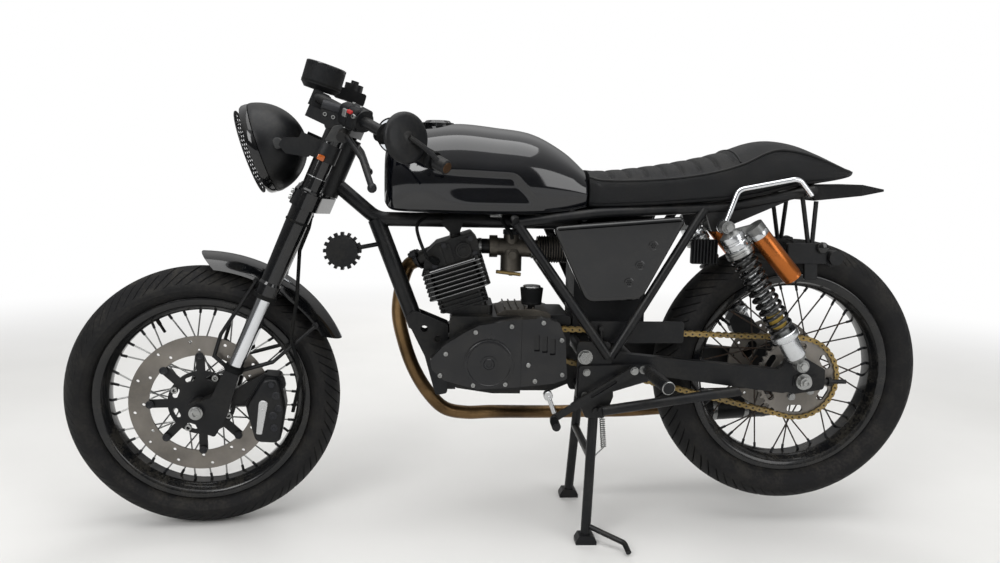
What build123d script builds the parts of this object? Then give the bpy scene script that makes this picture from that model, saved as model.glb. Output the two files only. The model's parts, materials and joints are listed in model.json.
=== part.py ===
"""Cafe racer motorcycle on its centre stand, an assembly of separate sub-parts.

Frame of the model: millimetres, origin at the centre of the rear wheel spindle, +X forward,
+Y to the machine's left, +Z up. Side profiles are sketched as (x, height above the floor).
The front end is turned a little to the left, as it is parked.
"""

import os
from math import asin, atan2, ceil, cos, floor, hypot, pi, radians, sin

from build123d import *

os.makedirs("parts", exist_ok=True)

# Stance on the centre stand
WHEELBASE = 1332.0
REAR_AXLE_HEIGHT = 365.5
RAKE = 23.35
CLAMP_OFFSET = 30.0
AXLE_LEAD = 35.3
PARKED_TURN = 6.5

# Wheels and tyres
FRONT_TYRE_RADIUS = 297.3
FRONT_TYRE_WIDTH = 112.0
REAR_TYRE_RADIUS = 308.5
REAR_TYRE_WIDTH = 128.0
SHOULDER_DROP = 28.0
FLANGE_RADIUS = 232.0
BEAD_RADIUS = FLANGE_RADIUS - 12.0
FRONT_RIM_WIDTH = 76.0
REAR_RIM_WIDTH = 88.0
SPOKE_RADIUS = 2.0
SPOKES_PER_FAMILY = 9
SPINDLE_RADIUS = 7.5
SPINDLE_BORE_RADIUS = 4.0
RUNNING_CLEARANCE = 0.05
REST_GAP = 0.3

# Front brake disc
DISC_OUTER_RADIUS = 151.5
DISC_INNER_RADIUS = 109.0
DISC_THICKNESS = 4.5
DISC_OFFSET = 55.0
DISC_HOLES = 24

# Fork, square to the steering axis unless named otherwise
FORK_SPACING = 190.0
LOWER_CLAMP_BASE = 490.0
LOWER_CLAMP_TOP = 524.0
TOP_CLAMP_BASE = 666.0
TOP_CLAMP_TOP = 691.0
FORK_TOP = 691.0
SEAL_BASE = 279.0
STANCHION_RADIUS = 16.0
STANCHION_BASE = 96.0
FOOT_TOP = 106.0
UPPER_TUBE_RADIUS = 21.3
LOWER_TUBE_RADIUS = 24.0
STEM_RADIUS = 16.0
HEAD_TUBE_RADIUS = 27.0
CLAMP_FIT = 0.1

# Main frame
BACKBONE_HEIGHT = 702.0
BACKBONE_RADIUS = 16.0
DOWNTUBE_RADIUS = 19.0
RAIL_RADIUS = 11.0
RAIL_Y = 100.0
RAIL_POINTS = ((640.0, 705.0), (467.0, 729.0), (190.0, 747.0), (0.0, 787.0))
PIVOT_X, PIVOT_HEIGHT = 487.0, 414.0
PLATE_INNER_Y = 114.3
PLATE_THICKNESS = 8.0
ARM_INNER_Y = 92.0
ARM_OUTER_Y = 114.0
ARM_FRONT_RADIUS = 18.0
ARM_REAR_RADIUS = 26.0
ARM_REAR = (45.0, 364.0)
AXLE_PLATE = ((60, 346), (58, 392), (28, 410), (0, 420), (-50, 392), (-50, 347), (16, 336))

# Rear suspension
SHOCK_Y = 150.0
SHOCK_TOP = (204.9, 706.4)
SHOCK_BASE = (22.8, 410.1)
SHOCK_EYE_WIDTH = 24.0
SHOCK_STUD_RADIUS = 7.0

# Final drive
SPROCKET_Y = 80.0
SPROCKET_TEETH = 36
CHAIN_PITCH = 15.9
SPROCKET_THICKNESS = 6.0
DRIVE_X, DRIVE_HEIGHT = 578.0, 443.0
DRIVE_RADIUS = 30.0

# Centre stand
STAND_PIVOT_X, STAND_PIVOT_HEIGHT = 463.7, 298.8
STAND_FOOT_X = 478.0
STAND_LEG_Y = 112.0
STAND_FOOT_Y = 136.0

# Directions of the raked front end
UPWARD = Vector(-sin(radians(RAKE)), 0, cos(radians(RAKE)))
FORWARD = Vector(cos(radians(RAKE)), 0, sin(radians(RAKE)))
AXLE_OFFSET = CLAMP_OFFSET + AXLE_LEAD
FLOOR = -REAR_AXLE_HEIGHT


def crown_radius(width, drop=SHOULDER_DROP):
    """Radius of the tread's arc from shoulder to shoulder."""
    half = width / 2 - 5
    return (half**2 + drop**2) / (2 * drop)


def front_axle_height():
    """Height of the straight-ahead front axle at which the parked, leaning tyre meets the floor."""
    lean = asin(sin(radians(PARKED_TURN)) * sin(radians(RAKE)))
    crown = crown_radius(FRONT_TYRE_WIDTH)
    dip = AXLE_OFFSET * sin(radians(RAKE)) * (1 - cos(radians(PARKED_TURN)))
    return (FRONT_TYRE_RADIUS - crown) * cos(lean) + crown + dip


FRONT_AXLE = Vector(WHEELBASE, 0, FLOOR + front_axle_height())
STEER_BASE = FRONT_AXLE - FORWARD * AXLE_OFFSET
HEAD = Plane(origin=STEER_BASE, x_dir=FORWARD, z_dir=UPWARD)
TURN = HEAD.location * Location((0, 0, 0), (0, 0, PARKED_TURN)) * HEAD.location.inverse()


def turned(plane):
    """A straight-ahead plane of the front end, swung to the parked steering angle."""
    return Plane(TURN * plane.location)


def side(y):
    """Upright plane at y; sketched as (x, height above the floor), extruding towards -Y."""
    return Plane(origin=(0, y, FLOOR), x_dir=(1, 0, 0), z_dir=(0, -1, 0))


def level(height):
    """Level plane at a height above the floor; sketched as (x, y)."""
    return Plane(origin=(0, 0, FLOOR + height), x_dir=(1, 0, 0), z_dir=(0, 0, 1))


def at(x, y, height):
    """Point of the chassis from x, y and its height above the floor."""
    return Vector(x, y, FLOOR + height)


def front_side(y):
    """The side plane, swung with the front end."""
    return turned(side(y))


def fork_level(along):
    """Plane square to the steering axis; sketched as (ahead of the axis, left)."""
    return turned(HEAD.offset(along))


def fork_side(y):
    """Plane along the fork; sketched as (ahead of the axis, up along it), extruding right."""
    origin = HEAD.from_local_coords((0, y, 0))
    return turned(Plane(origin=origin, x_dir=FORWARD, z_dir=(0, -1, 0)))


def fork_at(x, y, height):
    """Point of the front end, given straight ahead, at the parked angle."""
    return (TURN * Location((x, y, FLOOR + height))).position


def fork_point(ahead, y, along):
    """Point of the front end from its place ahead of, beside and along the steering axis."""
    return fork_level(along).from_local_coords((ahead, y, 0))


def across(plane_origin, turn_it=False):
    """Plane through the wheel's axis; sketched as (left, up), for turning about that axis."""
    plane = Plane(origin=plane_origin, x_dir=(0, 1, 0), z_dir=(1, 0, 0))
    return turned(plane) if turn_it else plane


def axis_of(plane):
    """The wheel's axis, the sketch's first direction."""
    return Axis(plane.origin, plane.x_dir)


def add_tube(points, radius, bends=None):
    """Add a round bar along straight runs joined by tangent arcs to the part being built."""
    with BuildLine() as path:
        if len(points) == 2:
            Line(*points)
        else:
            FilletPolyline(*points, radius=bends)
    with BuildSketch(Plane(origin=path.line @ 0, z_dir=path.line % 0)) as profile:
        Circle(radius)
    sweep(profile.sketch, path=path.line)


def add_rod(start, end, radius, mode=Mode.ADD):
    """Add or cut a straight round rod between two points."""
    start, end = Vector(start), Vector(end)
    with BuildSketch(Plane(origin=start, z_dir=end - start)) as profile:
        Circle(radius)
    extrude(profile.sketch, amount=(end - start).length, mode=mode)


def add_plate(plane, points, thickness, corner=0.0, mode=Mode.ADD):
    """Add or cut a flat plate of a polygon's outline with rounded corners."""
    with BuildSketch(plane) as outline:
        with BuildLine():
            Polyline(*points, close=True)
        make_face()
        if corner:
            fillet(outline.vertices(), corner)
    extrude(outline.sketch, amount=thickness, mode=mode)


def add_turned(plane, axis, points):
    """Add a body turned about an axis from a closed outline of straight sides."""
    with BuildSketch(plane) as outline:
        with BuildLine():
            Polyline(*points, close=True)
        make_face()
    revolve(outline.sketch, axis=axis)


# Tyres: bead seat, bulging sidewalls and one arc of tread


def add_tyre(plane, radius, width, rim_width):
    bead = rim_width / 2 - 4
    shoulder = width / 2 - 5
    low = radius - SHOULDER_DROP
    with BuildSketch(plane) as section:
        with BuildLine():
            Polyline(
                (-bead, FLANGE_RADIUS + 1),
                (-bead, BEAD_RADIUS),
                (bead, BEAD_RADIUS),
                (bead, FLANGE_RADIUS + 1),
            )
            ThreePointArc(
                (bead, FLANGE_RADIUS + 1),
                (width / 2 - 1, (FLANGE_RADIUS + low) / 2 + 3),
                (shoulder, low),
            )
            ThreePointArc((shoulder, low), (0, radius), (-shoulder, low))
            ThreePointArc(
                (-shoulder, low),
                (1 - width / 2, (FLANGE_RADIUS + low) / 2 + 3),
                (-bead, FLANGE_RADIUS + 1),
            )
        make_face()
    revolve(section.sketch, axis=axis_of(plane))


FRONT_WHEEL_PLANE = across(FRONT_AXLE, turn_it=True)
REAR_WHEEL_PLANE = across((0, 0, 0))

with BuildPart() as front_tyre:
    add_tyre(FRONT_WHEEL_PLANE, FRONT_TYRE_RADIUS, FRONT_TYRE_WIDTH, FRONT_RIM_WIDTH)
front_tyre.part.label = "front_tyre"
export_step(front_tyre.part, "parts/front_tyre.step")

with BuildPart() as rear_tyre:
    add_tyre(REAR_WHEEL_PLANE, REAR_TYRE_RADIUS, REAR_TYRE_WIDTH, REAR_RIM_WIDTH)
rear_tyre.part.label = "rear_tyre"
export_step(rear_tyre.part, "parts/rear_tyre.step")


# Spoked wheels: rim with two flanges and a well, hub with two spoke flanges, crossed spokes


def add_wheel(plane, rim_width, barrel_radius, flange_radius, flange_y, hub_half):
    half = rim_width / 2
    lip = half - 4
    well = FLANGE_RADIUS - 23
    outer = [
        (-half, FLANGE_RADIUS),
        (-lip, FLANGE_RADIUS),
        (-lip, BEAD_RADIUS),
        (-0.45 * half, well + 8),
        (-0.35 * half, well),
    ]
    inner = [(-half, well + 6), (-0.5 * half, well - 3), (-0.4 * half, well - 8)]
    section = outer + [(-y, r) for y, r in reversed(outer)] + [(-y, r) for y, r in inner] + inner[::-1]
    add_turned(plane, axis_of(plane), section)
    bore = SPINDLE_RADIUS + RUNNING_CLEARANCE
    add_turned(
        plane,
        axis_of(plane),
        [
            (-hub_half, bore),
            (-hub_half, barrel_radius),
            (-flange_y - 4, barrel_radius),
            (-flange_y - 4, flange_radius),
            (4 - flange_y, flange_radius),
            (10 - flange_y, barrel_radius),
            (flange_y - 10, barrel_radius),
            (flange_y - 4, flange_radius),
            (flange_y + 4, flange_radius),
            (flange_y + 4, barrel_radius),
            (hub_half, barrel_radius),
            (hub_half, bore),
        ],
    )
    # Columns: side of the hub, lead of the spoke, its place across the flange and across the rim
    for flank, lead, hub_y, rim_y in ((1, 1, 3, 9), (1, -1, -3, 3), (-1, 1, 3, 9), (-1, -1, -3, 3)):
        planes = []
        for count in range(SPOKES_PER_FAMILY):
            start = 2 * pi * (count + 0.25 * lead + 0.125 * flank) / SPOKES_PER_FAMILY
            end = start + lead * radians(52)
            hub_r, rim_r = flange_radius - 6, well - 5
            foot = plane.from_local_coords(
                (flank * (flange_y + hub_y), hub_r * sin(start), hub_r * cos(start))
            )
            tip = plane.from_local_coords((flank * rim_y, rim_r * sin(end), rim_r * cos(end)))
            planes.append(Plane(origin=foot, z_dir=tip - foot))
            length = (tip - foot).length
        with BuildSketch(*planes) as spokes:
            Circle(SPOKE_RADIUS)
        extrude(spokes.sketch, amount=length)


FRONT_HUB_HALF = 47.0
REAR_HUB_HALF = 60.0

with BuildPart() as front_wheel:
    add_wheel(FRONT_WHEEL_PLANE, FRONT_RIM_WIDTH, 24, 46, 30, FRONT_HUB_HALF)
front_wheel.part.label = "front_wheel"
export_step(front_wheel.part, "parts/front_wheel.step")

with BuildPart() as rear_wheel:
    add_wheel(REAR_WHEEL_PLANE, REAR_RIM_WIDTH, 34, 62, 34, REAR_HUB_HALF)
rear_wheel.part.label = "rear_wheel"
export_step(rear_wheel.part, "parts/rear_wheel.step")


# Front brake disc on its armed carrier


def wheel_face(axle, y, turn_it=False):
    """Plane of a wheel's face at y, its normal to the left."""
    plane = Plane(origin=Vector(axle) + Vector(0, y, 0), x_dir=(0, 0, 1), z_dir=(0, 1, 0))
    return turned(plane) if turn_it else plane


DISC_BASE = DISC_OFFSET - DISC_THICKNESS / 2

with BuildPart() as brake_disc:
    with BuildSketch(wheel_face(FRONT_AXLE, DISC_BASE, turn_it=True)):
        Circle(DISC_OUTER_RADIUS)
        Circle(DISC_INNER_RADIUS, mode=Mode.SUBTRACT)
        for hole_radius, twist in ((120, 0), (140, 7.5)):
            with PolarLocations(hole_radius, DISC_HOLES // 2, start_angle=twist):
                Circle(3.5, mode=Mode.SUBTRACT)
    extrude(amount=DISC_THICKNESS)
brake_disc.part.label = "brake_disc"
export_step(brake_disc.part, "parts/brake_disc.step")

CARRIER_BASE = FRONT_HUB_HALF
with BuildPart() as disc_carrier:
    with BuildSketch(wheel_face(FRONT_AXLE, CARRIER_BASE, turn_it=True)):
        Circle(72)
        with PolarLocations(86, 8):
            SlotOverall(62, 18)
        with PolarLocations(58, 8, start_angle=22.5):
            SlotOverall(24, 11, rotation=90, mode=Mode.SUBTRACT)
        Circle(SPINDLE_RADIUS + 12, mode=Mode.SUBTRACT)
    extrude(amount=DISC_BASE - CARRIER_BASE)
disc_carrier.part.label = "disc_carrier"
export_step(disc_carrier.part, "parts/disc_carrier.step")


# Rear sprocket with weight-saving windows

SPROCKET_PITCH_RADIUS = CHAIN_PITCH / (2 * sin(pi / SPROCKET_TEETH))
SPROCKET_BASE = SPROCKET_Y - SPROCKET_THICKNESS / 2
TOOTH_ROOT = SPROCKET_PITCH_RADIUS - 4.2
TOOTH_TIP = SPROCKET_PITCH_RADIUS + 1.8

with BuildPart() as rear_sprocket:
    with BuildSketch(wheel_face((0, 0, 0), SPROCKET_BASE)):
        Circle(TOOTH_ROOT)
        with PolarLocations(TOOTH_ROOT - 1, SPROCKET_TEETH):
            Trapezoid(9.6, TOOTH_TIP - TOOTH_ROOT + 1, 64, align=(Align.CENTER, Align.MIN), rotation=-90)
        Circle(33, mode=Mode.SUBTRACT)
        with PolarLocations(72, 6):
            SlotOverall(36, 17, rotation=90, mode=Mode.SUBTRACT)
    extrude(amount=SPROCKET_THICKNESS)
    with BuildSketch(wheel_face((0, 0, 0), REAR_HUB_HALF)):
        Circle(46)
        Circle(SPINDLE_RADIUS + RUNNING_CLEARANCE, mode=Mode.SUBTRACT)
    extrude(amount=SPROCKET_BASE - REAR_HUB_HALF)
rear_sprocket.part.label = "rear_sprocket"
export_step(rear_sprocket.part, "parts/rear_sprocket.step")


# Rear brake on the right: a drilled disc on the hub, a caliper on a bracket round the spindle

REAR_DISC_RADIUS = 110.0
REAR_DISC_FACE = -64.5
REAR_BRACKET_FACE = -80.0
REAR_SLOT_MARGIN = 5.0
# Columns: x and rise above the axle
REAR_CALIPER = ((118, 104.5), (104, 128.5), (62, 112.5), (38, 82.5), (60, 58.5), (104, 74.5))
REAR_BRACKET = ((14, -14), (-14, -14), (-16, 12), (44, 86), (96, 104), (104, 84), (62, 52))


def above_axle(outline):
    """Side outline whose rises above the rear axle become heights."""
    return [(x, REAR_AXLE_HEIGHT + rise) for x, rise in outline]


with BuildPart() as rear_disc:
    with BuildSketch(wheel_face((0, 0, 0), REAR_DISC_FACE)):
        Circle(REAR_DISC_RADIUS)
        with PolarLocations(66, 6):
            SlotOverall(46, 26, rotation=90, mode=Mode.SUBTRACT)
        with PolarLocations(98, 18):
            Circle(3.5, mode=Mode.SUBTRACT)
        Circle(16, mode=Mode.SUBTRACT)
    extrude(amount=4.5)
rear_disc.part.label = "rear_disc"
export_step(rear_disc.part, "parts/rear_disc.step")

with BuildPart() as rear_caliper:
    add_plate(side(-46), above_axle(REAR_CALIPER), 34, 8)
    with BuildSketch(wheel_face((0, 0, 0), -70)) as disc_slot:
        Circle(REAR_DISC_RADIUS + REAR_SLOT_MARGIN)
    extrude(disc_slot.sketch, amount=15, mode=Mode.SUBTRACT)
    add_plate(side(REAR_BRACKET_FACE), above_axle(REAR_BRACKET), 6, 8)
    add_rod((0, -79, 0), (0, -87, 0), 13.1, Mode.SUBTRACT)
rear_caliper.part.label = "rear_caliper"
export_step(rear_caliper.part, "parts/rear_caliper.step")


# Fork: clamps with the stem, tubes, chrome stanchions and feet


def add_clamp(base, top, tube_radius, ear, stem_ear, pads=()):
    """Yoke around both fork tubes and the stem, square to the steering axis."""
    with BuildSketch(fork_level(base)) as yoke:
        with Locations((CLAMP_OFFSET, FORK_SPACING / 2), (CLAMP_OFFSET, -FORK_SPACING / 2)):
            Circle(tube_radius + ear)
        Circle(stem_ear)
        for pad in pads:
            with Locations(pad):
                Circle(14)
        make_hull()
        with Locations((CLAMP_OFFSET, FORK_SPACING / 2), (CLAMP_OFFSET, -FORK_SPACING / 2)):
            Circle(tube_radius + CLAMP_FIT, mode=Mode.SUBTRACT)
    extrude(yoke.sketch, amount=top - base)


BAR_CENTRE = (1072.0, 960.0)


def fork_coords(x, height):
    """Place ahead of and along the steering axis of a straight-ahead point."""
    out = Vector(x, 0, FLOOR + height) - STEER_BASE
    return out.dot(FORWARD), out.dot(UPWARD)


BAR_AHEAD, BAR_ALONG = fork_coords(*BAR_CENTRE)
BAR_RADIUS = 11.0
RISER_Y = 42.0

with BuildPart() as lower_clamp:
    add_clamp(LOWER_CLAMP_BASE, LOWER_CLAMP_TOP, LOWER_TUBE_RADIUS, 7, 26)
    with BuildSketch(fork_level(LOWER_CLAMP_TOP)):
        Circle(STEM_RADIUS)
    extrude(amount=TOP_CLAMP_TOP - LOWER_CLAMP_TOP + 4)
lower_clamp.part.label = "lower_clamp"
export_step(lower_clamp.part, "parts/lower_clamp.step")

with BuildPart() as top_clamp:
    add_clamp(
        TOP_CLAMP_BASE,
        TOP_CLAMP_TOP,
        UPPER_TUBE_RADIUS,
        8,
        24,
        pads=((BAR_AHEAD, RISER_Y), (BAR_AHEAD, -RISER_Y)),
    )
    with BuildSketch(fork_level(TOP_CLAMP_BASE)):
        Circle(STEM_RADIUS + CLAMP_FIT)
    extrude(amount=TOP_CLAMP_TOP - TOP_CLAMP_BASE, mode=Mode.SUBTRACT)
    with BuildSketch(fork_level(TOP_CLAMP_TOP)):
        with Locations((BAR_AHEAD, RISER_Y), (BAR_AHEAD, -RISER_Y)):
            Rectangle(34, 24)
    extrude(amount=BAR_ALONG + 14 - TOP_CLAMP_TOP)
    add_rod(
        fork_point(BAR_AHEAD, -80, BAR_ALONG),
        fork_point(BAR_AHEAD, 80, BAR_ALONG),
        BAR_RADIUS + CLAMP_FIT,
        Mode.SUBTRACT,
    )
top_clamp.part.label = "top_clamp"
export_step(top_clamp.part, "parts/top_clamp.step")


def fork_line(y):
    """Section plane through one fork tube; sketched as (outward, along the tube)."""
    plane = Plane(origin=HEAD.from_local_coords((CLAMP_OFFSET, y, 0)), x_dir=(0, 1, 0), z_dir=FORWARD)
    return turned(plane)


def fork_axis(y):
    plane = fork_line(y)
    return Axis(plane.origin, plane.y_dir)


FORK_SIDES = (FORK_SPACING / 2, -FORK_SPACING / 2)

with BuildPart() as fork_tubes:
    for tube_y in FORK_SIDES:
        add_turned(
            fork_line(tube_y),
            fork_axis(tube_y),
            [
                (0, SEAL_BASE),
                (22.5, SEAL_BASE),
                (23.5, SEAL_BASE + 6),
                (23.5, 312),
                (21.5, 318),
                (LOWER_TUBE_RADIUS, LOWER_CLAMP_BASE - 4),
                (LOWER_TUBE_RADIUS, LOWER_CLAMP_TOP + 4),
                (UPPER_TUBE_RADIUS, LOWER_CLAMP_TOP + 8),
                (UPPER_TUBE_RADIUS, FORK_TOP),
                (15, FORK_TOP + 3),
                (0, FORK_TOP + 3),
            ],
        )
fork_tubes.part.label = "fork_tubes"
export_step(fork_tubes.part, "parts/fork_tubes.step")

with BuildPart() as stanchions:
    for tube_y in FORK_SIDES:
        add_rod(
            fork_point(CLAMP_OFFSET, tube_y, FOOT_TOP),
            fork_point(CLAMP_OFFSET, tube_y, SEAL_BASE),
            STANCHION_RADIUS,
        )
stanchions.part.label = "fork_stanchions"
export_step(stanchions.part, "parts/fork_stanchions.step")

FOOT_WIDTH = 34.0
FOOT_OUTLINE = (
    (14, FOOT_TOP), (46.5, FOOT_TOP), (49.5, 40), (66, 22), (66, -20), (44, -40), (10, -40), (4, 10),
)

with BuildPart() as fork_feet:
    for tube_y in FORK_SIDES:
        add_plate(fork_side(tube_y + FOOT_WIDTH / 2), FOOT_OUTLINE, FOOT_WIDTH, 6)
        add_rod(
            fork_point(AXLE_OFFSET, tube_y - FOOT_WIDTH / 2, 0),
            fork_point(AXLE_OFFSET, tube_y + FOOT_WIDTH / 2, 0),
            22,
        )
    add_rod(
        fork_point(AXLE_OFFSET, -130, 0),
        fork_point(AXLE_OFFSET, 130, 0),
        SPINDLE_RADIUS + CLAMP_FIT,
        Mode.SUBTRACT,
    )
fork_feet.part.label = "fork_feet"
export_step(fork_feet.part, "parts/fork_feet.step")

with BuildPart() as front_spindle:
    foot_face = FORK_SPACING / 2 + FOOT_WIDTH / 2
    add_rod(fork_point(AXLE_OFFSET, -foot_face, 0), fork_point(AXLE_OFFSET, foot_face, 0), SPINDLE_RADIUS)
    for end in (1, -1):
        inner_end = fork_point(
            AXLE_OFFSET,
            end * (FRONT_HUB_HALF + (DISC_BASE - CARRIER_BASE if end > 0 else 0) + 0.5),
            0,
        )
        add_rod(inner_end, fork_point(AXLE_OFFSET, end * (FORK_SPACING / 2 - FOOT_WIDTH / 2), 0), 12)
        add_rod(
            fork_point(AXLE_OFFSET, end * foot_face, 0),
            fork_point(AXLE_OFFSET, end * (foot_face + 9), 0),
            12,
        )
front_spindle.part.label = "front_spindle"
export_step(front_spindle.part, "parts/front_spindle.step")


# Front mudguard: a thin shell from above the axle round to the back of the tyre

GUARD_RADIUS = 330.0
GUARD_THICKNESS = 2.5
GUARD_HALF_WIDTH = 66.0
GUARD_START = 90.0
GUARD_SWEEP = 67.0
GUARD_SLANT = 7.5


def guard_section(radius, half, drop):
    """Crowned section of the mudguard, as (left, out from the axle)."""
    ThreePointArc((half, radius - drop), (0, radius), (-half, radius - drop))


with BuildPart() as front_mudguard:
    guard_plane = turned(Plane(origin=FRONT_AXLE, x_dir=(0, 1, 0), z_dir=(1, 0, 0)))
    with BuildSketch(guard_plane):
        with BuildLine():
            guard_section(GUARD_RADIUS, GUARD_HALF_WIDTH, 30)
            Line((-GUARD_HALF_WIDTH, GUARD_RADIUS - 30), (-GUARD_HALF_WIDTH + 3, GUARD_RADIUS - 30))
            guard_section(GUARD_RADIUS - GUARD_THICKNESS, GUARD_HALF_WIDTH - 3, 30 - GUARD_THICKNESS)
            Line((GUARD_HALF_WIDTH - 3, GUARD_RADIUS - 30), (GUARD_HALF_WIDTH, GUARD_RADIUS - 30))
        make_face()
    revolve(axis=axis_of(guard_plane), revolution_arc=-GUARD_SWEEP)
    # Both ends are cut on a slant, so that the crown runs out past the skirts
    for start, slant in ((GUARD_START, 1), (GUARD_START + GUARD_SWEEP, -1)):
        wedge = []
        # Columns: angle back from the end, distance from the axle
        for back, reach in (
            (0.4, GUARD_RADIUS + 1),
            (GUARD_SLANT, GUARD_RADIUS - 32),
            (-4, GUARD_RADIUS - 32),
            (-4, GUARD_RADIUS + 1),
        ):
            bearing = radians(start + slant * back)
            wedge.append(
                (
                    FRONT_AXLE.X + reach * cos(bearing),
                    REAR_AXLE_HEIGHT + FRONT_AXLE.Z + reach * sin(bearing),
                )
            )
        add_plate(front_side(GUARD_HALF_WIDTH + 4), wedge, 2 * GUARD_HALF_WIDTH + 8, mode=Mode.SUBTRACT)
front_mudguard.part.label = "front_mudguard"
export_step(front_mudguard.part, "parts/front_mudguard.step")


# Mudguard stays, caliper and hose ride with the fork

with BuildPart() as mudguard_stays:
    for hand in (1, -1):
        edge = hand * (GUARD_HALF_WIDTH + 5.5)
        add_tube([fork_at(1206, edge, 574), fork_at(1284, edge, 456), fork_at(1300, edge, 405)], 4, 30)
        add_tube([fork_at(1086, edge, 471), fork_at(1178, edge, 391)], 4)
        for x, height in ((1207.5, 572), (1085.8, 471.4)):
            add_rod(fork_at(x, hand * (GUARD_HALF_WIDTH + 0.3), height), fork_at(x, edge, height), 7)
        for x, height, foot_x, foot_height in ((1299, 408, 1266, 376), (1177, 392, 1254, 372)):
            add_rod(fork_at(x, edge, height), fork_at(foot_x, hand * 73, foot_height), 4.5)
mudguard_stays.part.label = "mudguard_stays"
export_step(mudguard_stays.part, "parts/mudguard_stays.step")

CALIPER_OUTLINE = ((1228, 262), (1236, 300), (1196, 366), (1160, 362), (1150, 290), (1164, 212), (1216, 216))
CALIPER_BRACKET = ((12, 58), (-4, 84), (-32, 118), (-74, 128), (-88, 108), (-30, 60), (6, 24))

with BuildPart() as brake_caliper:
    add_plate(front_side(80.8), CALIPER_OUTLINE, 44, 10)
    add_plate(fork_side(FORK_SPACING / 2 - FOOT_WIDTH / 2 - REST_GAP), CALIPER_BRACKET, 8, 8)
    with BuildSketch(wheel_face(FRONT_AXLE, 45.5, turn_it=True)):
        Circle(DISC_OUTER_RADIUS + 5)
    extrude(amount=14.5, mode=Mode.SUBTRACT)
brake_caliper.part.label = "brake_caliper"
export_step(brake_caliper.part, "parts/brake_caliper.step")

HOSE_ROUTE = (
    (10, 66, 487),
    (3, 78, 452),
    (2, 79, 400),
    (-33, 80, 300),
    (-54, 80, 216),
    (-107, 80, 146),
    (-122, 74, 60),
)

with BuildPart() as brake_hose:
    add_tube([fork_point(*place) for place in HOSE_ROUTE], 4, 20)
brake_hose.part.label = "brake_hose"
export_step(brake_hose.part, "parts/brake_hose.step")


# Headlamp, gauge and bars

LAMP_CENTRE = (1211.0, 846.6)
LAMP_DROOP = 18.0
LAMP_RADIUS = 98.0
BOWL_CENTRE = -17.0
BOWL_RADIUS = 95.0
LENS_RADIUS = 310.0


def lamp_plane():
    """Section of the headlamp; sketched as (out, ahead of the lamp's face)."""
    ahead = Vector(cos(radians(LAMP_DROOP)), 0, -sin(radians(LAMP_DROOP)))
    return turned(
        Plane(
            origin=at(LAMP_CENTRE[0], 0, LAMP_CENTRE[1]),
            x_dir=(0, 1, 0),
            z_dir=Vector(0, 1, 0).cross(ahead),
        )
    )


LAMP_AXIS = Axis(lamp_plane().origin, lamp_plane().y_dir)

with BuildPart() as headlamp:
    with BuildSketch(lamp_plane()):
        with BuildLine():
            bowl = CenterArc((0, BOWL_CENTRE), BOWL_RADIUS, -90, 81)
            Polyline(bowl @ 1, (LAMP_RADIUS, -26), (LAMP_RADIUS, 0), (86, 0), (86, -24), (0, -24), bowl @ 0)
        make_face()
    revolve(axis=LAMP_AXIS)
    for hand in (1, -1):
        add_rod(fork_at(1137, hand * 80, 862), fork_at(1137, hand * 104.7, 862), 9)
headlamp.part.label = "headlamp"
export_step(headlamp.part, "parts/headlamp.step")

with BuildPart() as headlamp_lens:
    with BuildSketch(lamp_plane()):
        with BuildLine():
            dome = CenterArc((0, 8 - LENS_RADIUS), LENS_RADIUS, 74, 16)
            Polyline(dome @ 0, (dome @ 0 - Vector(0, 14)), (0, -23.8), dome @ 1)
        make_face()
    revolve(axis=LAMP_AXIS)
headlamp_lens.part.label = "headlamp_lens"
export_step(headlamp_lens.part, "parts/headlamp_lens.step")

GRILLE_RADIUS = 91.0
GRILLE_STANDOFF = 11.0
GRILLE_BAR = 2.2
GRILLE_PITCH = 15.0

with BuildPart() as headlamp_grille:
    lamp_ahead = Vector(cos(radians(LAMP_DROOP)), 0, -sin(radians(LAMP_DROOP)))
    lamp_face = turned(
        Plane(origin=at(LAMP_CENTRE[0], 0, LAMP_CENTRE[1]), x_dir=(0, 1, 0), z_dir=lamp_ahead)
    )
    with BuildSketch(lamp_face.offset(GRILLE_STANDOFF)) as mesh:
        for heading in (32, -32):
            with Locations(Location((0, 0, 0), (0, 0, heading))):
                with GridLocations(0, GRILLE_PITCH, 1, 11):
                    Rectangle(2 * GRILLE_RADIUS, GRILLE_BAR)
        Circle(GRILLE_RADIUS - 4, mode=Mode.INTERSECT)
        Circle(GRILLE_RADIUS)
        with BuildSketch(mode=Mode.SUBTRACT):
            Circle(GRILLE_RADIUS - 9)
            for heading in (32, -32):
                with Locations(Location((0, 0, 0), (0, 0, heading))):
                    with GridLocations(0, GRILLE_PITCH, 1, 11):
                        Rectangle(2 * GRILLE_RADIUS, GRILLE_BAR, mode=Mode.SUBTRACT)
    extrude(mesh.sketch, amount=2)
    with BuildSketch(lamp_face) as posts:
        with PolarLocations(GRILLE_RADIUS - 2.6, 4, start_angle=45):
            Circle(2.4)
    extrude(posts.sketch, amount=GRILLE_STANDOFF)
headlamp_grille.part.label = "headlamp_grille"
export_step(headlamp_grille.part, "parts/headlamp_grille.step")

LAMP_BAND = (596.0, 634.0)

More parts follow.
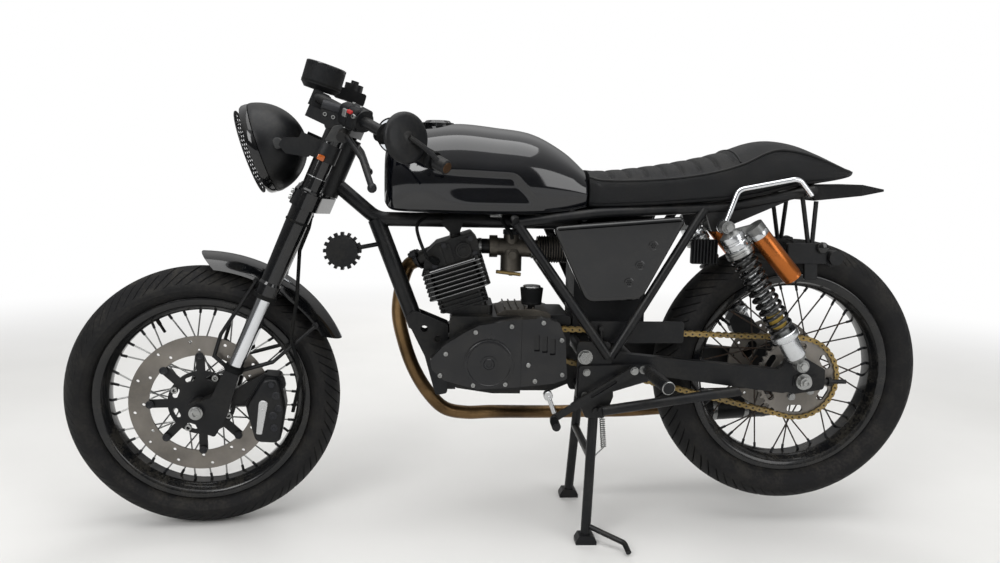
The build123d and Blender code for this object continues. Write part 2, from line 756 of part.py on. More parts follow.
with BuildPart() as lamp_brackets:
    for hand in (1, -1):
        with BuildSketch(fork_level(LAMP_BAND[0])):
            with Locations((CLAMP_OFFSET, hand * FORK_SPACING / 2)):
                Circle(UPPER_TUBE_RADIUS + 4)
                Circle(UPPER_TUBE_RADIUS + REST_GAP, mode=Mode.SUBTRACT)
            with Locations((CLAMP_OFFSET + 41.5, hand * 107.5)):
                Rectangle(42, 5)
        extrude(amount=LAMP_BAND[1] - LAMP_BAND[0])
        lug = [
            fork_coords(*place)
            for place in ((1090, 838), (1138, 845), (1152, 862), (1142, 878), (1088, 878))
        ]
        add_plate(fork_side(hand * 107.5 + 2.5), lug, 5, 4)
lamp_brackets.part.label = "lamp_brackets"
export_step(lamp_brackets.part, "parts/lamp_brackets.step")

GAUGE_BASE = (1074.0, 977.4)
GAUGE_TILT = 17.0
GAUGE_RADIUS = 43.5
GAUGE_DEPTH = 57.0

with BuildPart() as gauge:
    gauge_up = Vector(-sin(radians(GAUGE_TILT)), 0, cos(radians(GAUGE_TILT)))
    gauge_base = at(GAUGE_BASE[0], 0, GAUGE_BASE[1])
    gauge_plane = turned(Plane(origin=gauge_base, x_dir=(0, 1, 0), z_dir=Vector(0, 1, 0).cross(gauge_up)))
    add_turned(
        gauge_plane,
        Axis(gauge_plane.origin, gauge_plane.y_dir),
        [
            (0, 0),
            (GAUGE_RADIUS - 9, 0),
            (GAUGE_RADIUS - 3, 7),
            (GAUGE_RADIUS, 10),
            (GAUGE_RADIUS, GAUGE_DEPTH - 3),
            (GAUGE_RADIUS - 3, GAUGE_DEPTH),
            (GAUGE_RADIUS - 6, GAUGE_DEPTH),
            (GAUGE_RADIUS - 7, GAUGE_DEPTH - 5),
            (0, GAUGE_DEPTH - 4),
        ],
    )
gauge.part.label = "gauge"
export_step(gauge.part, "parts/gauge.step")

BAR_CORNER_Y = 72.0
BAR_ELBOW = (967.5, 200.0, 906.5)
BAR_END = (848.0, 330.0, 842.0)
BAR_BEND = 40.0


def bar_point(place, hand, out=0.0):
    """Point of a handlebar's half; hand is 1 for the left and -1 for the right."""
    x, y, height = place
    return fork_at(x, hand * (y + out), height)


with BuildPart() as handlebar:
    corner = (BAR_CENTRE[0], BAR_CORNER_Y, BAR_CENTRE[1])
    half = [bar_point(place, 1) for place in (BAR_END, BAR_ELBOW, corner)]
    other = [bar_point(place, -1) for place in (corner, BAR_ELBOW, BAR_END)]
    add_tube(half + other, BAR_RADIUS, BAR_BEND)
handlebar.part.label = "handlebar"
export_step(handlebar.part, "parts/handlebar.step")


def along_grip(share, hand):
    """Point on the straight outer run of the bar, 0 at the elbow and 1 at the end."""
    x, y, height = (a + (b - a) * share for a, b in zip(BAR_ELBOW, BAR_END))
    return fork_at(x, hand * y, height)


with BuildPart() as grips:
    for hand in (1, -1):
        add_rod(along_grip(0.22, hand), along_grip(0.98, hand), 16)
        add_rod(along_grip(0.2, hand), along_grip(1.05, hand), BAR_RADIUS + CLAMP_FIT, Mode.SUBTRACT)
grips.part.label = "grips"
export_step(grips.part, "parts/grips.step")


def along_bar(share):
    """Straight-ahead place on the left bar's inner run, 0 at its corner and 1 at the elbow."""
    start = (BAR_CENTRE[0], BAR_CORNER_Y, BAR_CENTRE[1])
    return tuple(a + (b - a) * share for a, b in zip(start, BAR_ELBOW))


RESERVOIR_BOX = ((1040, 996), (972, 976), (980, 950), (1048, 970))
LEVER_ROUTE = ((1018, 158, 890), (983, 240, 842), (965, 305, 790))

with BuildPart() as bar_controls:
    for hand in (1, -1):
        add_rod(bar_point(along_bar(0.55), hand), bar_point(along_bar(0.9), hand), 22)
        add_rod(bar_point(along_bar(0.68), hand), bar_point((1022, 152, 886), hand), 11)
        add_rod(bar_point((1014, 138, 900), hand), bar_point((1022, 172, 880), hand), 12)
        if hand < 0:
            add_plate(front_side(-100), RESERVOIR_BOX, 44, 5)
            add_rod(bar_point((1006, 122, 976), hand), bar_point((1000, 122, 1000), hand), 21)
            add_rod(bar_point((1000, 122, 1000), hand), bar_point((998, 122, 1007), hand), 9)
            add_rod(bar_point((1010, 150, 928), hand), bar_point((1008, 128, 968), hand), 10)
        bar_start, bar_end = (bar_point(along_bar(share), hand) for share in (0.3, 0.95))
        add_rod(bar_start, bar_end, BAR_RADIUS + CLAMP_FIT, Mode.SUBTRACT)
        add_tube([bar_point(place, hand) for place in LEVER_ROUTE], 6, 60)
        with Locations(Location(bar_point(LEVER_ROUTE[-1], hand))):
            Sphere(9)
bar_controls.part.label = "bar_controls"
export_step(bar_controls.part, "parts/bar_controls.step")

MIRROR_CENTRE = (903.2, 350.0, 884.6)
MIRROR_RADIUS = 47.4

with BuildPart() as mirrors:
    for hand in (1, -1):
        face = Vector(-cos(radians(58)), hand * sin(radians(58)), 0.1)
        middle = bar_point(MIRROR_CENTRE, hand)
        turned_face = fork_at(face.X, face.Y, face.Z + REAR_AXLE_HEIGHT) - fork_at(0, 0, REAR_AXLE_HEIGHT)
        with BuildSketch(Plane(origin=middle - turned_face * 6, z_dir=turned_face)):
            Circle(MIRROR_RADIUS)
        extrude(amount=12)
        add_rod(along_grip(1.09, hand), middle - turned_face * 4, 5)
        add_rod(along_grip(1.0, hand), along_grip(1.16, hand), 14)
mirrors.part.label = "mirrors"
export_step(mirrors.part, "parts/mirrors.step")


# Main frame: head tube, backbone, downtube, seat rails, pivot plates and their tubes

ENGINE_PLATE = ((884, 484), (866, 500), (788, 468), (788, 310), (815, 305), (840, 395))
ENGINE_PLATE_HOLES = ((842, 458, 8), (812, 436, 7), (806, 380, 6))
HEAD_STEADY = ((812, 700), (757, 700), (766, 674), (786, 674))
SEAT_PANEL = ((232, 741), (8, 786), (54, 764), (92, 747), (148, 722), (204, 697))
PLATE_TOP = PIVOT_HEIGHT + 38
PIVOT_PLATE = ((437, PLATE_TOP), (508, PLATE_TOP), (508, 330), (486, 282), (444, 282), (426, 330))
SHOCK_LUG = ((176, 748), (240, 744), (222, 694), (190, 694))
DOWNTUBE_END = (860, 462)
HANGER_RADIUS = 11.0
HANGER_Y = 138.0
HANGER_FRONT = (452, 303)
HANGER_BACK = (140, 351)
HANGER_SLASH = ((165, 372), (120, 372), (120, 335), (141, 335))

with BuildPart() as frame:
    head_low, head_high = (HEAD.offset(a).origin for a in (LOWER_CLAMP_TOP + 3, TOP_CLAMP_BASE - 5))
    add_rod(head_low, head_high, HEAD_TUBE_RADIUS)
    add_tube(
        [at(1049, 0, 785), at(950, 0, BACKBONE_HEIGHT), at(500, 0, BACKBONE_HEIGHT)],
        BACKBONE_RADIUS,
        60,
    )
    add_rod(at(952, 0, 702), at(*DOWNTUBE_END[:1], 0, DOWNTUBE_END[1]), DOWNTUBE_RADIUS)
    add_rod(at(863, -28, 466), at(863, 28, 466), 12)
    for plate_y in (28, -22):
        add_plate(side(plate_y), ENGINE_PLATE, 6, 8)
        for x, height, radius in ENGINE_PLATE_HOLES:
            add_rod(at(x, plate_y, height), at(x, plate_y - 6, height), radius, Mode.SUBTRACT)
    for plate_y in (17.3, -12.3):
        add_plate(side(plate_y), HEAD_STEADY, 5, 4)
    add_rod(at(643, -RAIL_Y, 704), at(643, RAIL_Y, 704), 12)
    add_rod(at(0, -RAIL_Y, 787), at(0, RAIL_Y, 787), 10)
    add_rod(at(500, -RAIL_Y, 718), at(500, RAIL_Y, 718), 8)
    for hand in (1, -1):
        add_tube([at(x, hand * RAIL_Y, height) for x, height in RAIL_POINTS], RAIL_RADIUS, 150)
        add_rod(at(643.7, hand * RAIL_Y, 703), at(441, hand * 127, PIVOT_HEIGHT + 6), 10.5)
        add_rod(at(240, hand * 104, 742), at(436, hand * 127, PIVOT_HEIGHT + 6), 10)
        outer_face = hand * PLATE_INNER_Y + (PLATE_THICKNESS if hand > 0 else 0)
        add_plate(side(outer_face), PIVOT_PLATE, PLATE_THICKNESS, 8)
        add_plate(side(hand * RAIL_Y + 5), SHOCK_LUG, 10, 6)
        add_plate(side(hand * RAIL_Y + 2), SEAT_PANEL, 4)
        add_plate(side(hand * 85 + 5), ((-6, 776), (26, 776), (26, 790), (-6, 790)), 10)
        add_rod(
            at(SHOCK_TOP[0], hand * RAIL_Y, SHOCK_TOP[1]),
            at(SHOCK_TOP[0], hand * 168, SHOCK_TOP[1]),
            SHOCK_STUD_RADIUS,
        )
        add_rod(at(15.5, hand * RAIL_Y, 778), at(15.5, hand * 119.8, 778), 8)
    add_rod(at(PIVOT_X, -130, PIVOT_HEIGHT), at(PIVOT_X, 130, PIVOT_HEIGHT), 8)
    # Slash-cut hanger tube on the left, bolted to the pivot plate's foot
    hanger_front, hanger_back = (at(x, HANGER_Y, height) for x, height in (HANGER_FRONT, HANGER_BACK))
    add_rod(at(HANGER_FRONT[0], PLATE_INNER_Y, HANGER_FRONT[1]), hanger_front, 9)
    add_rod(hanger_front, hanger_back, HANGER_RADIUS)
    add_plate(side(HANGER_Y + 14), HANGER_SLASH, 28, mode=Mode.SUBTRACT)
    add_rod(
        at(STAND_PIVOT_X, -128, STAND_PIVOT_HEIGHT),
        at(STAND_PIVOT_X, 128, STAND_PIVOT_HEIGHT),
        7,
    )
    bore_low, bore_high = (HEAD.offset(a).origin for a in (500, 700))
    add_rod(bore_low, bore_high, STEM_RADIUS + RUNNING_CLEARANCE, Mode.SUBTRACT)
frame.part.label = "frame"
export_step(frame.part, "parts/frame.step")


# Swingarm, rear spindle, shocks

with BuildPart() as swingarm:
    for hand in (1, -1):
        face = hand * (ARM_INNER_Y + ARM_OUTER_Y) / 2 + (ARM_OUTER_Y - ARM_INNER_Y) / 2
        with BuildSketch(side(face)):
            with Locations((PIVOT_X, PIVOT_HEIGHT)):
                Circle(ARM_FRONT_RADIUS)
            with Locations(ARM_REAR):
                Circle(ARM_REAR_RADIUS)
            make_hull()
        extrude(amount=ARM_OUTER_Y - ARM_INNER_Y)
        add_plate(side(hand * 105 + 9), AXLE_PLATE, 18, 8)
        add_rod(at(-44, hand * 103, 362), at(-104, hand * 103, 362), 5)
        add_rod(at(-62, hand * 103, 362), at(-70, hand * 103, 362), 10)
        lug_face = hand * 109 + 5
        add_plate(side(lug_face), ((-4, 372), (54, 378), (38, 424), (8, 424)), 10, 6)
        stud = at(SHOCK_BASE[0], hand * 106, SHOCK_BASE[1])
        add_rod(stud, at(SHOCK_BASE[0], hand * 168, SHOCK_BASE[1]), SHOCK_STUD_RADIUS)
    add_rod(at(PIVOT_X, -100, PIVOT_HEIGHT), at(PIVOT_X, 100, PIVOT_HEIGHT), 13)
    add_rod(at(384, -100, PIVOT_HEIGHT - 10), at(384, 100, PIVOT_HEIGHT - 10), 13)
    add_rod(at(PIVOT_X, -130, PIVOT_HEIGHT), at(PIVOT_X, 130, PIVOT_HEIGHT), 8.1, Mode.SUBTRACT)
    add_rod(
        at(0, -130, REAR_AXLE_HEIGHT),
        at(0, 130, REAR_AXLE_HEIGHT),
        SPINDLE_RADIUS + CLAMP_FIT,
        Mode.SUBTRACT,
    )
swingarm.part.label = "swingarm"
export_step(swingarm.part, "parts/swingarm.step")

REAR_SPINDLE_HALF = 139.0

with BuildPart() as rear_spindle:
    add_rod((0, -REAR_SPINDLE_HALF, 0), (0, REAR_SPINDLE_HALF, 0), SPINDLE_RADIUS)
    # Columns: where a spacer or nut starts and ends along the spindle, and its radius
    for start, end, radius in (
        (83.5, 92, 13),
        (114, 122, 18),
        (122, 134, 13),
        (-92, -60.5, 13),
        (-122, -114, 18),
        (-134, -122, 13),
    ):
        add_rod((0, start, 0), (0, end, 0), radius)
    add_rod((0, -140, 0), (0, 140, 0), SPINDLE_BORE_RADIUS, Mode.SUBTRACT)
rear_spindle.part.label = "rear_spindle"
export_step(rear_spindle.part, "parts/rear_spindle.step")

SHOCK_DOWN = (at(SHOCK_BASE[0], 0, SHOCK_BASE[1]) - at(SHOCK_TOP[0], 0, SHOCK_TOP[1])).normalized()
COIL_TURNS = 12
COIL_RADIUS = 23.6
WIRE_RADIUS = 4.2
RESERVOIR_TOP = (139.0, 698.0)
RESERVOIR_BASE = (54.0, 601.0)
RESERVOIR_RADIUS = 20.0


def shock_plane(y):
    """Section of a shock absorber; sketched as (out, down along it from its upper eye)."""
    origin = at(SHOCK_TOP[0], y, SHOCK_TOP[1])
    return Plane(origin=origin, x_dir=(0, 1, 0), z_dir=Vector(0, 1, 0).cross(SHOCK_DOWN))


def shock_axis(y):
    plane = shock_plane(y)
    return Axis(plane.origin, plane.y_dir)


RESERVOIR_BRIDGE = ((200, 700), (186, 668), (128, 688), (150, 714))
RESERVOIR_WINDOW = ((184, 695), (178, 681), (158, 690))
SHOCK_BODY = (
    (0, 10), (13, 10), (24, 18), (24, 50), (29, 52), (29, 66), (14, 66), (14, 264),
    (29, 264), (29, 276), (21, 278), (21, 326), (13, 338), (0, 338),
)
RESERVOIR_DOWN = (
    at(RESERVOIR_BASE[0], 0, RESERVOIR_BASE[1]) - at(RESERVOIR_TOP[0], 0, RESERVOIR_TOP[1])
).normalized()

with BuildPart() as shock_bodies:
    for hand in (1, -1):
        add_turned(shock_plane(hand * SHOCK_Y), shock_axis(hand * SHOCK_Y), SHOCK_BODY)
        cap = at(RESERVOIR_TOP[0], hand * SHOCK_Y, RESERVOIR_TOP[1])
        add_rod(cap - RESERVOIR_DOWN * 16, cap, RESERVOIR_RADIUS + 2)
        add_plate(side(hand * SHOCK_Y + 6), RESERVOIR_BRIDGE, 12)
        add_plate(side(hand * SHOCK_Y + 6), RESERVOIR_WINDOW, 12, mode=Mode.SUBTRACT)
        add_rod(
            cap,
            at(RESERVOIR_BASE[0], hand * SHOCK_Y, RESERVOIR_BASE[1]),
            RESERVOIR_RADIUS + 0.1,
            Mode.SUBTRACT,
        )
        for x, height in (SHOCK_TOP, SHOCK_BASE):
            add_rod(at(x, hand * SHOCK_Y - 12, height), at(x, hand * SHOCK_Y + 12, height), 14)
        for x, height in (SHOCK_TOP, SHOCK_BASE):
            stud_hole = SHOCK_STUD_RADIUS + 0.1
            add_rod(
                at(x, hand * SHOCK_Y - 20, height),
                at(x, hand * SHOCK_Y + 20, height),
                stud_hole,
                Mode.SUBTRACT,
            )
shock_bodies.part.label = "shock_bodies"
export_step(shock_bodies.part, "parts/shock_bodies.step")

with BuildPart() as shock_springs:
    for hand in (1, -1):
        spring_y = hand * SHOCK_Y
        coil_start = at(SHOCK_TOP[0], spring_y, SHOCK_TOP[1]) + SHOCK_DOWN * (66 + WIRE_RADIUS + REST_GAP)
        coil_run = 198 - 2 * (WIRE_RADIUS + REST_GAP)
        with BuildLine() as coil:
            Helix(coil_run / COIL_TURNS, coil_run, COIL_RADIUS, center=coil_start, direction=SHOCK_DOWN)
        with BuildSketch(Plane(origin=coil.line @ 0, z_dir=coil.line % 0)) as wire:
            Circle(WIRE_RADIUS)
        sweep(wire.sketch, path=coil.line, is_frenet=True)
shock_springs.part.label = "shock_springs"
export_step(shock_springs.part, "parts/shock_springs.step")

with BuildPart() as shock_reservoirs:
    for hand in (1, -1):
        top, base = (at(x, hand * SHOCK_Y, height) for x, height in (RESERVOIR_TOP, RESERVOIR_BASE))
        add_rod(top, base, RESERVOIR_RADIUS)
shock_reservoirs.part.label = "shock_reservoirs"
export_step(shock_reservoirs.part, "parts/shock_reservoirs.step")


# Engine: crankcase, side covers, finned cylinder and head, carburettor and breather

COVER_OUTLINE = (
    (826, 410), (797, 442), (750, 472), (722, 486), (652, 498), (585, 503), (550, 494), (536, 460),
    (530, 370), (560, 360), (640, 351), (725, 346), (797, 366), (822, 389),
)
CASE_OUTLINE = ((517, 499), (517, 345), (556, 328), (690, 328), (770, 340), (785, 362), (785, 499))
COVER_WINDOWS = ((597, 449), (580, 446), (563, 441))
SHAFT_BOSS = (700.0, 403.0)
CLUTCH_BOSS = (640.0, 412.0)
LUG_OUTLINE = ((770, 440), (770, 318), (808, 318), (832, 400), (842, 440))
CYLINDER_BASE = (747.0, 499.0)
CYLINDER_LEAN = 18.0

with BuildPart() as crankcase:
    add_plate(side(92), CASE_OUTLINE, 184, 8)
    add_plate(side(92), ((500, 520), (500, 320), (628, 320), (628, 520)), 26, mode=Mode.SUBTRACT)
    with BuildSketch(side(21.7)):
        Polygon(*LUG_OUTLINE, align=None)
    extrude(amount=43.4)
    add_rod(at(DRIVE_X, 66, DRIVE_HEIGHT), at(DRIVE_X, 86, DRIVE_HEIGHT), 12)
    add_rod(at(DRIVE_X, 74.7, DRIVE_HEIGHT), at(DRIVE_X, 85.3, DRIVE_HEIGHT), DRIVE_RADIUS - 4)
crankcase.part.label = "crankcase"
export_step(crankcase.part, "parts/crankcase.step")

with BuildPart() as engine_covers:
    for hand in (1, -1):
        add_plate(side(128 if hand > 0 else -92), COVER_OUTLINE, 36, 7)
    add_rod(at(SHAFT_BOSS[0], 128, SHAFT_BOSS[1]), at(SHAFT_BOSS[0], 132, SHAFT_BOSS[1]), 53)
    add_rod(at(SHAFT_BOSS[0], 132, SHAFT_BOSS[1]), at(SHAFT_BOSS[0], 134, SHAFT_BOSS[1]), 18)
    add_rod(at(SHAFT_BOSS[0], 130, SHAFT_BOSS[1]), at(SHAFT_BOSS[0], 135, SHAFT_BOSS[1]), 12, Mode.SUBTRACT)
    add_plate(side(129), ((630, 520), (630, 340), (632, 340), (632, 520)), 3, mode=Mode.SUBTRACT)
    for x, height in COVER_WINDOWS:
        add_plate(
            side(129),
            ((x - 6, height + 18), (x - 6, height - 18), (x + 6, height - 18), (x + 6, height + 18)),
            9,
            2,
            Mode.SUBTRACT,
        )
    add_rod(at(CLUTCH_BOSS[0], -128, CLUTCH_BOSS[1]), at(CLUTCH_BOSS[0], -136, CLUTCH_BOSS[1]), 66)
    add_rod(at(CLUTCH_BOSS[0], -136, CLUTCH_BOSS[1]), at(CLUTCH_BOSS[0], -139, CLUTCH_BOSS[1]), 40)
engine_covers.part.label = "engine_covers"
export_step(engine_covers.part, "parts/engine_covers.step")


def cylinder_plane(up):
    """Plane square to the cylinder; sketched as (ahead, left)."""
    lean = radians(CYLINDER_LEAN)
    axis = Vector(sin(lean), 0, cos(lean))
    return Plane(
        origin=at(CYLINDER_BASE[0], 0, CYLINDER_BASE[1]) + axis * up,
        x_dir=(cos(lean), 0, -sin(lean)),
        z_dir=axis,
    )


FIN_PITCH = 9.75
FIN_THICKNESS = 3.0
# Columns: first fin's height up the barrel, how many, length ahead, width across and corner
BARREL_FINS = ((16, 4, 112, 126, 16), (50, 7, 140, 148, 22))
HEAD_BASE = 112.0

with BuildPart() as cylinder:
    with BuildSketch(cylinder_plane(0)):
        RectangleRounded(98, 114, 14)
    extrude(amount=50)
    with BuildSketch(cylinder_plane(48)):
        RectangleRounded(112, 122, 16)
    extrude(amount=HEAD_BASE - 48)
    for base, fins, ahead, wide, corner in BARREL_FINS:
        with BuildSketch(*[cylinder_plane(base + FIN_PITCH * fin) for fin in range(fins)]):
            RectangleRounded(ahead, wide, corner)
        extrude(amount=FIN_THICKNESS)
    with BuildSketch(level(499)):
        with Locations((742, 0)):
            RectangleRounded(104, 120, 14)
    extrude(amount=20)
    with BuildSketch(level(470)):
        Rectangle(2000, 400)
    extrude(amount=29, mode=Mode.SUBTRACT)
cylinder.part.label = "cylinder"
export_step(cylinder.part, "parts/cylinder.step")

# Head: a ribbed rocker box, its front slanted, with the ports and the steady's lug
HEAD_PROFILE = ((62, 0), (62, 12), (46, 44), (20, 57), (-62, 57), (-70, 40), (-66, 0))
HEAD_RIBS = (-48.0, -30.0, -6.0, 14.0)


def head_side(y):
    """Plane along the cylinder; sketched as (ahead of its axis, up from the head's foot)."""
    foot = cylinder_plane(HEAD_BASE)
    return Plane(origin=foot.origin + Vector(0, y, 0), x_dir=foot.x_dir, z_dir=(0, -1, 0))


with BuildPart() as cylinder_head:
    with BuildSketch(cylinder_plane(HEAD_BASE)):
        RectangleRounded(126, 140, 22)
    extrude(amount=4)
    add_plate(head_side(58), HEAD_PROFILE, 116, 5)
    for ahead in HEAD_RIBS:
        add_plate(head_side(62), ((ahead - 3, 2), (ahead + 3, 2), (ahead + 3, 50), (ahead - 3, 50)), 124)
    for hand in (1, -1):
        boss = head_side(hand * 58)
        start, end = (boss.from_local_coords((-34, 26, reach)) for reach in (0, -hand * 8))
        add_rod(start, end, 17)
    add_rod(at(776, 0, 648), at(776, 0, 685), 12)
    add_rod(at(750, 0, 645), at(698.1, 0, 645), 17)
    add_rod(at(826, -20, 624.5), at(864, -34, 606), 18)
cylinder_head.part.label = "cylinder_head"
export_step(cylinder_head.part, "parts/cylinder_head.step")

with BuildPart() as carburettor:
    add_rod(at(697.8, 0, 645), at(680, 0, 645), 25)
    add_rod(at(690, 0, 645), at(584, 0, 640), 20)
    add_rod(at(648, 0, 590), at(648, 0, 640), 24)
    add_rod(at(648, 0, 640), at(648, 0, 683), 18)
    add_rod(at(648, -34, 628), at(648, 34, 628), 9)
    add_rod(at(590, 0, 640), at(512, 0, 640), 29)
carburettor.part.label = "carburettor"
export_step(carburettor.part, "parts/carburettor.step")

with BuildPart() as breather_filter:
    add_rod(at(604, 50, 499.1), at(604, 50, 524), 8)
    with BuildSketch(level(522)):
        with Locations((604, 50)):
            Circle(22)
    extrude(amount=36, taper=-6)
breather_filter.part.label = "breather_filter"
export_step(breather_filter.part, "parts/breather_filter.step")


# Exhaust, on the right

HEADER_ROUTE = (
    (864.4, -34.1, 605.8), (886.2, -42.2, 595.2), (907, -49, 475), (868, -54, 345), (800, -64, 240),
    (690, -90, 232), (545, -176, 206), (333.4, -182, 208.1), (203.8, -182, 218),
)
PIPE_RADIUS = 16.0
MUFFLER_Y = -196.0
MUFFLER_RADIUS = 40.0

with BuildPart() as exhaust_header:
    add_tube([at(*place) for place in HEADER_ROUTE], PIPE_RADIUS, 36)
exhaust_header.part.label = "exhaust_header"
export_step(exhaust_header.part, "parts/exhaust_header.step")

with BuildPart() as muffler:
    muffler_front, muffler_back = at(203, MUFFLER_Y, 213), at(-58, MUFFLER_Y, 233)
    add_rod(muffler_front, muffler_back, MUFFLER_RADIUS)
    add_rod(
        muffler_back - (muffler_front - muffler_back) * 0.03,
        muffler_front - (muffler_front - muffler_back) * 0.3,
        20,
        Mode.SUBTRACT,
    )
muffler.part.label = "muffler"
export_step(muffler.part, "parts/muffler.step")


# Tank, seat and tail

# Columns: x, half width, lowest and highest height of the section
TANK_SECTIONS = (
    (490, 92, 741, 817), (540, 106, 732, 860), (610, 122, 726, 896), (690, 134, 724, 908),
    (773, 138, 724, 914.5), (850, 130, 725, 905), (905, 108, 727, 889), (929, 78, 736, 868),
)
KNEE_Y = 126.0
KNEE_CURVE = 190.0
KNEE_HEIGHT = 768.0
KNEE_SPAN = (618.0, 840.0)
TANK_CAP = (817.0, 904.0)
TANK_CAP_RADIUS = 36.0

with BuildPart() as fuel_tank:
    for x, half, low, high in TANK_SECTIONS:
        middle = low + (high - low) * 0.38
        with BuildSketch(Plane(origin=at(x, 0, 0), x_dir=(0, 1, 0), z_dir=(1, 0, 0))):
            with BuildLine():
                Line((-half * 0.86, low), (half * 0.86, low))
                Spline(
                    (half * 0.86, low),
                    (half, middle),
                    (half * 0.72, low + (high - low) * 0.82),
                    (0, high),
                    tangents=((0.5, 1), (-1, 0)),
                )
                Spline(
                    (0, high),
                    (-half * 0.72, low + (high - low) * 0.82),
                    (-half, middle),
                    (-half * 0.86, low),
                    tangents=((-1, 0), (0.5, -1)),
                )
            make_face()
    loft()
    for hand in (1, -1):
        scoop = hand * (KNEE_Y + KNEE_CURVE)
        add_rod(
            at(KNEE_SPAN[0], scoop, KNEE_HEIGHT),
            at(KNEE_SPAN[1], scoop, KNEE_HEIGHT),
            KNEE_CURVE,
            Mode.SUBTRACT,
        )
    add_rod(at(TANK_CAP[0], 0, TANK_CAP[1]), at(TANK_CAP[0], 0, 960), TANK_CAP_RADIUS + 0.3, Mode.SUBTRACT)
fuel_tank.part.label = "fuel_tank"
export_step(fuel_tank.part, "parts/fuel_tank.step")

with BuildPart() as fuel_cap:
    add_rod(at(TANK_CAP[0], 0, TANK_CAP[1]), at(TANK_CAP[0], 0, TANK_CAP[1] + 11), TANK_CAP_RADIUS)
fuel_cap.part.label = "fuel_cap"
export_step(fuel_cap.part, "parts/fuel_cap.step")

# Columns: x, half width, lowest and highest height of the section
SEAT_SECTIONS = (
    (489.7, 95, 740, 817), (440, 108, 743.5, 822), (280, 118, 755, 846), (172, 120, 765, 870),
    (93, 115, 781, 893), (31, 108, 796, 887), (-37, 92, 806, 861), (-95, 62, 818, 845), (-122, 30, 824, 836),
)

with BuildPart() as seat:
    for x, half, low, high in SEAT_SECTIONS:
        with BuildSketch(Plane(origin=at(x, 0, 0), x_dir=(0, 1, 0), z_dir=(1, 0, 0))):
            with BuildLine():
                Line((-half, low), (half, low))
                Line((half, low), (half, low + (high - low) * 0.3))
                ThreePointArc(
                    (half, low + (high - low) * 0.3), (half * 0.76, low + (high - low) * 0.84), (0, high),
                )
                ThreePointArc(
                    (0, high),
                    (-half * 0.76, low + (high - low) * 0.84),
                    (-half, low + (high - low) * 0.3),
                )
                Line((-half, low + (high - low) * 0.3), (-half, low))
            make_face()
    loft(ruled=True)
seat.part.label = "seat"
export_step(seat.part, "parts/seat.step")

# Columns: x, half width, lowest and highest height of the section
TAIL_SECTIONS = ((-10, 84, 764, 797), (-132, 55, 776, 801), (-209, 5, 786, 791))

with BuildPart() as tail_guard:
    for x, half, low, high in TAIL_SECTIONS:
        with BuildSketch(Plane(origin=at(x, 0, 0), x_dir=(0, 1, 0), z_dir=(1, 0, 0))):
            Polygon((-half, low), (half, low), (half, high), (-half, high), align=None)
    loft(ruled=True)
tail_guard.part.label = "tail_guard"
export_step(tail_guard.part, "parts/tail_guard.step")

COVER_PANEL = ((572, 700), (282, 727), (376, 545), (494, 539))

with BuildPart() as side_covers:
    for hand in (1, -1):
        face = 134 if hand > 0 else -118
        add_plate(side(face), COVER_PANEL, 16, 14)
        for x, height in ((500, 680), (370, 690), (440, 570)):
            add_rod(at(x, hand * 64, height), at(x, hand * 119, height), 6)
side_covers.part.label = "side_covers"
export_step(side_covers.part, "parts/side_covers.step")

BATTERY_BASE = PIVOT_HEIGHT + 41
BATTERY_OUTLINE = (
    (352, 684), (352, BATTERY_BASE + 20), (372, BATTERY_BASE), (512, BATTERY_BASE), (512, 684),
)

with BuildPart() as battery_box:
    add_plate(side(64), BATTERY_OUTLINE, 128, 8)
battery_box.part.label = "battery_box"
export_step(battery_box.part, "parts/battery_box.step")

GRAB_Y = 126.0
GRAB_POINTS = ((200, 714), (176, 785), (45.5, 811.5), (15.5, 776))

with BuildPart() as grab_rails:
    for hand in (1, -1):
        add_tube([at(x, hand * GRAB_Y, height) for x, height in GRAB_POINTS], 6, 22)
        add_rod(
            at(SHOCK_TOP[0], hand * GRAB_Y - 3, SHOCK_TOP[1]),
            at(SHOCK_TOP[0], hand * GRAB_Y + 3, SHOCK_TOP[1]),
            14,
        )
        add_rod(
            at(SHOCK_TOP[0], hand * GRAB_Y - 9, SHOCK_TOP[1]),
            at(SHOCK_TOP[0], hand * GRAB_Y + 9, SHOCK_TOP[1]),
            SHOCK_STUD_RADIUS + 0.1,
            Mode.SUBTRACT,
        )
grab_rails.part.label = "grab_rails"
export_step(grab_rails.part, "parts/grab_rails.step")

BRACKET_HOLES_X = (-40.0, -14.0)
BRACKET_HOLE_HEIGHT = 648.0
BRACKET_HOLE_RADIUS = 3.0

with BuildPart() as tail_brackets:
    for hand in (1, -1):
        add_rod(at(18, hand * 85, 775), at(-3, hand * 85, 668), 5)
        add_rod(at(-16.5, hand * 80, 763), at(-11.6, hand * 85, 668), 5)
        add_plate(side(hand * 85 + 5), ((37, 680), (-62, 650), (-62, 616), (30, 665)), 10, 4)
        add_rod(at(-62, hand * 85 - 12, 640), at(-62, hand * 85 + 18, 640), 16)
        for x in BRACKET_HOLES_X:
            add_rod(
                at(x, hand * 85 - 9, BRACKET_HOLE_HEIGHT),
                at(x, hand * 85 + 9, BRACKET_HOLE_HEIGHT),
                BRACKET_HOLE_RADIUS,
                Mode.SUBTRACT,
            )
tail_brackets.part.label = "tail_brackets"
export_step(tail_brackets.part, "parts/tail_brackets.step")


# Drive chain: two rows of waisted side plates beside the sprockets, rollers on the straight runs

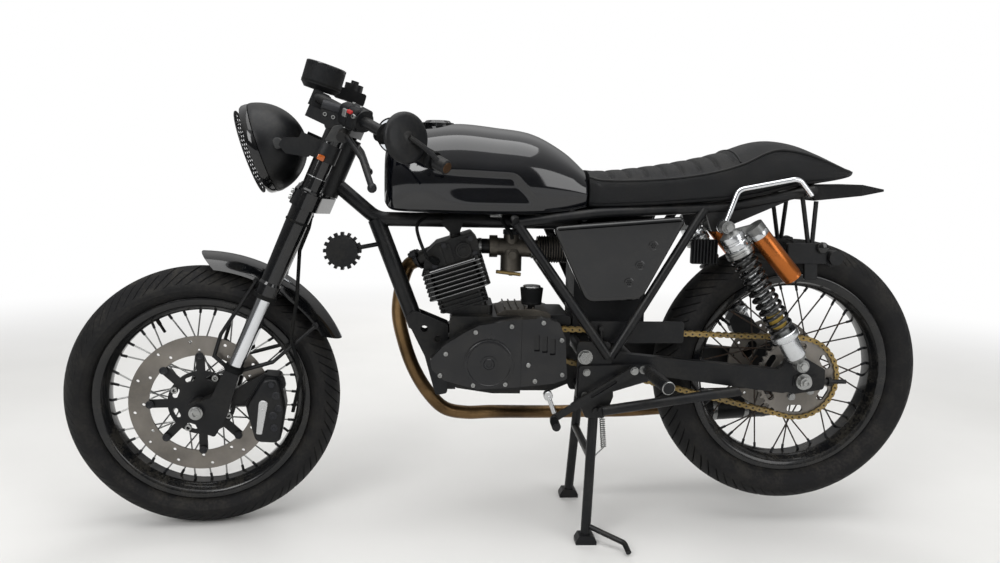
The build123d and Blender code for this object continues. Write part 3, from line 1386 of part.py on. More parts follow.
CHAIN_PIN_HALF = 5.5
CHAIN_WAIST_HALF = 3.4
CHAIN_PIN_SPREAD = 3.2
CHAIN_PLATE = 2.5
CHAIN_INNER = 5.5
ROLLER_RADIUS = 4.2
CHAIN_REACH = hypot(DRIVE_X, DRIVE_HEIGHT - REAR_AXLE_HEIGHT)
CHAIN_CLIMB = atan2(DRIVE_HEIGHT - REAR_AXLE_HEIGHT, DRIVE_X)
CHAIN_WRAP = asin((SPROCKET_PITCH_RADIUS - DRIVE_RADIUS) / CHAIN_REACH)
CHAIN_RUN = CHAIN_REACH * cos(CHAIN_WRAP)
DRIVE_ARC = DRIVE_RADIUS * (pi - 2 * CHAIN_WRAP)
REAR_ARC = SPROCKET_PITCH_RADIUS * (pi + 2 * CHAIN_WRAP)
CHAIN_LENGTH = 2 * CHAIN_RUN + DRIVE_ARC + REAR_ARC
CHAIN_LINKS = 2 * round(CHAIN_LENGTH / CHAIN_PITCH / 2)
LINK_SPACING = CHAIN_LENGTH / CHAIN_LINKS


def chain_point(distance, aside):
    """Place beside the chain's pitch line: distance along it from the rear end of the lower run."""
    along = distance % CHAIN_LENGTH
    lower_normal = CHAIN_CLIMB + CHAIN_WRAP - pi / 2
    upper_normal = CHAIN_CLIMB - CHAIN_WRAP + pi / 2
    rear = (0.0, REAR_AXLE_HEIGHT, SPROCKET_PITCH_RADIUS)
    drive = (DRIVE_X, DRIVE_HEIGHT, DRIVE_RADIUS)
    if along < CHAIN_RUN:
        centre, bearing, ahead = rear, lower_normal, along
    elif along < CHAIN_RUN + DRIVE_ARC:
        centre, bearing, ahead = drive, lower_normal + (along - CHAIN_RUN) / DRIVE_RADIUS, 0.0
    elif along < 2 * CHAIN_RUN + DRIVE_ARC:
        centre, bearing, ahead = drive, upper_normal, along - CHAIN_RUN - DRIVE_ARC
    else:
        turned_on = (along - 2 * CHAIN_RUN - DRIVE_ARC) / SPROCKET_PITCH_RADIUS
        centre, bearing, ahead = rear, upper_normal + turned_on, 0.0
    x, height, radius = centre
    reach = radius + aside
    return (
        x + reach * cos(bearing) - ahead * sin(bearing),
        height + reach * sin(bearing) + ahead * cos(bearing),
    )


def chain_edge(flank):
    """Waisted edge of the side plates, outside the loop for a flank of 1 and inside for -1."""
    edge = []
    for link in range(CHAIN_LINKS):
        for step, half in (
            (-CHAIN_PIN_SPREAD, CHAIN_PIN_HALF),
            (CHAIN_PIN_SPREAD, CHAIN_PIN_HALF),
            (LINK_SPACING / 2, CHAIN_WAIST_HALF),
        ):
            edge.append(chain_point(link * LINK_SPACING + step, flank * half))
    return edge


with BuildPart() as drive_chain:
    for face in (SPROCKET_Y + CHAIN_INNER + CHAIN_PLATE, SPROCKET_Y - CHAIN_INNER):
        with BuildSketch(side(face)):
            Polygon(*chain_edge(1), align=None)
            Polygon(*chain_edge(-1), align=None, mode=Mode.SUBTRACT)
        extrude(amount=CHAIN_PLATE)
    with BuildSketch(side(SPROCKET_Y + CHAIN_INNER)):
        for start in (0.0, CHAIN_RUN + DRIVE_ARC):
            first = ceil(start / LINK_SPACING) + 2
            last = floor((start + CHAIN_RUN) / LINK_SPACING) - 2
            for link in range(first, last + 1, 2):
                with Locations(chain_point(link * LINK_SPACING, 0)):
                    Circle(ROLLER_RADIUS)
    extrude(amount=2 * CHAIN_INNER)
drive_chain.part.label = "drive_chain"
export_step(drive_chain.part, "parts/drive_chain.step")

GUARD_POST_X = 455.0
GUARD_PANEL = (
    (480, PIVOT_HEIGHT + 78), (268, PIVOT_HEIGHT + 79), (268, PIVOT_HEIGHT + 31), (480, PIVOT_HEIGHT + 29),
)

with BuildPart() as chain_guard:
    add_plate(side(94), GUARD_PANEL, 3, 6)
    add_rod(at(GUARD_POST_X, 92, PIVOT_HEIGHT + 64), at(GUARD_POST_X, 108, PIVOT_HEIGHT + 64), 5)
    add_rod(at(GUARD_POST_X, 103, PIVOT_HEIGHT + 66), at(GUARD_POST_X, 103, PIVOT_HEIGHT + 15.8), 5)
chain_guard.part.label = "chain_guard"
export_step(chain_guard.part, "parts/chain_guard.step")


# Footrests with their plates, pedals and linkage

# Columns: start and end of each straight run of the lever, and its half width
LEVER_RUNS = (((389, 396), (516, 316), 9), ((516, 316), (560, 288), 7))

with BuildPart() as footrests:
    for hand in (1, -1):
        face = hand * 122.6 + (8 if hand > 0 else 0)
        add_plate(side(face), ((505, 400), (340, 405), (338, 372), (440, 340), (505, 320)), 8, 8)
        add_rod(at(358, hand * 129, 393), at(356, hand * 165, 392), 9)
        add_rod(at(356, hand * 160, 392.5), at(340, hand * 252, 384), 12.5)
footrests.part.label = "footrests"
export_step(footrests.part, "parts/footrests.step")

with BuildPart() as foot_controls:
    for hand in (1, -1):
        with BuildSketch(side(hand * 150 + 4)) as lever:
            for start, end, radius in LEVER_RUNS:
                with BuildSketch() as run:
                    with Locations(start, end):
                        Circle(radius)
                    make_hull()
            with BuildSketch(mode=Mode.SUBTRACT):
                with Locations((430, 371), (478, 340)):
                    Circle(4)
                make_hull()
        extrude(lever.sketch, amount=8)
        add_rod(at(560, hand * 150, 288), at(560, hand * 205, 286), 8)
        add_rod(at(389, hand * 130.9, 396), at(389, hand * 158, 396), 7)
foot_controls.part.label = "foot_controls"
export_step(foot_controls.part, "parts/foot_controls.step")

with BuildPart() as horn:
    add_rod(at(1020, 40, 634), at(1020, 66, 634), 34)
    with BuildSketch(Plane(origin=at(1020, 44, 634), x_dir=(1, 0, 0), z_dir=(0, 1, 0))) as horn_teeth:
        with PolarLocations(35, 16):
            Rectangle(12, 7)
    extrude(horn_teeth.sketch, amount=16)
    add_rod(at(948.3, 11.6, 646.1), at(1000, 44, 638), 5)
horn.part.label = "horn"
export_step(horn.part, "parts/horn.step")


# Centre stand, folding back about its pivot

STAND_LEG_RADIUS = 11.0
STAND_BORE = 7.0 + RUNNING_CLEARANCE

with BuildPart() as centre_stand:
    add_rod(
        at(STAND_PIVOT_X, -PLATE_INNER_Y + 0.5, STAND_PIVOT_HEIGHT),
        at(STAND_PIVOT_X, PLATE_INNER_Y - 0.5, STAND_PIVOT_HEIGHT),
        14,
    )
    add_rod(at(470, -108, 190), at(470, 108, 190), 9)
    for hand in (1, -1):
        start, end = at(STAND_PIVOT_X, hand * 98, STAND_PIVOT_HEIGHT), at(STAND_FOOT_X, hand * 130, 8)
        add_rod(start, end, STAND_LEG_RADIUS)
        face = hand * 132 + 16
        add_plate(side(face), ((455, 0), (501, 0), (501, 8), (494, 20), (462, 20), (455, 8)), 32)
    add_tube([at(473, 128, 36.5), at(400, 178, 19), at(396, 205, 10)], 6, 14)
    add_rod(
        at(STAND_PIVOT_X, -140, STAND_PIVOT_HEIGHT),
        at(STAND_PIVOT_X, 140, STAND_PIVOT_HEIGHT),
        STAND_BORE,
        Mode.SUBTRACT,
    )
centre_stand.part.label = "centre_stand"
export_step(centre_stand.part, "parts/centre_stand.step")
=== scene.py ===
"""Looks of a cafe racer motorcycle around its fixed frame.

Row frame in metres: origin at the rear spindle, +X forward, +Y to the machine's left, +Z up. The front end
is parked turned a little to the left, so its pieces are placed through the fork's own directions.
"""

import json
import logging
from collections.abc import Sequence
from dataclasses import dataclass, field
from enum import Enum
from math import asin, atan2, cos, pi, radians, sin, sqrt

import bmesh
import bpy
import numpy as np
from mathutils import Matrix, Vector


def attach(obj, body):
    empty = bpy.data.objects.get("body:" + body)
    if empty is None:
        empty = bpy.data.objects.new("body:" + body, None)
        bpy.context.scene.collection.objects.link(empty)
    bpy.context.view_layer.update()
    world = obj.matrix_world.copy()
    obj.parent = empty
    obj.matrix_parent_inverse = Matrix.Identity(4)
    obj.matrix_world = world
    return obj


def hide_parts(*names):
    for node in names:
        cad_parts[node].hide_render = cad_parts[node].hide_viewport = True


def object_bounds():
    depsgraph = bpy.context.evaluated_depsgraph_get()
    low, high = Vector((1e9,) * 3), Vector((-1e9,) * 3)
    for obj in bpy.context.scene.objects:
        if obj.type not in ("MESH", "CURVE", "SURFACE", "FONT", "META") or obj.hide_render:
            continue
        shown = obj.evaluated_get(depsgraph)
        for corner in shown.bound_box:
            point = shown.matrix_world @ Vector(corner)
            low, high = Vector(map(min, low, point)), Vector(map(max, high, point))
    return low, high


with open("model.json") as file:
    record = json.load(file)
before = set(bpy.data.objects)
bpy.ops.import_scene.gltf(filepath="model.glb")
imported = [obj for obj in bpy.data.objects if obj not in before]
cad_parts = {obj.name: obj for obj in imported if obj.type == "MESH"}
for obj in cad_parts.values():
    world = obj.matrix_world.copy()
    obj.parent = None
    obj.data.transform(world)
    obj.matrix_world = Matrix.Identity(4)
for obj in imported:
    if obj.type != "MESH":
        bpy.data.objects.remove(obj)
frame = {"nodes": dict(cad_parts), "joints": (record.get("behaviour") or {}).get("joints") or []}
CAD_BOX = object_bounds()

log = logging.getLogger("cafe_racer")
Array = np.ndarray
Pair = tuple[float, float]
Point = tuple[float, float, float]
Pairs = tuple[Pair, ...]
Route = tuple[Point, ...]
Colour = tuple[float, float, float]


# Directions and places


def unit(vector: Sequence[float] | Array) -> Array:
    """The vector over its own length.

    Args:
        vector: One vector, or an array of them along its last side.

    Returns:
        The same directions, each of length one.
    """
    vector = np.asarray(vector, float)
    return vector / np.linalg.norm(vector, axis=-1, keepdims=True)


@dataclass(frozen=True)
class Place:
    """An origin with three square directions: right, up and out."""

    origin: Array
    right: Array
    up: Array
    out: Array

    @classmethod
    def facing(cls, origin: Sequence[float], out: Sequence[float], up: Sequence[float] = (0, 0, 1)) -> "Place":
        """A place whose third direction is given; right is up crossed with out.

        Args:
            origin: The place's own origin in the row frame.
            out: The direction that it faces.
            up: A direction that its second direction leans to.

        Returns:
            The place with square directions.
        """
        out = unit(out)
        right = unit(np.cross(up, out))
        return cls(np.asarray(origin, float), right, np.cross(out, right), out)

    def row(self, points: Array) -> Array:
        """Row-frame points: the origin plus each direction times its coordinate."""
        return self.origin + np.asarray(points, float) @ np.stack((self.right, self.up, self.out))

    def shifted(self, right: float = 0.0, up: float = 0.0, out: float = 0.0) -> "Place":
        """The same directions from an origin moved along them."""
        return Place(self.row(np.array([right, up, out])), self.right, self.up, self.out)

    def twisted(self, angle: float) -> "Place":
        """The place turned about its third direction: right and up mix by the angle's sine and cosine."""
        right = cos(angle) * self.right + sin(angle) * self.up
        return Place(self.origin, right, np.cross(self.out, right), self.out)

    def around(self, count: int, reach: float, out: float = 0.0, start: float = 0.0) -> list["Place"]:
        """Places in even steps round this one's third direction, each with its right pointing outward."""
        turns = start + np.arange(count) * 2 * pi / count
        return [self.twisted(turn).shifted(right=reach, out=out) for turn in turns]

    @property
    def matrix(self) -> Matrix:
        """The place as a matrix: its directions and its origin side by side."""
        columns = np.eye(4)
        columns[:3] = np.column_stack((self.right, self.up, self.out, self.origin))
        return Matrix(columns.tolist())


def between(start: Sequence[float], end: Sequence[float], up: Sequence[float] = (0, 0, 1)) -> tuple[Place, float]:
    """A place at the start that faces the end, and the distance between the two."""
    way = np.asarray(end, float) - np.asarray(start, float)
    return Place.facing(start, way, up), float(np.linalg.norm(way))


class Body(Enum):
    """The bodies of the frame that pieces ride on."""

    CHASSIS = "chassis"
    STEERING = "steering"
    FRONT_WHEEL = "front_wheel"
    REAR_WHEEL = "rear_wheel"
    STAND = "stand"


@dataclass(frozen=True)
class Machine:
    """Axles, fork and floor, read from the frame's joints and box."""

    rake: float = radians(23.35)
    parked_turn: float = radians(6.5)
    clamp_offset: float = 0.030
    fork_half: float = 0.095

    @property
    def floor(self) -> float:
        """Height of the floor in the row frame."""
        return float(CAD_BOX[0][2])

    @property
    def joints(self) -> dict[str, dict]:
        """The frame's joints by name."""
        return {joint["name"]: joint for joint in frame["joints"]}

    @property
    def straight(self) -> Array:
        """Square to the stem and straight ahead."""
        return np.array([cos(self.rake), 0, sin(self.rake)])

    @property
    def steering(self) -> Place:
        """The steering axis: out is up the stem, right is ahead, up is to the left."""
        joint = self.joints["steering"]
        left = np.array([0.0, 1.0, 0.0])
        ahead = cos(self.parked_turn) * self.straight + sin(self.parked_turn) * left
        beside = cos(self.parked_turn) * left - sin(self.parked_turn) * self.straight
        return Place(np.asarray(joint["pos_m"], float), ahead, beside, unit(joint["axis"]))

    @property
    def forward(self) -> Array:
        """The front end's own level direction: the rake's share of what is ahead of and along the stem."""
        return cos(self.rake) * self.steering.right - sin(self.rake) * self.steering.out

    @property
    def upward(self) -> Array:
        """The front end's own upright direction, square to its level one."""
        return sin(self.rake) * self.steering.right + cos(self.rake) * self.steering.out

    @property
    def front_axle(self) -> Place:
        """The front wheel: out is along its axle to the left, up is up the fork."""
        joint = self.joints["front_wheel_spin"]
        return Place.facing(joint["pos_m"], joint["axis"], self.steering.out)

    @property
    def rear_axle(self) -> Place:
        """The rear wheel: out is along its axle to the left."""
        return Place.facing((0, 0, 0), (0, 1, 0))

    def at(self, x: float, y: float, height: float) -> Array:
        """Chassis point from x, y and its height above the floor."""
        return np.array([x, y, self.floor + height])

    def fork(self, ahead: float, left: float, along: float) -> Array:
        """Point of the front end from its place ahead of, beside and along the steering axis."""
        return self.steering.row(np.array([ahead, left, along]))

    def parked(self, x: float, y: float, height: float) -> Array:
        """A point of the front end given straight ahead, swung to the parked angle.

        Its parts ahead of, beside and along the steering axis are measured straight ahead, and carried
        over to the parked directions.
        """
        offset = self.at(x, y, height) - self.steering.origin
        return self.fork(float(offset @ self.straight), float(offset[1]), float(offset @ self.steering.out))

    def plane(self, left: float) -> Place:
        """Straight-ahead side plane of the front end at a place to the left, swung to the parked angle."""
        steering = self.steering
        return Place(steering.row(np.array([0, left, 0])), self.forward, self.upward, steering.up)

    def face(self, x: float, height: float) -> Pair:
        """Straight-ahead x and height as a place in that plane."""
        origin = self.steering.origin
        return float(x - origin[0]), float(height + self.floor - origin[2])

    def side(self, y: float, hand: int) -> Place:
        """Upright plane at y that faces left (hand 1) or right (-1); right is forward, up is height."""
        return Place(self.at(0, y, 0), np.array([1.0, 0, 0]), np.array([0, 0, 1.0]), np.array([0, float(hand), 0]))

    def spot(self, x: float, y: float, height: float, hand: int) -> Place:
        """A place at y on one hand that faces away from the machine."""
        return Place.facing(self.at(x, hand * y, height), (0, hand, 0))


# Surfaces as whole arrays

# Radius at which a turned outline ends beside its axis
TIP = 0.0001


@dataclass
class Shape:
    """A surface: its points and its faces, grouped by their number of corners."""

    points: Array
    faces: list[Array] = field(default_factory=list)

    @staticmethod
    def joined(shapes: Sequence["Shape"]) -> "Shape":
        """One shape of several: their points in a row, their faces counted on."""
        points: list[Array] = []
        faces: list[Array] = []
        start = 0
        for shape in shapes:
            points.append(shape.points)
            faces.extend(group + start for group in shape.faces)
            start += len(shape.points)
        return Shape(np.concatenate(points), faces)

    def placed(self, place: Place) -> "Shape":
        """The shape carried from a place's own coordinates to the row frame."""
        return Shape(place.row(self.points), self.faces)


def grid(points: Array, rows_close: bool = False, columns_close: bool = True, caps: bool = True) -> Shape:
    """Quads between neighbours of a grid of points.

    Args:
        points: Array of rows by columns by three.
        rows_close: Whether the last row joins the first.
        columns_close: Whether each row's last point joins its first.
        caps: Whether open end rows are closed by one polygon each.

    Returns:
        The surface over the grid.
    """
    rows, columns = points.shape[:2]
    across, along = np.meshgrid(
        np.arange(rows if rows_close else rows - 1),
        np.arange(columns if columns_close else columns - 1),
        indexing="ij",
    )
    after_row, after_column = (across + 1) % rows, (along + 1) % columns
    quads = np.stack(
        (
            across * columns + along,
            across * columns + after_column,
            after_row * columns + after_column,
            after_row * columns + along,
        ),
        axis=-1,
    ).reshape(-1, 4)
    faces = [quads]
    if caps and not rows_close and columns_close:
        faces.append(np.arange(columns)[::-1][None, :])
        faces.append(np.arange(columns)[None, :] + (rows - 1) * columns)
    return Shape(points.reshape(-1, 3), faces)


def curve_through(points: Sequence[Sequence[float]], steps: int = 8, closed: bool = False) -> Array:
    """A smooth curve through points: between two of them a cubic whose slope at each is half the step
    between that point's neighbours.

    Args:
        points: The points that the curve passes, in any number of coordinates.
        steps: How many points each stretch gets.
        closed: Whether the curve runs back to its start.

    Returns:
        The curve's points in order.
    """
    knots = np.asarray(points, float)
    if closed:
        padded = np.concatenate((knots[-1:], knots, knots[:2]))
    else:
        padded = np.concatenate((2 * knots[:1] - knots[1:2], knots, 2 * knots[-1:] - knots[-2:-1]))
    before, start, end, after = padded[:-3], padded[1:-2], padded[2:-1], padded[3:]
    share = np.linspace(0, 1, steps, endpoint=False)[None, :, None]
    before, start, end, after = (knot[:, None, :] for knot in (before, start, end, after))
    leave, arrive = (end - before) / 2, (after - start) / 2
    curve = (
        start
        + leave * share
        + (3 * (end - start) - 2 * leave - arrive) * share**2
        + (2 * (start - end) + leave + arrive) * share**3
    ).reshape(-1, knots.shape[1])
    return curve if closed else np.concatenate((curve, knots[-1:]))


def tube(path: Array, radius: float | Array, sides: int = 12, beside: Sequence[float] | None = None) -> Shape:
    """A round bar: at each point of the path a circle square to it, radius times cosine and sine.

    Args:
        path: The points that its centre follows.
        radius: One radius, or one for each point.
        sides: How many sides the circle gets.
        beside: A direction that the path is never parallel to; otherwise the one of its least spread.

    Returns:
        The bar with both ends closed.
    """
    path = np.asarray(path, float)
    heading = unit(np.gradient(path, axis=0))
    if beside is None:
        spread = path - path.mean(0)
        _, _, axes = np.linalg.svd(spread, full_matrices=True)
        beside = axes[-1]
    first = unit(np.cross(heading, np.asarray(beside, float)))
    second = np.cross(heading, first)
    turn = np.linspace(0, 2 * pi, sides, endpoint=False)
    circle = np.cos(turn)[None, :, None] * first[:, None, :] + np.sin(turn)[None, :, None] * second[:, None, :]
    width = np.broadcast_to(np.asarray(radius, float), len(path))[:, None, None]
    return grid(path[:, None, :] + width * circle)


def rod(start: Sequence[float], end: Sequence[float], radius: float, sides: int = 20, chamfer: float = 0.0) -> Shape:
    """A straight round bar between two points, its ends chamfered."""
    ends = np.array([start, end], float)
    aside = (0, 0, 1) if abs(unit(ends[1] - ends[0])[2]) < 0.9 else (1, 0, 0)
    if not chamfer:
        return tube(ends, radius, sides, aside)
    place, length = between(start, end, aside)
    profile = ((radius - chamfer, 0), (radius, chamfer), (radius, length - chamfer), (radius - chamfer, length))
    return spun(profile, place, sides)


def spun(profile: Sequence[Sequence[float]] | Array, place: Place, sides: int = 64, closed: bool = False) -> Shape:
    """A turned body: each profile point (distance from the axis, place along it) carried round the
    place's third direction.

    Args:
        profile: Points of the outline.
        place: Where the axis stands.
        sides: How many steps the round gets.
        closed: Whether the outline is a ring of its own, as a tyre's is.

    Returns:
        The turned surface, closed at the ends.
    """
    profile = np.asarray(profile, float)
    turn = np.linspace(0, 2 * pi, sides, endpoint=False)
    points = np.stack(
        (
            profile[:, 0, None] * np.cos(turn),
            profile[:, 0, None] * np.sin(turn),
            np.broadcast_to(profile[:, 1, None], (len(profile), sides)),
        ),
        axis=-1,
    )
    return grid(points, rows_close=closed, caps=not closed).placed(place)


def rounded(outline: Sequence[Sequence[float]], radius: float | Sequence[float], steps: int = 5) -> Array:
    """An outline with its corners rounded by a curve drawn between points one radius before and after
    each: the corner's pull is squared away towards both ends.

    Args:
        outline: Corners of a closed outline.
        radius: One radius, or one for each corner.
        steps: Points along each rounding.

    Returns:
        The outline's points in order.
    """
    corners = np.asarray(outline, float)
    before, after = np.roll(corners, 1, axis=0) - corners, np.roll(corners, -1, axis=0) - corners
    reach = np.broadcast_to(np.asarray(radius, float), len(corners))
    enter = (corners + unit(before) * np.minimum(reach, np.linalg.norm(before, axis=1) * 0.49)[:, None])[:, None]
    leave = (corners + unit(after) * np.minimum(reach, np.linalg.norm(after, axis=1) * 0.49)[:, None])[:, None]
    share = np.linspace(0, 1, steps)[None, :, None]
    curve = (1 - share) ** 2 * enter + 2 * share * (1 - share) * corners[:, None] + share**2 * leave
    return curve.reshape(-1, corners.shape[1])


def rectangle(left: float, low: float, right: float, high: float) -> Array:
    """Corners of an upright rectangle."""
    return np.array(((left, low), (right, low), (right, high), (left, high)))


def plate(outline: Sequence[Sequence[float]] | Array, place: Place, low: float, high: float) -> Shape:
    """A flat plate: the outline at two levels of the place's third direction, with walls between."""
    flat = np.asarray(outline, float)
    levels = np.array([low, high])[:, None]
    points = np.stack(
        (
            np.broadcast_to(flat[:, 0], (2, len(flat))),
            np.broadcast_to(flat[:, 1], (2, len(flat))),
            np.broadcast_to(levels, (2, len(flat))),
        ),
        axis=-1,
    )
    return grid(points).placed(place)


def domed(outline: Array, place: Place, levels: Sequence[Pair]) -> Shape:
    """A plate with a shaped rim: the outline drawn in towards its middle by an inset at each level.

    Args:
        outline: The outline's points.
        place: Its plane.
        levels: Pairs of inset and level, from the foot of the wall to the face.

    Returns:
        The plate, closed at both ends.
    """
    flat = np.asarray(outline, float)
    ahead = unit(np.roll(flat, -1, axis=0) - np.roll(flat, 1, axis=0))
    area = np.sum(flat[:, 0] * np.roll(flat[:, 1], -1) - np.roll(flat[:, 0], -1) * flat[:, 1])
    inward = np.stack((-ahead[:, 1], ahead[:, 0]), axis=-1) * (1 if area > 0 else -1)
    rows = [np.column_stack((flat + inward * inset, np.full(len(flat), level))) for inset, level in levels]
    return grid(np.stack(rows)).placed(place)


def hexagon(across_flats: float) -> Array:
    """Six corners of a nut: its half width over the cosine of thirty degrees, every sixty degrees."""
    turn = np.linspace(0, 2 * pi, 6, endpoint=False)
    return np.column_stack((np.cos(turn), np.sin(turn))) * across_flats / 2 / cos(pi / 6)


def hex_bolt(place: Place, across_flats: float, height: float) -> Shape:
    """A bolt head on a washer, standing on a place and facing its third direction."""
    washer = spun(((across_flats * 0.68, 0), (across_flats * 0.68, height * 0.2)), place, 20)
    head = plate(hexagon(across_flats), place, height * 0.2, height)
    return Shape.joined((washer, head))


def socket_screw(place: Place, radius: float, height: float) -> Shape:
    """A round screw head with a sunk hexagon socket: a turned cup whose floor is below its rim."""
    profile = (
        (radius, 0),
        (radius, height * 0.8),
        (radius * 0.88, height),
        (radius * 0.52, height),
        (radius * 0.5, height * 0.1),
        (TIP, height * 0.08),
    )
    return spun(profile, place, 18)


# Finishes


def from_hex(code: str) -> Colour:
    """Linear colour of a hexadecimal display colour: each channel by the display's standard curve."""
    channels = (int(code[i : i + 2], 16) / 255 for i in (1, 3, 5))
    return tuple(c / 12.92 if c <= 0.04045 else ((c + 0.055) / 1.055) ** 2.4 for c in channels)


class Signal:
    """What flows out of a node. Arithmetic on it adds Math nodes."""

    def __init__(self, tree: "Tree", socket: bpy.types.NodeSocket) -> None:
        """Keeps the tree and the socket that the signal comes from."""
        self.tree = tree
        self.socket = socket

    def output(self, name: str) -> "Signal":
        """Another output of the same node."""
        return Signal(self.tree, self.socket.node.outputs[name])

    def combined(self, operation: str, first: "Signal | float", second: "Signal | float") -> "Signal":
        """One Math node of two values."""
        return self.tree.node("ShaderNodeMath", {"operation": operation}, {0: first, 1: second})

    def __add__(self, other: "Signal | float") -> "Signal":
        """Their sum."""
        return self.combined("ADD", self, other)

    def __sub__(self, other: "Signal | float") -> "Signal":
        """This less the other."""
        return self.combined("SUBTRACT", self, other)

    def __rsub__(self, other: float) -> "Signal":
        """The other less this."""
        return self.combined("SUBTRACT", other, self)

    def __mul__(self, other: "Signal | float") -> "Signal":
        """Their product."""
        return self.combined("MULTIPLY", self, other)

    def ramp(self, low: float, high: float, start: float = 0.0, end: float = 1.0) -> "Signal":
        """A smooth climb from start to end while this goes from low to high."""
        sockets = {"Value": self, "From Min": low, "From Max": high, "To Min": start, "To Max": end}
        return self.tree.node("ShaderNodeMapRange", {"interpolation_type": "SMOOTHSTEP"}, sockets)


class Tree:
    """The nodes of a material or of the world."""

    def __init__(self, owner: bpy.types.Material | bpy.types.World) -> None:
        """Empties the owner's nodes."""
        self.owner = owner
        owner.use_nodes = True
        self.tree = owner.node_tree
        self.tree.nodes.clear()

    def node(
        self,
        kind: str,
        settings: dict[str, object] | None = None,
        sockets: "dict[str | int, Signal | float | Colour] | None" = None,
        output: int = 0,
    ) -> Signal:
        """Adds any node: its settings first, then its sockets' values or links.

        Args:
            kind: Blender's name for the node's type.
            settings: Its properties by name.
            sockets: Its inputs by name or number.
            output: The output that flows on.

        Returns:
            The signal from that output.
        """
        added = self.tree.nodes.new(kind)
        for name, value in (settings or {}).items():
            setattr(added, name, value)
        for name, value in (sockets or {}).items():
            if isinstance(value, Signal):
                self.tree.links.new(value.socket, added.inputs[name])
            elif isinstance(value, tuple) and len(added.inputs[name].default_value) == 4:
                added.inputs[name].default_value = (*value, 1)
            else:
                added.inputs[name].default_value = value
        socket = added.outputs[output] if len(added.outputs) else None
        return Signal(self, socket)

    def place(self) -> Signal:
        """Object coordinates."""
        return self.node("ShaderNodeTexCoord", output=3)

    def noise(self, scale: float, detail: float = 4.0, stretch: Point | None = None) -> Signal:
        """Cloudy noise from 0 to 1 over the object, perhaps stretched along an axis."""
        where = self.place()
        if stretch:
            where = self.node("ShaderNodeVectorMath", {"operation": "MULTIPLY"}, {0: where, 1: stretch})
        return self.node("ShaderNodeTexNoise", None, {"Vector": where, "Scale": scale, "Detail": detail})

    def cells(self, scale: float, feature: str = "F1") -> Signal:
        """Distance to the nearest of scattered points, or to the border between their cells."""
        return self.node("ShaderNodeTexVoronoi", {"feature": feature}, {"Vector": self.place(), "Scale": scale})

    def mix(self, share: Signal | float, first: Signal | Colour, second: Signal | Colour) -> Signal:
        """A colour between two others."""
        return self.node("ShaderNodeMix", {"data_type": "RGBA"}, {0: share, 6: first, 7: second}, output=2)

    def facing_up(self) -> Signal:
        """How far the surface faces the sky, from -1 to 1."""
        normal = self.node("ShaderNodeNewGeometry", output=1)
        return self.node("ShaderNodeSeparateXYZ", None, {0: normal}, output=2)

    def bump(self, height: Signal, depth: float) -> Signal:
        """A bumped normal from a height between 0 and 1 that stands for a depth in metres."""
        return self.node("ShaderNodeBump", None, {"Height": height, "Distance": depth, "Strength": 1.0})

    def close(self, shader: Signal) -> bpy.types.Material:
        """Ends the tree at its surface."""
        self.node("ShaderNodeOutputMaterial", None, {"Surface": shader})
        return self.owner


class Grain(Enum):
    """The small relief of a surface."""

    SMOOTH = "smooth"
    CAST = "cast"
    BRUSHED = "brushed"
    HIDE = "hide"
    MOULDED = "moulded"


DUST = from_hex("#8f8879")


@dataclass(frozen=True)
class Coating:
    """A paint, metal, plastic, rubber or leather with its grain, blotches and dust."""

    slot: str
    colour: Colour
    roughness: float
    metallic: float = 0.0
    coat: float = 0.0
    grain: Grain = Grain.SMOOTH
    grain_scale: float = 900.0
    depth: float = 0.00015
    blotch: float = 0.25
    stain: Colour = DUST
    dust: float = 0.06
    specular: float = 0.24

    def relief(self, tree: Tree) -> Signal | None:
        """The grain's height, from 0 to 1."""
        if self.grain is Grain.CAST:
            return tree.noise(self.grain_scale, 5)
        if self.grain is Grain.BRUSHED:
            return tree.noise(self.grain_scale, 3, (0.08, 1, 1))
        if self.grain is Grain.HIDE:
            creases = tree.cells(self.grain_scale, "DISTANCE_TO_EDGE").ramp(0, 0.12)
            return creases * 0.75 + tree.noise(self.grain_scale / 3, 4) * 0.25
        if self.grain is Grain.MOULDED:
            return tree.cells(self.grain_scale).ramp(0, 0.7)
        return None

    def build(self, name: str) -> bpy.types.Material:
        """Blotched colour, dust that gathers on what faces up and in patches, and the grain as bump.

        Args:
            name: The material's name.

        Returns:
            The material.
        """
        tree = Tree(bpy.data.materials.new(name))
        cloud = tree.noise(9, 6)
        speck = tree.noise(160, 3)
        dark = tuple(c * (1 - self.blotch) for c in self.colour)
        light = tuple(c * (1 + self.blotch) for c in self.colour)
        colour = tree.mix(cloud.ramp(0.3, 0.7), dark, light)
        patch = (tree.noise(22, 7) * 0.6 + speck * 0.4).ramp(0.42, 0.66)
        upward = tree.facing_up().ramp(-0.2, 1.0, 0.35, 1.0)
        dust = patch * upward * self.dust
        colour = tree.mix(dust, colour, self.stain)
        roughness = cloud.ramp(0.25, 0.75, self.roughness * 0.85, self.roughness * 1.15) + dust * 0.35
        sockets: dict[str | int, Signal | float | Colour] = {
            "Base Color": colour,
            "Roughness": roughness,
            "Metallic": self.metallic,
            "Coat Weight": self.coat,
            "Coat Roughness": 0.06,
            "Specular IOR Level": 0.5 if self.metallic > 0.5 else self.specular,
        }
        relief = self.relief(tree)
        if relief is not None:
            sockets["Normal"] = tree.bump(relief, self.depth)
        return tree.close(tree.node("ShaderNodeBsdfPrincipled", None, sockets))


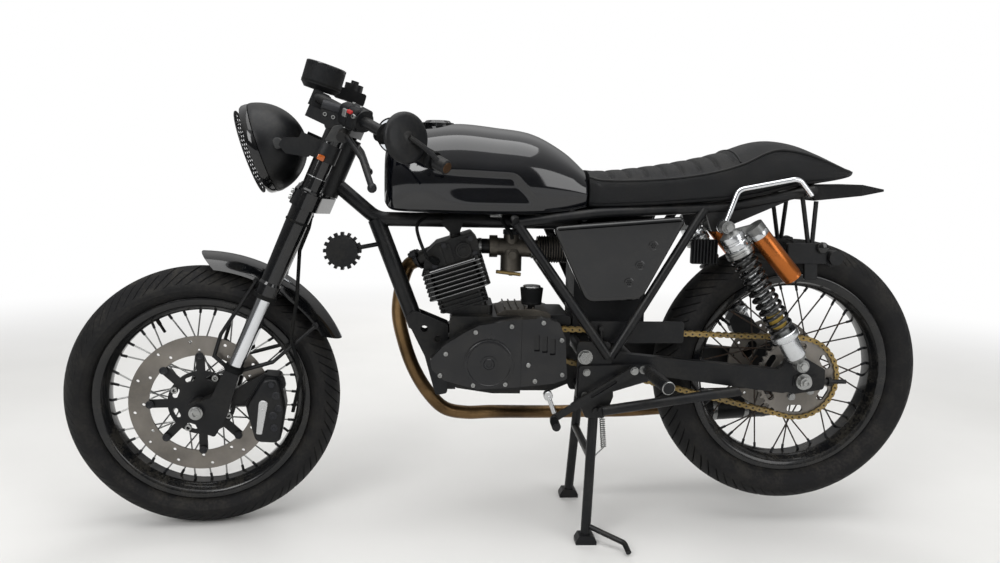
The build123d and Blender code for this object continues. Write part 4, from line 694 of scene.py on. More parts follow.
@dataclass(frozen=True)
class Pane:
    """Clear glass or a mirror."""

    slot: str
    colour: Colour
    roughness: float = 0.02
    clear: float = 1.0
    metallic: float = 0.0

    def build(self, name: str) -> bpy.types.Material:
        """Glass that passes light, or a silvered face, with a trace of haze in its roughness.

        Args:
            name: The material's name.

        Returns:
            The material.
        """
        tree = Tree(bpy.data.materials.new(name))
        haze = tree.noise(14, 6).ramp(0.35, 0.8, self.roughness, self.roughness + 0.09)
        sockets = {
            "Base Color": self.colour,
            "Roughness": haze,
            "Metallic": self.metallic,
            "Transmission Weight": self.clear,
            "IOR": 1.45,
        }
        return tree.close(tree.node("ShaderNodeBsdfPrincipled", None, sockets))


class Finish(Enum):
    """Every finish on the machine."""

    GLOSS_BLACK = Coating("black_gloss", from_hex("#08090b"), 0.14, coat=0.55, dust=0.03)
    TANK_BLACK = Coating("black_gloss_paint", from_hex("#05060a"), 0.08, coat=0.8, dust=0.012)
    SATIN_BLACK = Coating("black_metal", from_hex("#0f1012"), 0.38, dust=0.05)
    ENGINE_BLACK = Coating("black_metal", from_hex("#0c0d0e"), 0.36, grain=Grain.CAST, depth=0.00012, dust=0.07)
    COVER_BLACK = Coating(
        "black_gloss", from_hex("#0c0d10"), 0.24, coat=0.3, grain=Grain.CAST, grain_scale=700, dust=0.05
    )
    PLASTIC = Coating(
        "black_plastic", from_hex("#0e0f11"), 0.5, grain=Grain.MOULDED, grain_scale=1500, dust=0.05,
        specular=0.16,
    )
    RUBBER = Coating("rubber", from_hex("#0d0e0f"), 0.7, grain=Grain.MOULDED, grain_scale=1100, specular=0.1)
    GREY_RUBBER = Coating("rubber", from_hex("#2c2d2e"), 0.6, dust=0.10)
    TYRE = Coating(
        "tyre_rubber", from_hex("#151516"), 0.66, grain=Grain.CAST, depth=0.00008, blotch=0.2, dust=0.07,
        specular=0.16,
    )
    LEATHER = Coating(
        "seat_leather", from_hex("#0f1012"), 0.40, grain=Grain.HIDE, grain_scale=620, depth=0.0005, dust=0.03
    )
    CHROME = Coating("chrome", from_hex("#d3d5d8"), 0.12, metallic=1.0, blotch=0.05, dust=0.08)
    STEEL = Coating("steel", from_hex("#9b9c9b"), 0.30, metallic=1.0, grain=Grain.BRUSHED, dust=0.20)
    DISC_STEEL = Coating("steel", from_hex("#77736e"), 0.40, metallic=0.9, grain=Grain.BRUSHED, blotch=0.3, dust=0.40)
    GREY_ALLOY = Coating("grey_alloy", from_hex("#7c7d7c"), 0.42, metallic=0.85, grain=Grain.CAST)
    DARK_ALLOY = Coating("dark_alloy", from_hex("#232427"), 0.42, metallic=0.3, grain=Grain.CAST)
    CASE_ALLOY = Coating("grey_alloy", from_hex("#504c46"), 0.45, metallic=0.8, grain=Grain.CAST, dust=0.3)
    BRIGHT_ALLOY = Coating("grey_alloy", from_hex("#b9babb"), 0.26, metallic=1.0, blotch=0.12)
    BRONZE_PIPE = Coating(
        "bronze_pipe", from_hex("#6d5639"), 0.34, metallic=0.9, blotch=0.45, stain=from_hex("#241c15"), dust=0.6
    )
    CHAIN = Coating("chain_brass", from_hex("#8a7548"), 0.42, metallic=0.85, blotch=0.4, dust=0.5)
    SPOKE = Coating(
        "black_metal", from_hex("#35312d"), 0.5, metallic=0.6, blotch=0.5, stain=from_hex("#5a3a22"), dust=0.7
    )
    ANODISED = Coating("orange_anodised", from_hex("#a9602a"), 0.30, metallic=0.85, blotch=0.12)
    GOLD = Coating("orange_anodised", from_hex("#b79a4a"), 0.5, blotch=0.15)
    RIM_BLACK = Coating("black_gloss", from_hex("#0b0c0e"), 0.22, coat=0.3, dust=0.10)
    WORN_EDGE = Coating("grey_alloy", from_hex("#8f9091"), 0.34, metallic=1.0, blotch=0.4, dust=0.3)
    PALE_METAL = Coating("grey_alloy", from_hex("#c6c8ca"), 0.24, metallic=1.0, blotch=0.10, dust=0.10)
    PLEATS = Coating("rubber", from_hex("#0c0d0f"), 0.6, blotch=0.3, dust=0.06)
    PIPING = Coating("seat_leather", from_hex("#08090a"), 0.36, blotch=0.1, dust=0.02)
    BRONZED = Coating("orange_anodised", from_hex("#4a3626"), 0.30, metallic=0.9, blotch=0.2)
    RED_PLASTIC = Coating("black_plastic", from_hex("#a02a2a"), 0.4, blotch=0.05, dust=0.05)
    PALE = Coating("black_plastic", from_hex("#c9c9c4"), 0.5, blotch=0.05)
    DIAL = Coating("black_gloss", from_hex("#0a0b0c"), 0.05, coat=1.0, blotch=0.05, dust=0.02)
    REFLECTOR = Coating("chrome", from_hex("#dfe2e6"), 0.08, metallic=1.0, blotch=0.03, dust=0.03)
    AMBER_LENS = Coating("lens_glass", from_hex("#a04d12"), 0.18, coat=0.6, blotch=0.08, dust=0.05)
    LENS = Pane("lens_glass", (0.92, 0.95, 0.97))
    MIRROR = Pane("chrome", (0.8, 0.83, 0.86), 0.02, clear=0.0, metallic=1.0)

    @property
    def material(self) -> bpy.types.Material:
        """The finish's material, made on first use under a name that no CAD material has."""
        name = f"finish_{self.name.lower()}"
        return bpy.data.materials.get(name) or self.value.build(name)


# Pieces


def add_object(name: str, data: bpy.types.ID) -> bpy.types.Object:
    """A new object in the scene, at the origin and unturned."""
    added = bpy.data.objects.new(name, data)
    bpy.context.scene.collection.objects.link(added)
    return added


def make_piece(
    name: str,
    shapes: Shape | Sequence[Shape],
    finish: Finish,
    body: Body = Body.CHASSIS,
    replaces: Sequence[str] = (),
    bevel: float = 0.0,
    sharp: float = 32.0,
) -> bpy.types.Object:
    """Turns one or more shapes into an object of the machine.

    Args:
        name: The piece's own name.
        shapes: Its surface, or the surfaces that it is made of.
        finish: What it is coated with.
        body: What it rides on.
        replaces: Nodes of the frame that it stands for.
        bevel: Width of its edges' rounding.
        sharp: Angle in degrees past which an edge shows.

    Returns:
        The object.
    """
    shape = shapes if isinstance(shapes, Shape) else Shape.joined(shapes)
    mesh = bpy.data.meshes.new(name)
    faces = [polygon for group in shape.faces for polygon in group.tolist()]
    mesh.from_pydata(shape.points.tolist(), [], faces)
    whole = bmesh.new()
    whole.from_mesh(mesh)
    bmesh.ops.remove_doubles(whole, verts=whole.verts, dist=1e-6)
    bmesh.ops.recalc_face_normals(whole, faces=whole.faces)
    whole.to_mesh(mesh)
    whole.free()
    mesh.shade_smooth()
    mesh.set_sharp_from_angle(angle=radians(sharp))
    mesh.materials.append(finish.material)
    piece = add_object(name, mesh)
    if bevel:
        edge = piece.modifiers.new("edges", "BEVEL")
        edge.width = bevel
        edge.segments = 2
        edge.limit_method = "ANGLE"
        edge.angle_limit = radians(sharp)
        edge.harden_normals = True
    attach(piece, body.value)
    if replaces:
        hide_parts(*replaces)
    log.info("%s: %d points on %s", name, len(mesh.vertices), body.value)
    return piece


def dress(node: str, finish: Finish) -> None:
    """Gives a node of the frame its finish."""
    target = frame["nodes"][node]
    target.data.materials.clear()
    target.data.materials.append(finish.material)


# Studio


@dataclass(frozen=True)
class Studio:
    """Pale floor, soft lamps and the camera at the photograph's place."""

    camera_place: Point = (0.78978, 1.83419, 0.44734)
    camera_right: Point = (-0.997882, 0.06119, 0.022083)
    camera_up: Point = (0.013641, -0.135082, 0.990741)
    lens: float = 29.317
    floor_reach: float = 12.0
    floor_fade: Pair = (1.9, 4.2)
    centre_x: float = 0.66

    def camera(self) -> None:
        """A camera whose directions were fitted to the photograph."""
        data = bpy.data.cameras.new("camera")
        data.lens = self.lens
        data.sensor_width = 36.0
        camera = add_object("camera", data)
        right, up = unit(self.camera_right), unit(self.camera_up)
        camera.matrix_world = Place(np.array(self.camera_place), right, up, np.cross(right, up)).matrix
        bpy.context.scene.camera = camera

    def floor(self, machine: Machine) -> None:
        """A flat matt floor that fades into white with distance, as the camera and mirrors see it."""
        corners = rectangle(-self.floor_reach, -self.floor_reach, self.floor_reach, self.floor_reach)
        points = np.column_stack((corners[:, 0] + self.centre_x, corners[:, 1], np.full(4, machine.floor)))
        mesh = bpy.data.meshes.new("floor")
        mesh.from_pydata(points.tolist(), [], [(0, 1, 2, 3)])
        tree = Tree(bpy.data.materials.new("pale_floor"))
        where = tree.node(
            "ShaderNodeVectorMath", {"operation": "SUBTRACT"}, {0: tree.place(), 1: (self.centre_x, 0, machine.floor)}
        )
        distance = tree.node("ShaderNodeVectorMath", {"operation": "LENGTH"}, {0: where}, output=1)
        tone = tree.mix(tree.noise(3, 6), (0.66, 0.655, 0.64), (0.72, 0.715, 0.70))
        matt = tree.node("ShaderNodeBsdfDiffuse", None, {"Color": tone})
        white = tree.node("ShaderNodeEmission", None, {"Color": (1.0, 1.0, 1.0), "Strength": 1.0})
        share = distance.ramp(*self.floor_fade) * self.seen(tree)
        mesh.materials.append(tree.close(tree.node("ShaderNodeMixShader", None, {0: share, 1: matt, 2: white})))
        floor = add_object("floor", mesh)

    @staticmethod
    def seen(tree: Tree) -> Signal:
        """One where a ray comes from the camera, a mirror or glass, and nothing elsewhere."""
        path = tree.node("ShaderNodeLightPath")
        rays = path.output("Is Camera Ray") + path.output("Is Glossy Ray") + path.output("Is Transmission Ray")
        return rays.ramp(0, 1)

    def world(self) -> None:
        """White for the camera, a sky that brightens upward in mirrors and glass, and even light elsewhere."""
        world = bpy.data.worlds.new("studio")
        bpy.context.scene.world = world
        tree = Tree(world)
        height = tree.node("ShaderNodeSeparateXYZ", None, {0: tree.node("ShaderNodeTexCoord")}, output=2)
        path = tree.node("ShaderNodeLightPath")
        camera = path.output("Is Camera Ray")
        gloss = path.output("Is Glossy Ray") + path.output("Is Transmission Ray")
        sky = height.ramp(0.05, 0.9, 0.12, 0.85)
        strength = camera + (1 - camera) * (gloss.ramp(0, 1) * (sky - 0.55) + 0.55)
        shade = tree.node("ShaderNodeBackground", None, {"Color": (1.0, 1.0, 1.0), "Strength": strength})
        tree.node("ShaderNodeOutputWorld", None, {"Surface": shade})

    def lamp(
        self,
        name: str,
        place: Sequence[float],
        target: Sequence[float],
        size: float,
        power: float,
        mirrored: bool = True,
    ) -> None:
        """Adds a square soft lamp that faces a target.

        Args:
            name: The lamp's name.
            place: Where it stands.
            target: What it faces.
            size: Length of its sides.
            power: Its power in watts.
            mirrored: Whether glossy surfaces mirror it.
        """
        data = bpy.data.lights.new(name, "AREA")
        data.size = size
        data.energy = power
        lamp = add_object(name, data)
        lamp.visible_glossy = mirrored
        lamp.matrix_world = Place.facing(place, np.asarray(place, float) - np.asarray(target, float)).matrix

    def build(self, machine: Machine) -> None:
        """Sets the camera, floor, background and lamps."""
        bpy.context.scene.view_settings.view_transform = "Standard"
        self.camera()
        self.floor(machine)
        self.world()
        middle = (self.centre_x, 0.0, 0.1)
        self.lamp("overhead", (self.centre_x, 0.6, 2.9), middle, 3.0, 70)
        self.lamp("key", (2.6, 3.0, 1.9), middle, 1.6, 60)
        self.lamp("fill", (-1.8, 2.6, 1.2), middle, 1.6, 26)
        self.lamp("back", (0.4, -3.2, 1.8), middle, 2.0, 45, mirrored=False)


# Wheels


def arc_through(first: Sequence[float], middle: Sequence[float], last: Sequence[float], steps: int) -> Array:
    """Points of the circle through three points: its centre is equally far from all of them, and the
    bearing from there runs evenly from the first to the last.

    Args:
        first: Where the arc starts.
        middle: A point on its way.
        last: Where it ends.
        steps: How many points it gets.

    Returns:
        The arc's points, both ends among them.
    """
    a, b, c = (np.asarray(point, float) for point in (first, middle, last))
    rows = 2 * np.stack((b - a, c - a))
    centre = np.linalg.solve(rows, np.array([b @ b - a @ a, c @ c - a @ a]))
    bearings = np.unwrap([atan2(*(point - centre)[::-1]) for point in (a, b, c)])
    bearing = np.linspace(bearings[0], bearings[2], steps)
    return centre + np.linalg.norm(a - centre) * np.column_stack((np.cos(bearing), np.sin(bearing)))


@dataclass(frozen=True)
class Wheel:
    """A tyre with a grooved tread on a rim laced with crossed spokes."""

    name: str
    body: Body
    axle: Place
    tyre_radius: float
    tyre_width: float
    rim_width: float
    barrel_radius: float
    hub_flange: float
    hub_flange_y: float
    hub_half: float
    pitches: int
    groove_sweep: float
    rim_flange: float = 0.232
    shoulder_drop: float = 0.028
    groove_depth: float = 0.0045
    groove_power: float = 1.7
    # Shares of the tread, from the middle at nought, that the long and the short grooves reach over
    long_reach: Pair = (0.13, 1.02)
    short_reach: Pair = (0.42, 1.09)
    # Shares of the sidewall from its bead, where a fine ring stands out, its height and its spread
    wall_rings: Pair = (0.2, 0.62)
    ring_height: float = 0.0007
    ring_spread: float = 0.035
    spokes_per_family: int = 9
    spoke_radius: float = 0.0018
    spoke_lead: float = radians(60)
    valve_angle: float = radians(38)
    valve_radius: float = 0.203
    spoke_finish: Finish = Finish.SPOKE

    def section(self) -> tuple[Array, Array]:
        """The tyre's half outline from its bead to its crown, and how far each point lies over the tread.

        The sidewall and the tread are each an arc through three points. Two fine rings stand out of the
        sidewall, as narrow bell curves of its distance from them.

        Returns:
            Pairs of distance from the axle and half width, and the share of the tread from the shoulder
            at one to the middle at nought, negative down the sidewall.
        """
        low = self.tyre_radius - self.shoulder_drop
        half = self.tyre_width / 2
        bead = (self.rim_flange + 0.001, self.rim_width / 2 - 0.004)
        belly = ((self.rim_flange + low) / 2 + 0.003, half - 0.001)
        wall = arc_through(bead, belly, (low, half - 0.005), 20)
        tread = arc_through((low, half - 0.005), (self.tyre_radius, 0), (low, 0.005 - half), 41)[:21]
        for ring in self.wall_rings:
            distance = (np.linspace(0, 1, len(wall)) - ring) / self.ring_spread
            wall[:, 1] += self.ring_height * np.exp(-(distance**2))
        share = np.concatenate((np.linspace(-1, 0, len(wall))[:-1] - 0.001, np.linspace(0, 1, len(tread))))
        return np.concatenate((wall[:-1], tread)), 1 - share

    def tyre(self) -> Shape:
        """The tyre as a sheared grid: its columns run along the grooves, which bend back as the power of
        their distance from the middle, and the grooves' columns lie deeper.
        """
        half, share = self.section()
        inside = np.array([[self.rim_flange - 0.011, self.rim_width / 2 - 0.006]])
        left = np.concatenate((inside, half))
        left_share = np.concatenate(([2.1], share))
        radius = np.concatenate((left[:, 0], left[-2::-1, 0]))
        aside = np.concatenate((left[:, 1], -left[-2::-1, 1]))
        tread = np.concatenate((left_share, left_share[-2::-1]))
        flank = np.sign(aside)
        # Columns of each pitch: place, depth of the long groove and of the short one
        marks = np.array(
            (
                (0.00, 0, 0), (0.025, 1, 0), (0.080, 1, 0), (0.105, 0, 0), (0.30, 0, 0), (0.49, 0, 0),
                (0.510, 0, 1), (0.555, 0, 1), (0.575, 0, 0), (0.80, 0, 0),
            )
        )
        pitch = 2 * pi / self.pitches
        turn = ((np.arange(self.pitches)[:, None] + marks[:, 0]) * pitch).reshape(-1)
        long_groove = np.tile(marks[:, 1], self.pitches)
        short_groove = np.tile(marks[:, 2], self.pitches)
        on_tread = np.clip(tread, 0, 1.3)
        shift = 0.25 * np.clip(flank * on_tread / 0.1, -1, 1)
        shear = pitch * (self.groove_sweep * on_tread**self.groove_power + shift)
        long_rows, short_rows = (
            ((tread > low) & (tread < high)).astype(float)[:, None] for low, high in (self.long_reach, self.short_reach)
        )
        cut = np.maximum(long_rows * long_groove, short_rows * short_groove)
        angle = turn + shear[:, None]
        distance = radius[:, None] - self.groove_depth * cut
        width = aside[:, None] * (1 - 0.02 * cut)
        width = np.broadcast_to(width, angle.shape)
        points = np.stack((distance * np.cos(angle), distance * np.sin(angle), width), -1)
        return grid(points, rows_close=True, caps=False).placed(self.axle)

    def rim(self) -> Shape:
        """The rim: an outline with a dropped well and rolled lips, carried round the axle."""
        half, well = self.rim_width / 2, self.rim_flange - 0.023
        side = np.array(
            (
                (well, 0.35 * half),
                (well + 0.008, 0.45 * half),
                (self.rim_flange - 0.012, half - 0.0055),
                (self.rim_flange - 0.0015, half - 0.0045),
                (self.rim_flange, half - 0.0028),
                (self.rim_flange - 0.0008, half - 0.0008),
                (self.rim_flange - 0.0035, half),
                (well + 0.009, half - 0.0012),
                (well + 0.0045, half - 0.004),
                (well - 0.003, 0.5 * half),
                (well - 0.0075, 0.4 * half),
                (well - 0.0088, 0.2 * half),
            )
        )
        return spun(np.concatenate((side, side[::-1] * (1, -1))), self.axle, 128, closed=True)

    def hub(self) -> Shape:
        """The hub: a waisted barrel with two drilled flanges, rounded where they meet."""
        half, out = self.hub_half, self.hub_flange_y
        side = (
            (self.barrel_radius * 0.55, half),
            (self.barrel_radius - 0.003, half),
            (self.barrel_radius, half - 0.003),
            (self.barrel_radius, out + 0.006),
            (self.barrel_radius + 0.004, out + 0.004),
            (self.hub_flange - 0.001, out + 0.0035),
            (self.hub_flange, out + 0.002),
            (self.hub_flange, out - 0.002),
            (self.hub_flange - 0.001, out - 0.0035),
            (self.barrel_radius + 0.006, out - 0.004),
            (self.barrel_radius - 0.002, out - 0.012),
            (self.barrel_radius - 0.005, 0.0),
        )
        profile = np.array(side)
        return spun(np.concatenate((profile, profile[-2::-1] * (1, -1))), self.axle, 64)

    def lacing(self) -> tuple[Array, Array]:
        """Feet and tips of the spokes: four families, crossed by leading and trailing by one angle."""
        # Columns: side, lead, shift out from the hub's flange and place across the rim
        families = np.array(
            ((1, 1, 0.003, 0.009), (1, -1, -0.003, 0.003), (-1, 1, 0.003, 0.009), (-1, -1, -0.003, 0.003))
        )
        flank, lead, hub_y, rim_y = families.T[:, :, None]
        place = np.arange(self.spokes_per_family) + 0.25 * lead + 0.125 * flank
        start = 2 * pi * place / self.spokes_per_family
        end = start + lead * self.spoke_lead
        foot_r, tip_r = self.hub_flange - 0.006, self.rim_flange - 0.030
        foot_y = flank * (self.hub_flange_y + hub_y + 0 * start)
        foot = np.stack((-foot_r * np.cos(start), foot_r * np.sin(start), foot_y), -1)
        tip = np.stack((-tip_r * np.cos(end), tip_r * np.sin(end), flank * rim_y + 0 * end), -1)
        return self.axle.row(foot.reshape(-1, 3)), self.axle.row(tip.reshape(-1, 3))

    def build(self) -> None:
        """Makes the tyre, rim, hub, spokes, nipples and valve."""
        make_piece(f"{self.name}_tread", self.tyre(), Finish.TYRE, self.body, (f"{self.name}_tyre",), sharp=28)
        make_piece(f"{self.name}_rim", self.rim(), Finish.RIM_BLACK, self.body, (f"{self.name}_wheel",))
        make_piece(f"{self.name}_hub", self.hub(), Finish.SATIN_BLACK, self.body)
        feet, tips = self.lacing()
        inward = unit(feet - tips)
        spokes = [rod(foot, tip, self.spoke_radius, 8) for foot, tip in zip(feet, tips)]
        aside = self.axle.out * 0.004
        elbows = [rod(foot - aside, foot + aside, 0.003, 10) for foot in feet]
        make_piece(f"{self.name}_spokes", [*spokes, *elbows], self.spoke_finish, self.body)
        starts, ends = tips - inward * 0.002, tips + inward * 0.014
        nipples = [rod(start, end, 0.0031, 8, 0.0008) for start, end in zip(starts, ends)]
        make_piece(f"{self.name}_nipples", nipples, Finish.DARK_ALLOY, self.body)
        way = self.axle.up * sin(self.valve_angle) - self.axle.right * cos(self.valve_angle)
        base = self.axle.origin + way * self.valve_radius + self.axle.out * 0.004
        valve = ((0.0045, 0), (0.0042, 0.014), (0.0032, 0.016), (0.0032, 0.034), (TIP, 0.035))
        stem = spun(valve, Place.facing(base, -way, self.axle.out), 14)
        make_piece(f"{self.name}_valve", stem, Finish.RUBBER, self.body)


@dataclass(frozen=True)
class FrontBrake:
    """Bobbins between disc and carrier, the carrier's bolts, and the caliper's shell, strip and caps."""

    machine: Machine
    bobbin_radius: float = 0.1075
    bolt_radius: float = 0.0635
    bolt_angle: float = radians(85)
    disc_face: float = 0.0573
    carrier_face: float = 0.0515
    caliper_back: float = 0.0808
    caliper_outline: Pairs = (
        (1.2255, 0.264), (1.2335, 0.300), (1.1945, 0.3635), (1.1625, 0.360), (1.1525, 0.290), (1.166, 0.2145),
        (1.214, 0.2185),
    )

    def build(self) -> None:
        """Makes the bobbins, bolts and caliper."""
        axle = self.machine.front_axle
        bobbin = ((0.0085, 0), (0.0085, 0.0022), (0.0062, 0.003), (0.0045, 0.0015), (TIP, 0.0012))
        spots = axle.around(8, self.bobbin_radius, self.disc_face, self.machine.rake)
        bobbins = [spun(bobbin, spot, 24) for spot in spots]
        make_piece("disc_bobbins", bobbins, Finish.DARK_ALLOY, Body.FRONT_WHEEL)
        spots = axle.around(4, self.bolt_radius, self.carrier_face, self.bolt_angle)
        bolts = [socket_screw(spot, 0.0075, 0.0065) for spot in spots]
        make_piece("carrier_bolts", bolts, Finish.STEEL, Body.FRONT_WHEEL)
        self.caliper()

    def caliper(self) -> None:
        """The caliper: a shell with a rounded rim, a cover strip left bare, four round caps and a nut."""
        machine = self.machine
        outline = rounded([machine.face(x, height) for x, height in self.caliper_outline], 0.012)
        place = machine.plane(self.caliper_back)
        body = domed(outline, place, ((0.002, 0.0), (0, 0.003), (0, 0.014), (0.003, 0.019), (0.007, 0.0208)))
        make_piece("caliper_shell", body, Finish.SATIN_BLACK, Body.STEERING, sharp=40)
        front = place.shifted(out=0.0200)
        head, foot = np.array(machine.face(1.1965, 0.3042)), np.array(machine.face(1.2065, 0.2380))
        down = unit(foot - head)
        across = np.array([-down[1], down[0]])
        top, wide, narrow = head - 0.010 * down, 0.010 * across, 0.006 * across
        corners = (top + wide, foot + narrow, foot - narrow, top - wide)
        outline = rounded(corners, (0.009, 0.003, 0.003, 0.009))
        strip = domed(outline, front, ((0, 0), (0, 0.0016), (0.0006, 0.0022)))
        make_piece("caliper_strip", strip, Finish.BRIGHT_ALLOY, Body.STEERING)
        caps = []
        for x, height, radius in (
            (1.1688, 0.3243, 0.009), (1.1640, 0.2960, 0.008), (1.1761, 0.2793, 0.009), (1.1740, 0.2520, 0.008)
        ):
            right, up = machine.face(x, height)
            boss = (
                (radius, 0), (radius, 0.0018), (radius * 0.85, 0.003), (radius * 0.5, 0.003), (radius * 0.4, 0.0016),
                (TIP, 0.0016),
            )
            caps.append(spun(boss, front.shifted(right=right, up=up), 28))
        right, up = machine.face(1.1775, 0.3500)
        caps.append(plate(hexagon(0.012), front.shifted(right=right, up=up), -0.004, 0.005))
        make_piece("caliper_caps", caps, Finish.DARK_ALLOY, Body.STEERING)


# Front end


@dataclass(frozen=True)
class ForkDress:
    """What the fork's plain tubes carry: seals, caps, rings, screws, reflector and the spindle's end caps."""

    machine: Machine
    # Columns: radius, lower and upper end along the stem, and the rounding of the edges
    seals: tuple[tuple[float, ...], ...] = (
        (0.0205, 0.1062, 0.1165, 0.0008), (0.0188, 0.1165, 0.1205, 0.0008), (0.0252, 0.4555, 0.4605, 0.0008),
        (0.0252, 0.2792, 0.2885, 0.0008),
    )
    caps: tuple[tuple[float, ...], ...] = ((0.0175, 0.6912, 0.6975, 0.0015), (0.0085, 0.6975, 0.7005, 0.0008))
    rings: tuple[tuple[float, ...], ...] = ((0.0221, 0.6655, 0.6661, 0.0008), (0.0216, 0.558, 0.5605, 0.0008))
    # Columns: ahead of the steering axis and along it
    screws: Pairs = ((0.061, 0.500), (0.061, 0.514), (0.058, 0.678))
    stem_top: float = 0.6912
    reflector_place: Point = (0.036, 0.1175, 0.602)
    spindle_half: float = 0.1222

    def ring(self, left: float, radius: float, low: float, high: float, soft: float) -> Shape:
        """A sleeve round a fork tube between two places along the stem."""
        place = self.machine.steering.shifted(right=self.machine.clamp_offset, up=left, out=low)
        height, inner = high - low, radius * 0.8
        edge = radius - soft
        profile = ((inner, 0), (edge, 0), (radius, soft), (radius, height - soft), (edge, height), (inner, height))
        return spun(profile, place, 40)

    def build(self) -> None:
        """Makes the seals, caps, rings and screws on both legs, the stem's nut, the reflector and end caps."""
        machine, steering = self.machine, self.machine.steering
        legs = (machine.fork_half, -machine.fork_half)
        for name, sleeves, finish in (
            ("fork_seals", self.seals, Finish.RUBBER),
            ("fork_caps", self.caps, Finish.GREY_ALLOY),
            ("fork_rings", self.rings, Finish.BRIGHT_ALLOY),
        ):
            make_piece(name, [self.ring(left, *sleeve) for left in legs for sleeve in sleeves], finish, Body.STEERING)
        screws = []
        for left in legs:
            for ahead, along in self.screws:
                spot = Place.facing(machine.fork(ahead, left * 0.98, along), steering.right, steering.out)
                screws.append(socket_screw(spot, 0.0052, 0.005))
        make_piece("clamp_screws", screws, Finish.STEEL, Body.STEERING)
        stem_nut = hex_bolt(steering.shifted(out=self.stem_top), 0.030, 0.010)
        make_piece("stem_nut", stem_nut, Finish.STEEL, Body.STEERING, bevel=0.0006)
        self.reflector()
        self.axle_nuts()

    def reflector(self) -> None:
        """A small amber reflector in a black frame on the upper tube."""
        steering = self.machine.steering
        place = Place.facing(self.machine.fork(*self.reflector_place), steering.up, steering.out)
        outline = rounded(rectangle(-0.009, -0.007, 0.009, 0.007), 0.003)
        backing = domed(outline, place, ((0, -0.004), (0, 0.003), (0.001, 0.004)))
        make_piece("reflector_frame", backing, Finish.PLASTIC, Body.STEERING)
        lens = domed(outline * 0.82, place, ((0, 0.003), (0, 0.0048), (0.0016, 0.0056)))
        make_piece("reflector", lens, Finish.AMBER_LENS, Body.STEERING)

    def axle_nuts(self) -> None:
        """A round, sunk cap on either end of the spindle."""
        axle = self.machine.front_axle
        cap = (
            (0.0145, 0), (0.0145, 0.002), (0.011, 0.003), (0.0105, 0.006), (0.006, 0.0066), (0.0055, 0.003),
            (TIP, 0.003),
        )
        nuts = []
        for hand in (1, -1):
            end = axle.shifted(out=hand * self.spindle_half)
            nuts.append(spun(cap, Place.facing(end.origin, end.out * hand, end.up), 28))
        make_piece("front_axle_nuts", nuts, Finish.STEEL, Body.STEERING)


@dataclass(frozen=True)
class Headlamp:
    """Bowl, rim, reflector, bulb and rubber mounts of the round headlamp."""

    machine: Machine
    centre: Point = (1.2110, 0.0, 0.8466)
    droop: float = radians(18)

    def face(self) -> Place:
        """The lamp's face: out is ahead of it."""
        machine = self.machine
        ahead = cos(self.droop) * machine.forward - sin(self.droop) * machine.upward
        return Place.facing(machine.parked(*self.centre), ahead, machine.upward)

    def build(self) -> None:
        """Makes the bowl's outer skin, rim, reflector, bulb and mounts."""
        face = self.face()
        skin = arc_through((0.0004, -0.112), (0.0665, -0.0842), (0.0972, -0.0285), 22)
        lip = ((0.0978, -0.026), (0.0978, -0.0195), (0.0966, -0.0185), (0.088, -0.0185), (0.088, -0.03))
        bowl = np.concatenate((skin, lip))
        make_piece("lamp_bowl", spun(bowl, face, 96), Finish.SATIN_BLACK, Body.STEERING, ("headlamp",), sharp=40)
        rim = (
            (0.0985, -0.0175), (0.0992, -0.012), (0.0985, -0.004), (0.0955, 0.0005), (0.0905, 0.0015), (0.0875, -0.001),
            (0.0865, -0.006), (0.0865, -0.0175),
        )
        rim = np.array(rim) * (0.988, 1)
        make_piece("lamp_rim", spun(rim, face, 96, closed=True), Finish.GLOSS_BLACK, Body.STEERING)
        dish = arc_through((0.0836, -0.012), (0.055, -0.046), (0.012, -0.058), 18)
        shell = np.concatenate((dish, dish[::-1] - (0.0, 0.0015)))
        make_piece("lamp_reflector", spun(shell, face, 72, closed=True), Finish.REFLECTOR, Body.STEERING)
        bulb = ((0.0115, -0.0575), (0.0115, -0.050), (0.008, -0.048), (0.008, -0.028), (0.006, -0.024), (TIP, -0.022))
        make_piece("lamp_bulb", spun(bulb, face, 24), Finish.CHROME, Body.STEERING)
        side = face.shifted(out=-0.058)
        mount = ((0.012, -0.006), (0.012, 0.008), (0.0105, 0.010), (0.007, 0.0105), (TIP, 0.0105))
        mounts = []
        for flank in (1, -1):
            place = Place.facing(side.shifted(right=-flank * 0.080).origin, -flank * side.right, side.out)
            mounts.append(spun(mount, place, 28))
        make_piece("lamp_mounts", mounts, Finish.GREY_RUBBER, Body.STEERING)


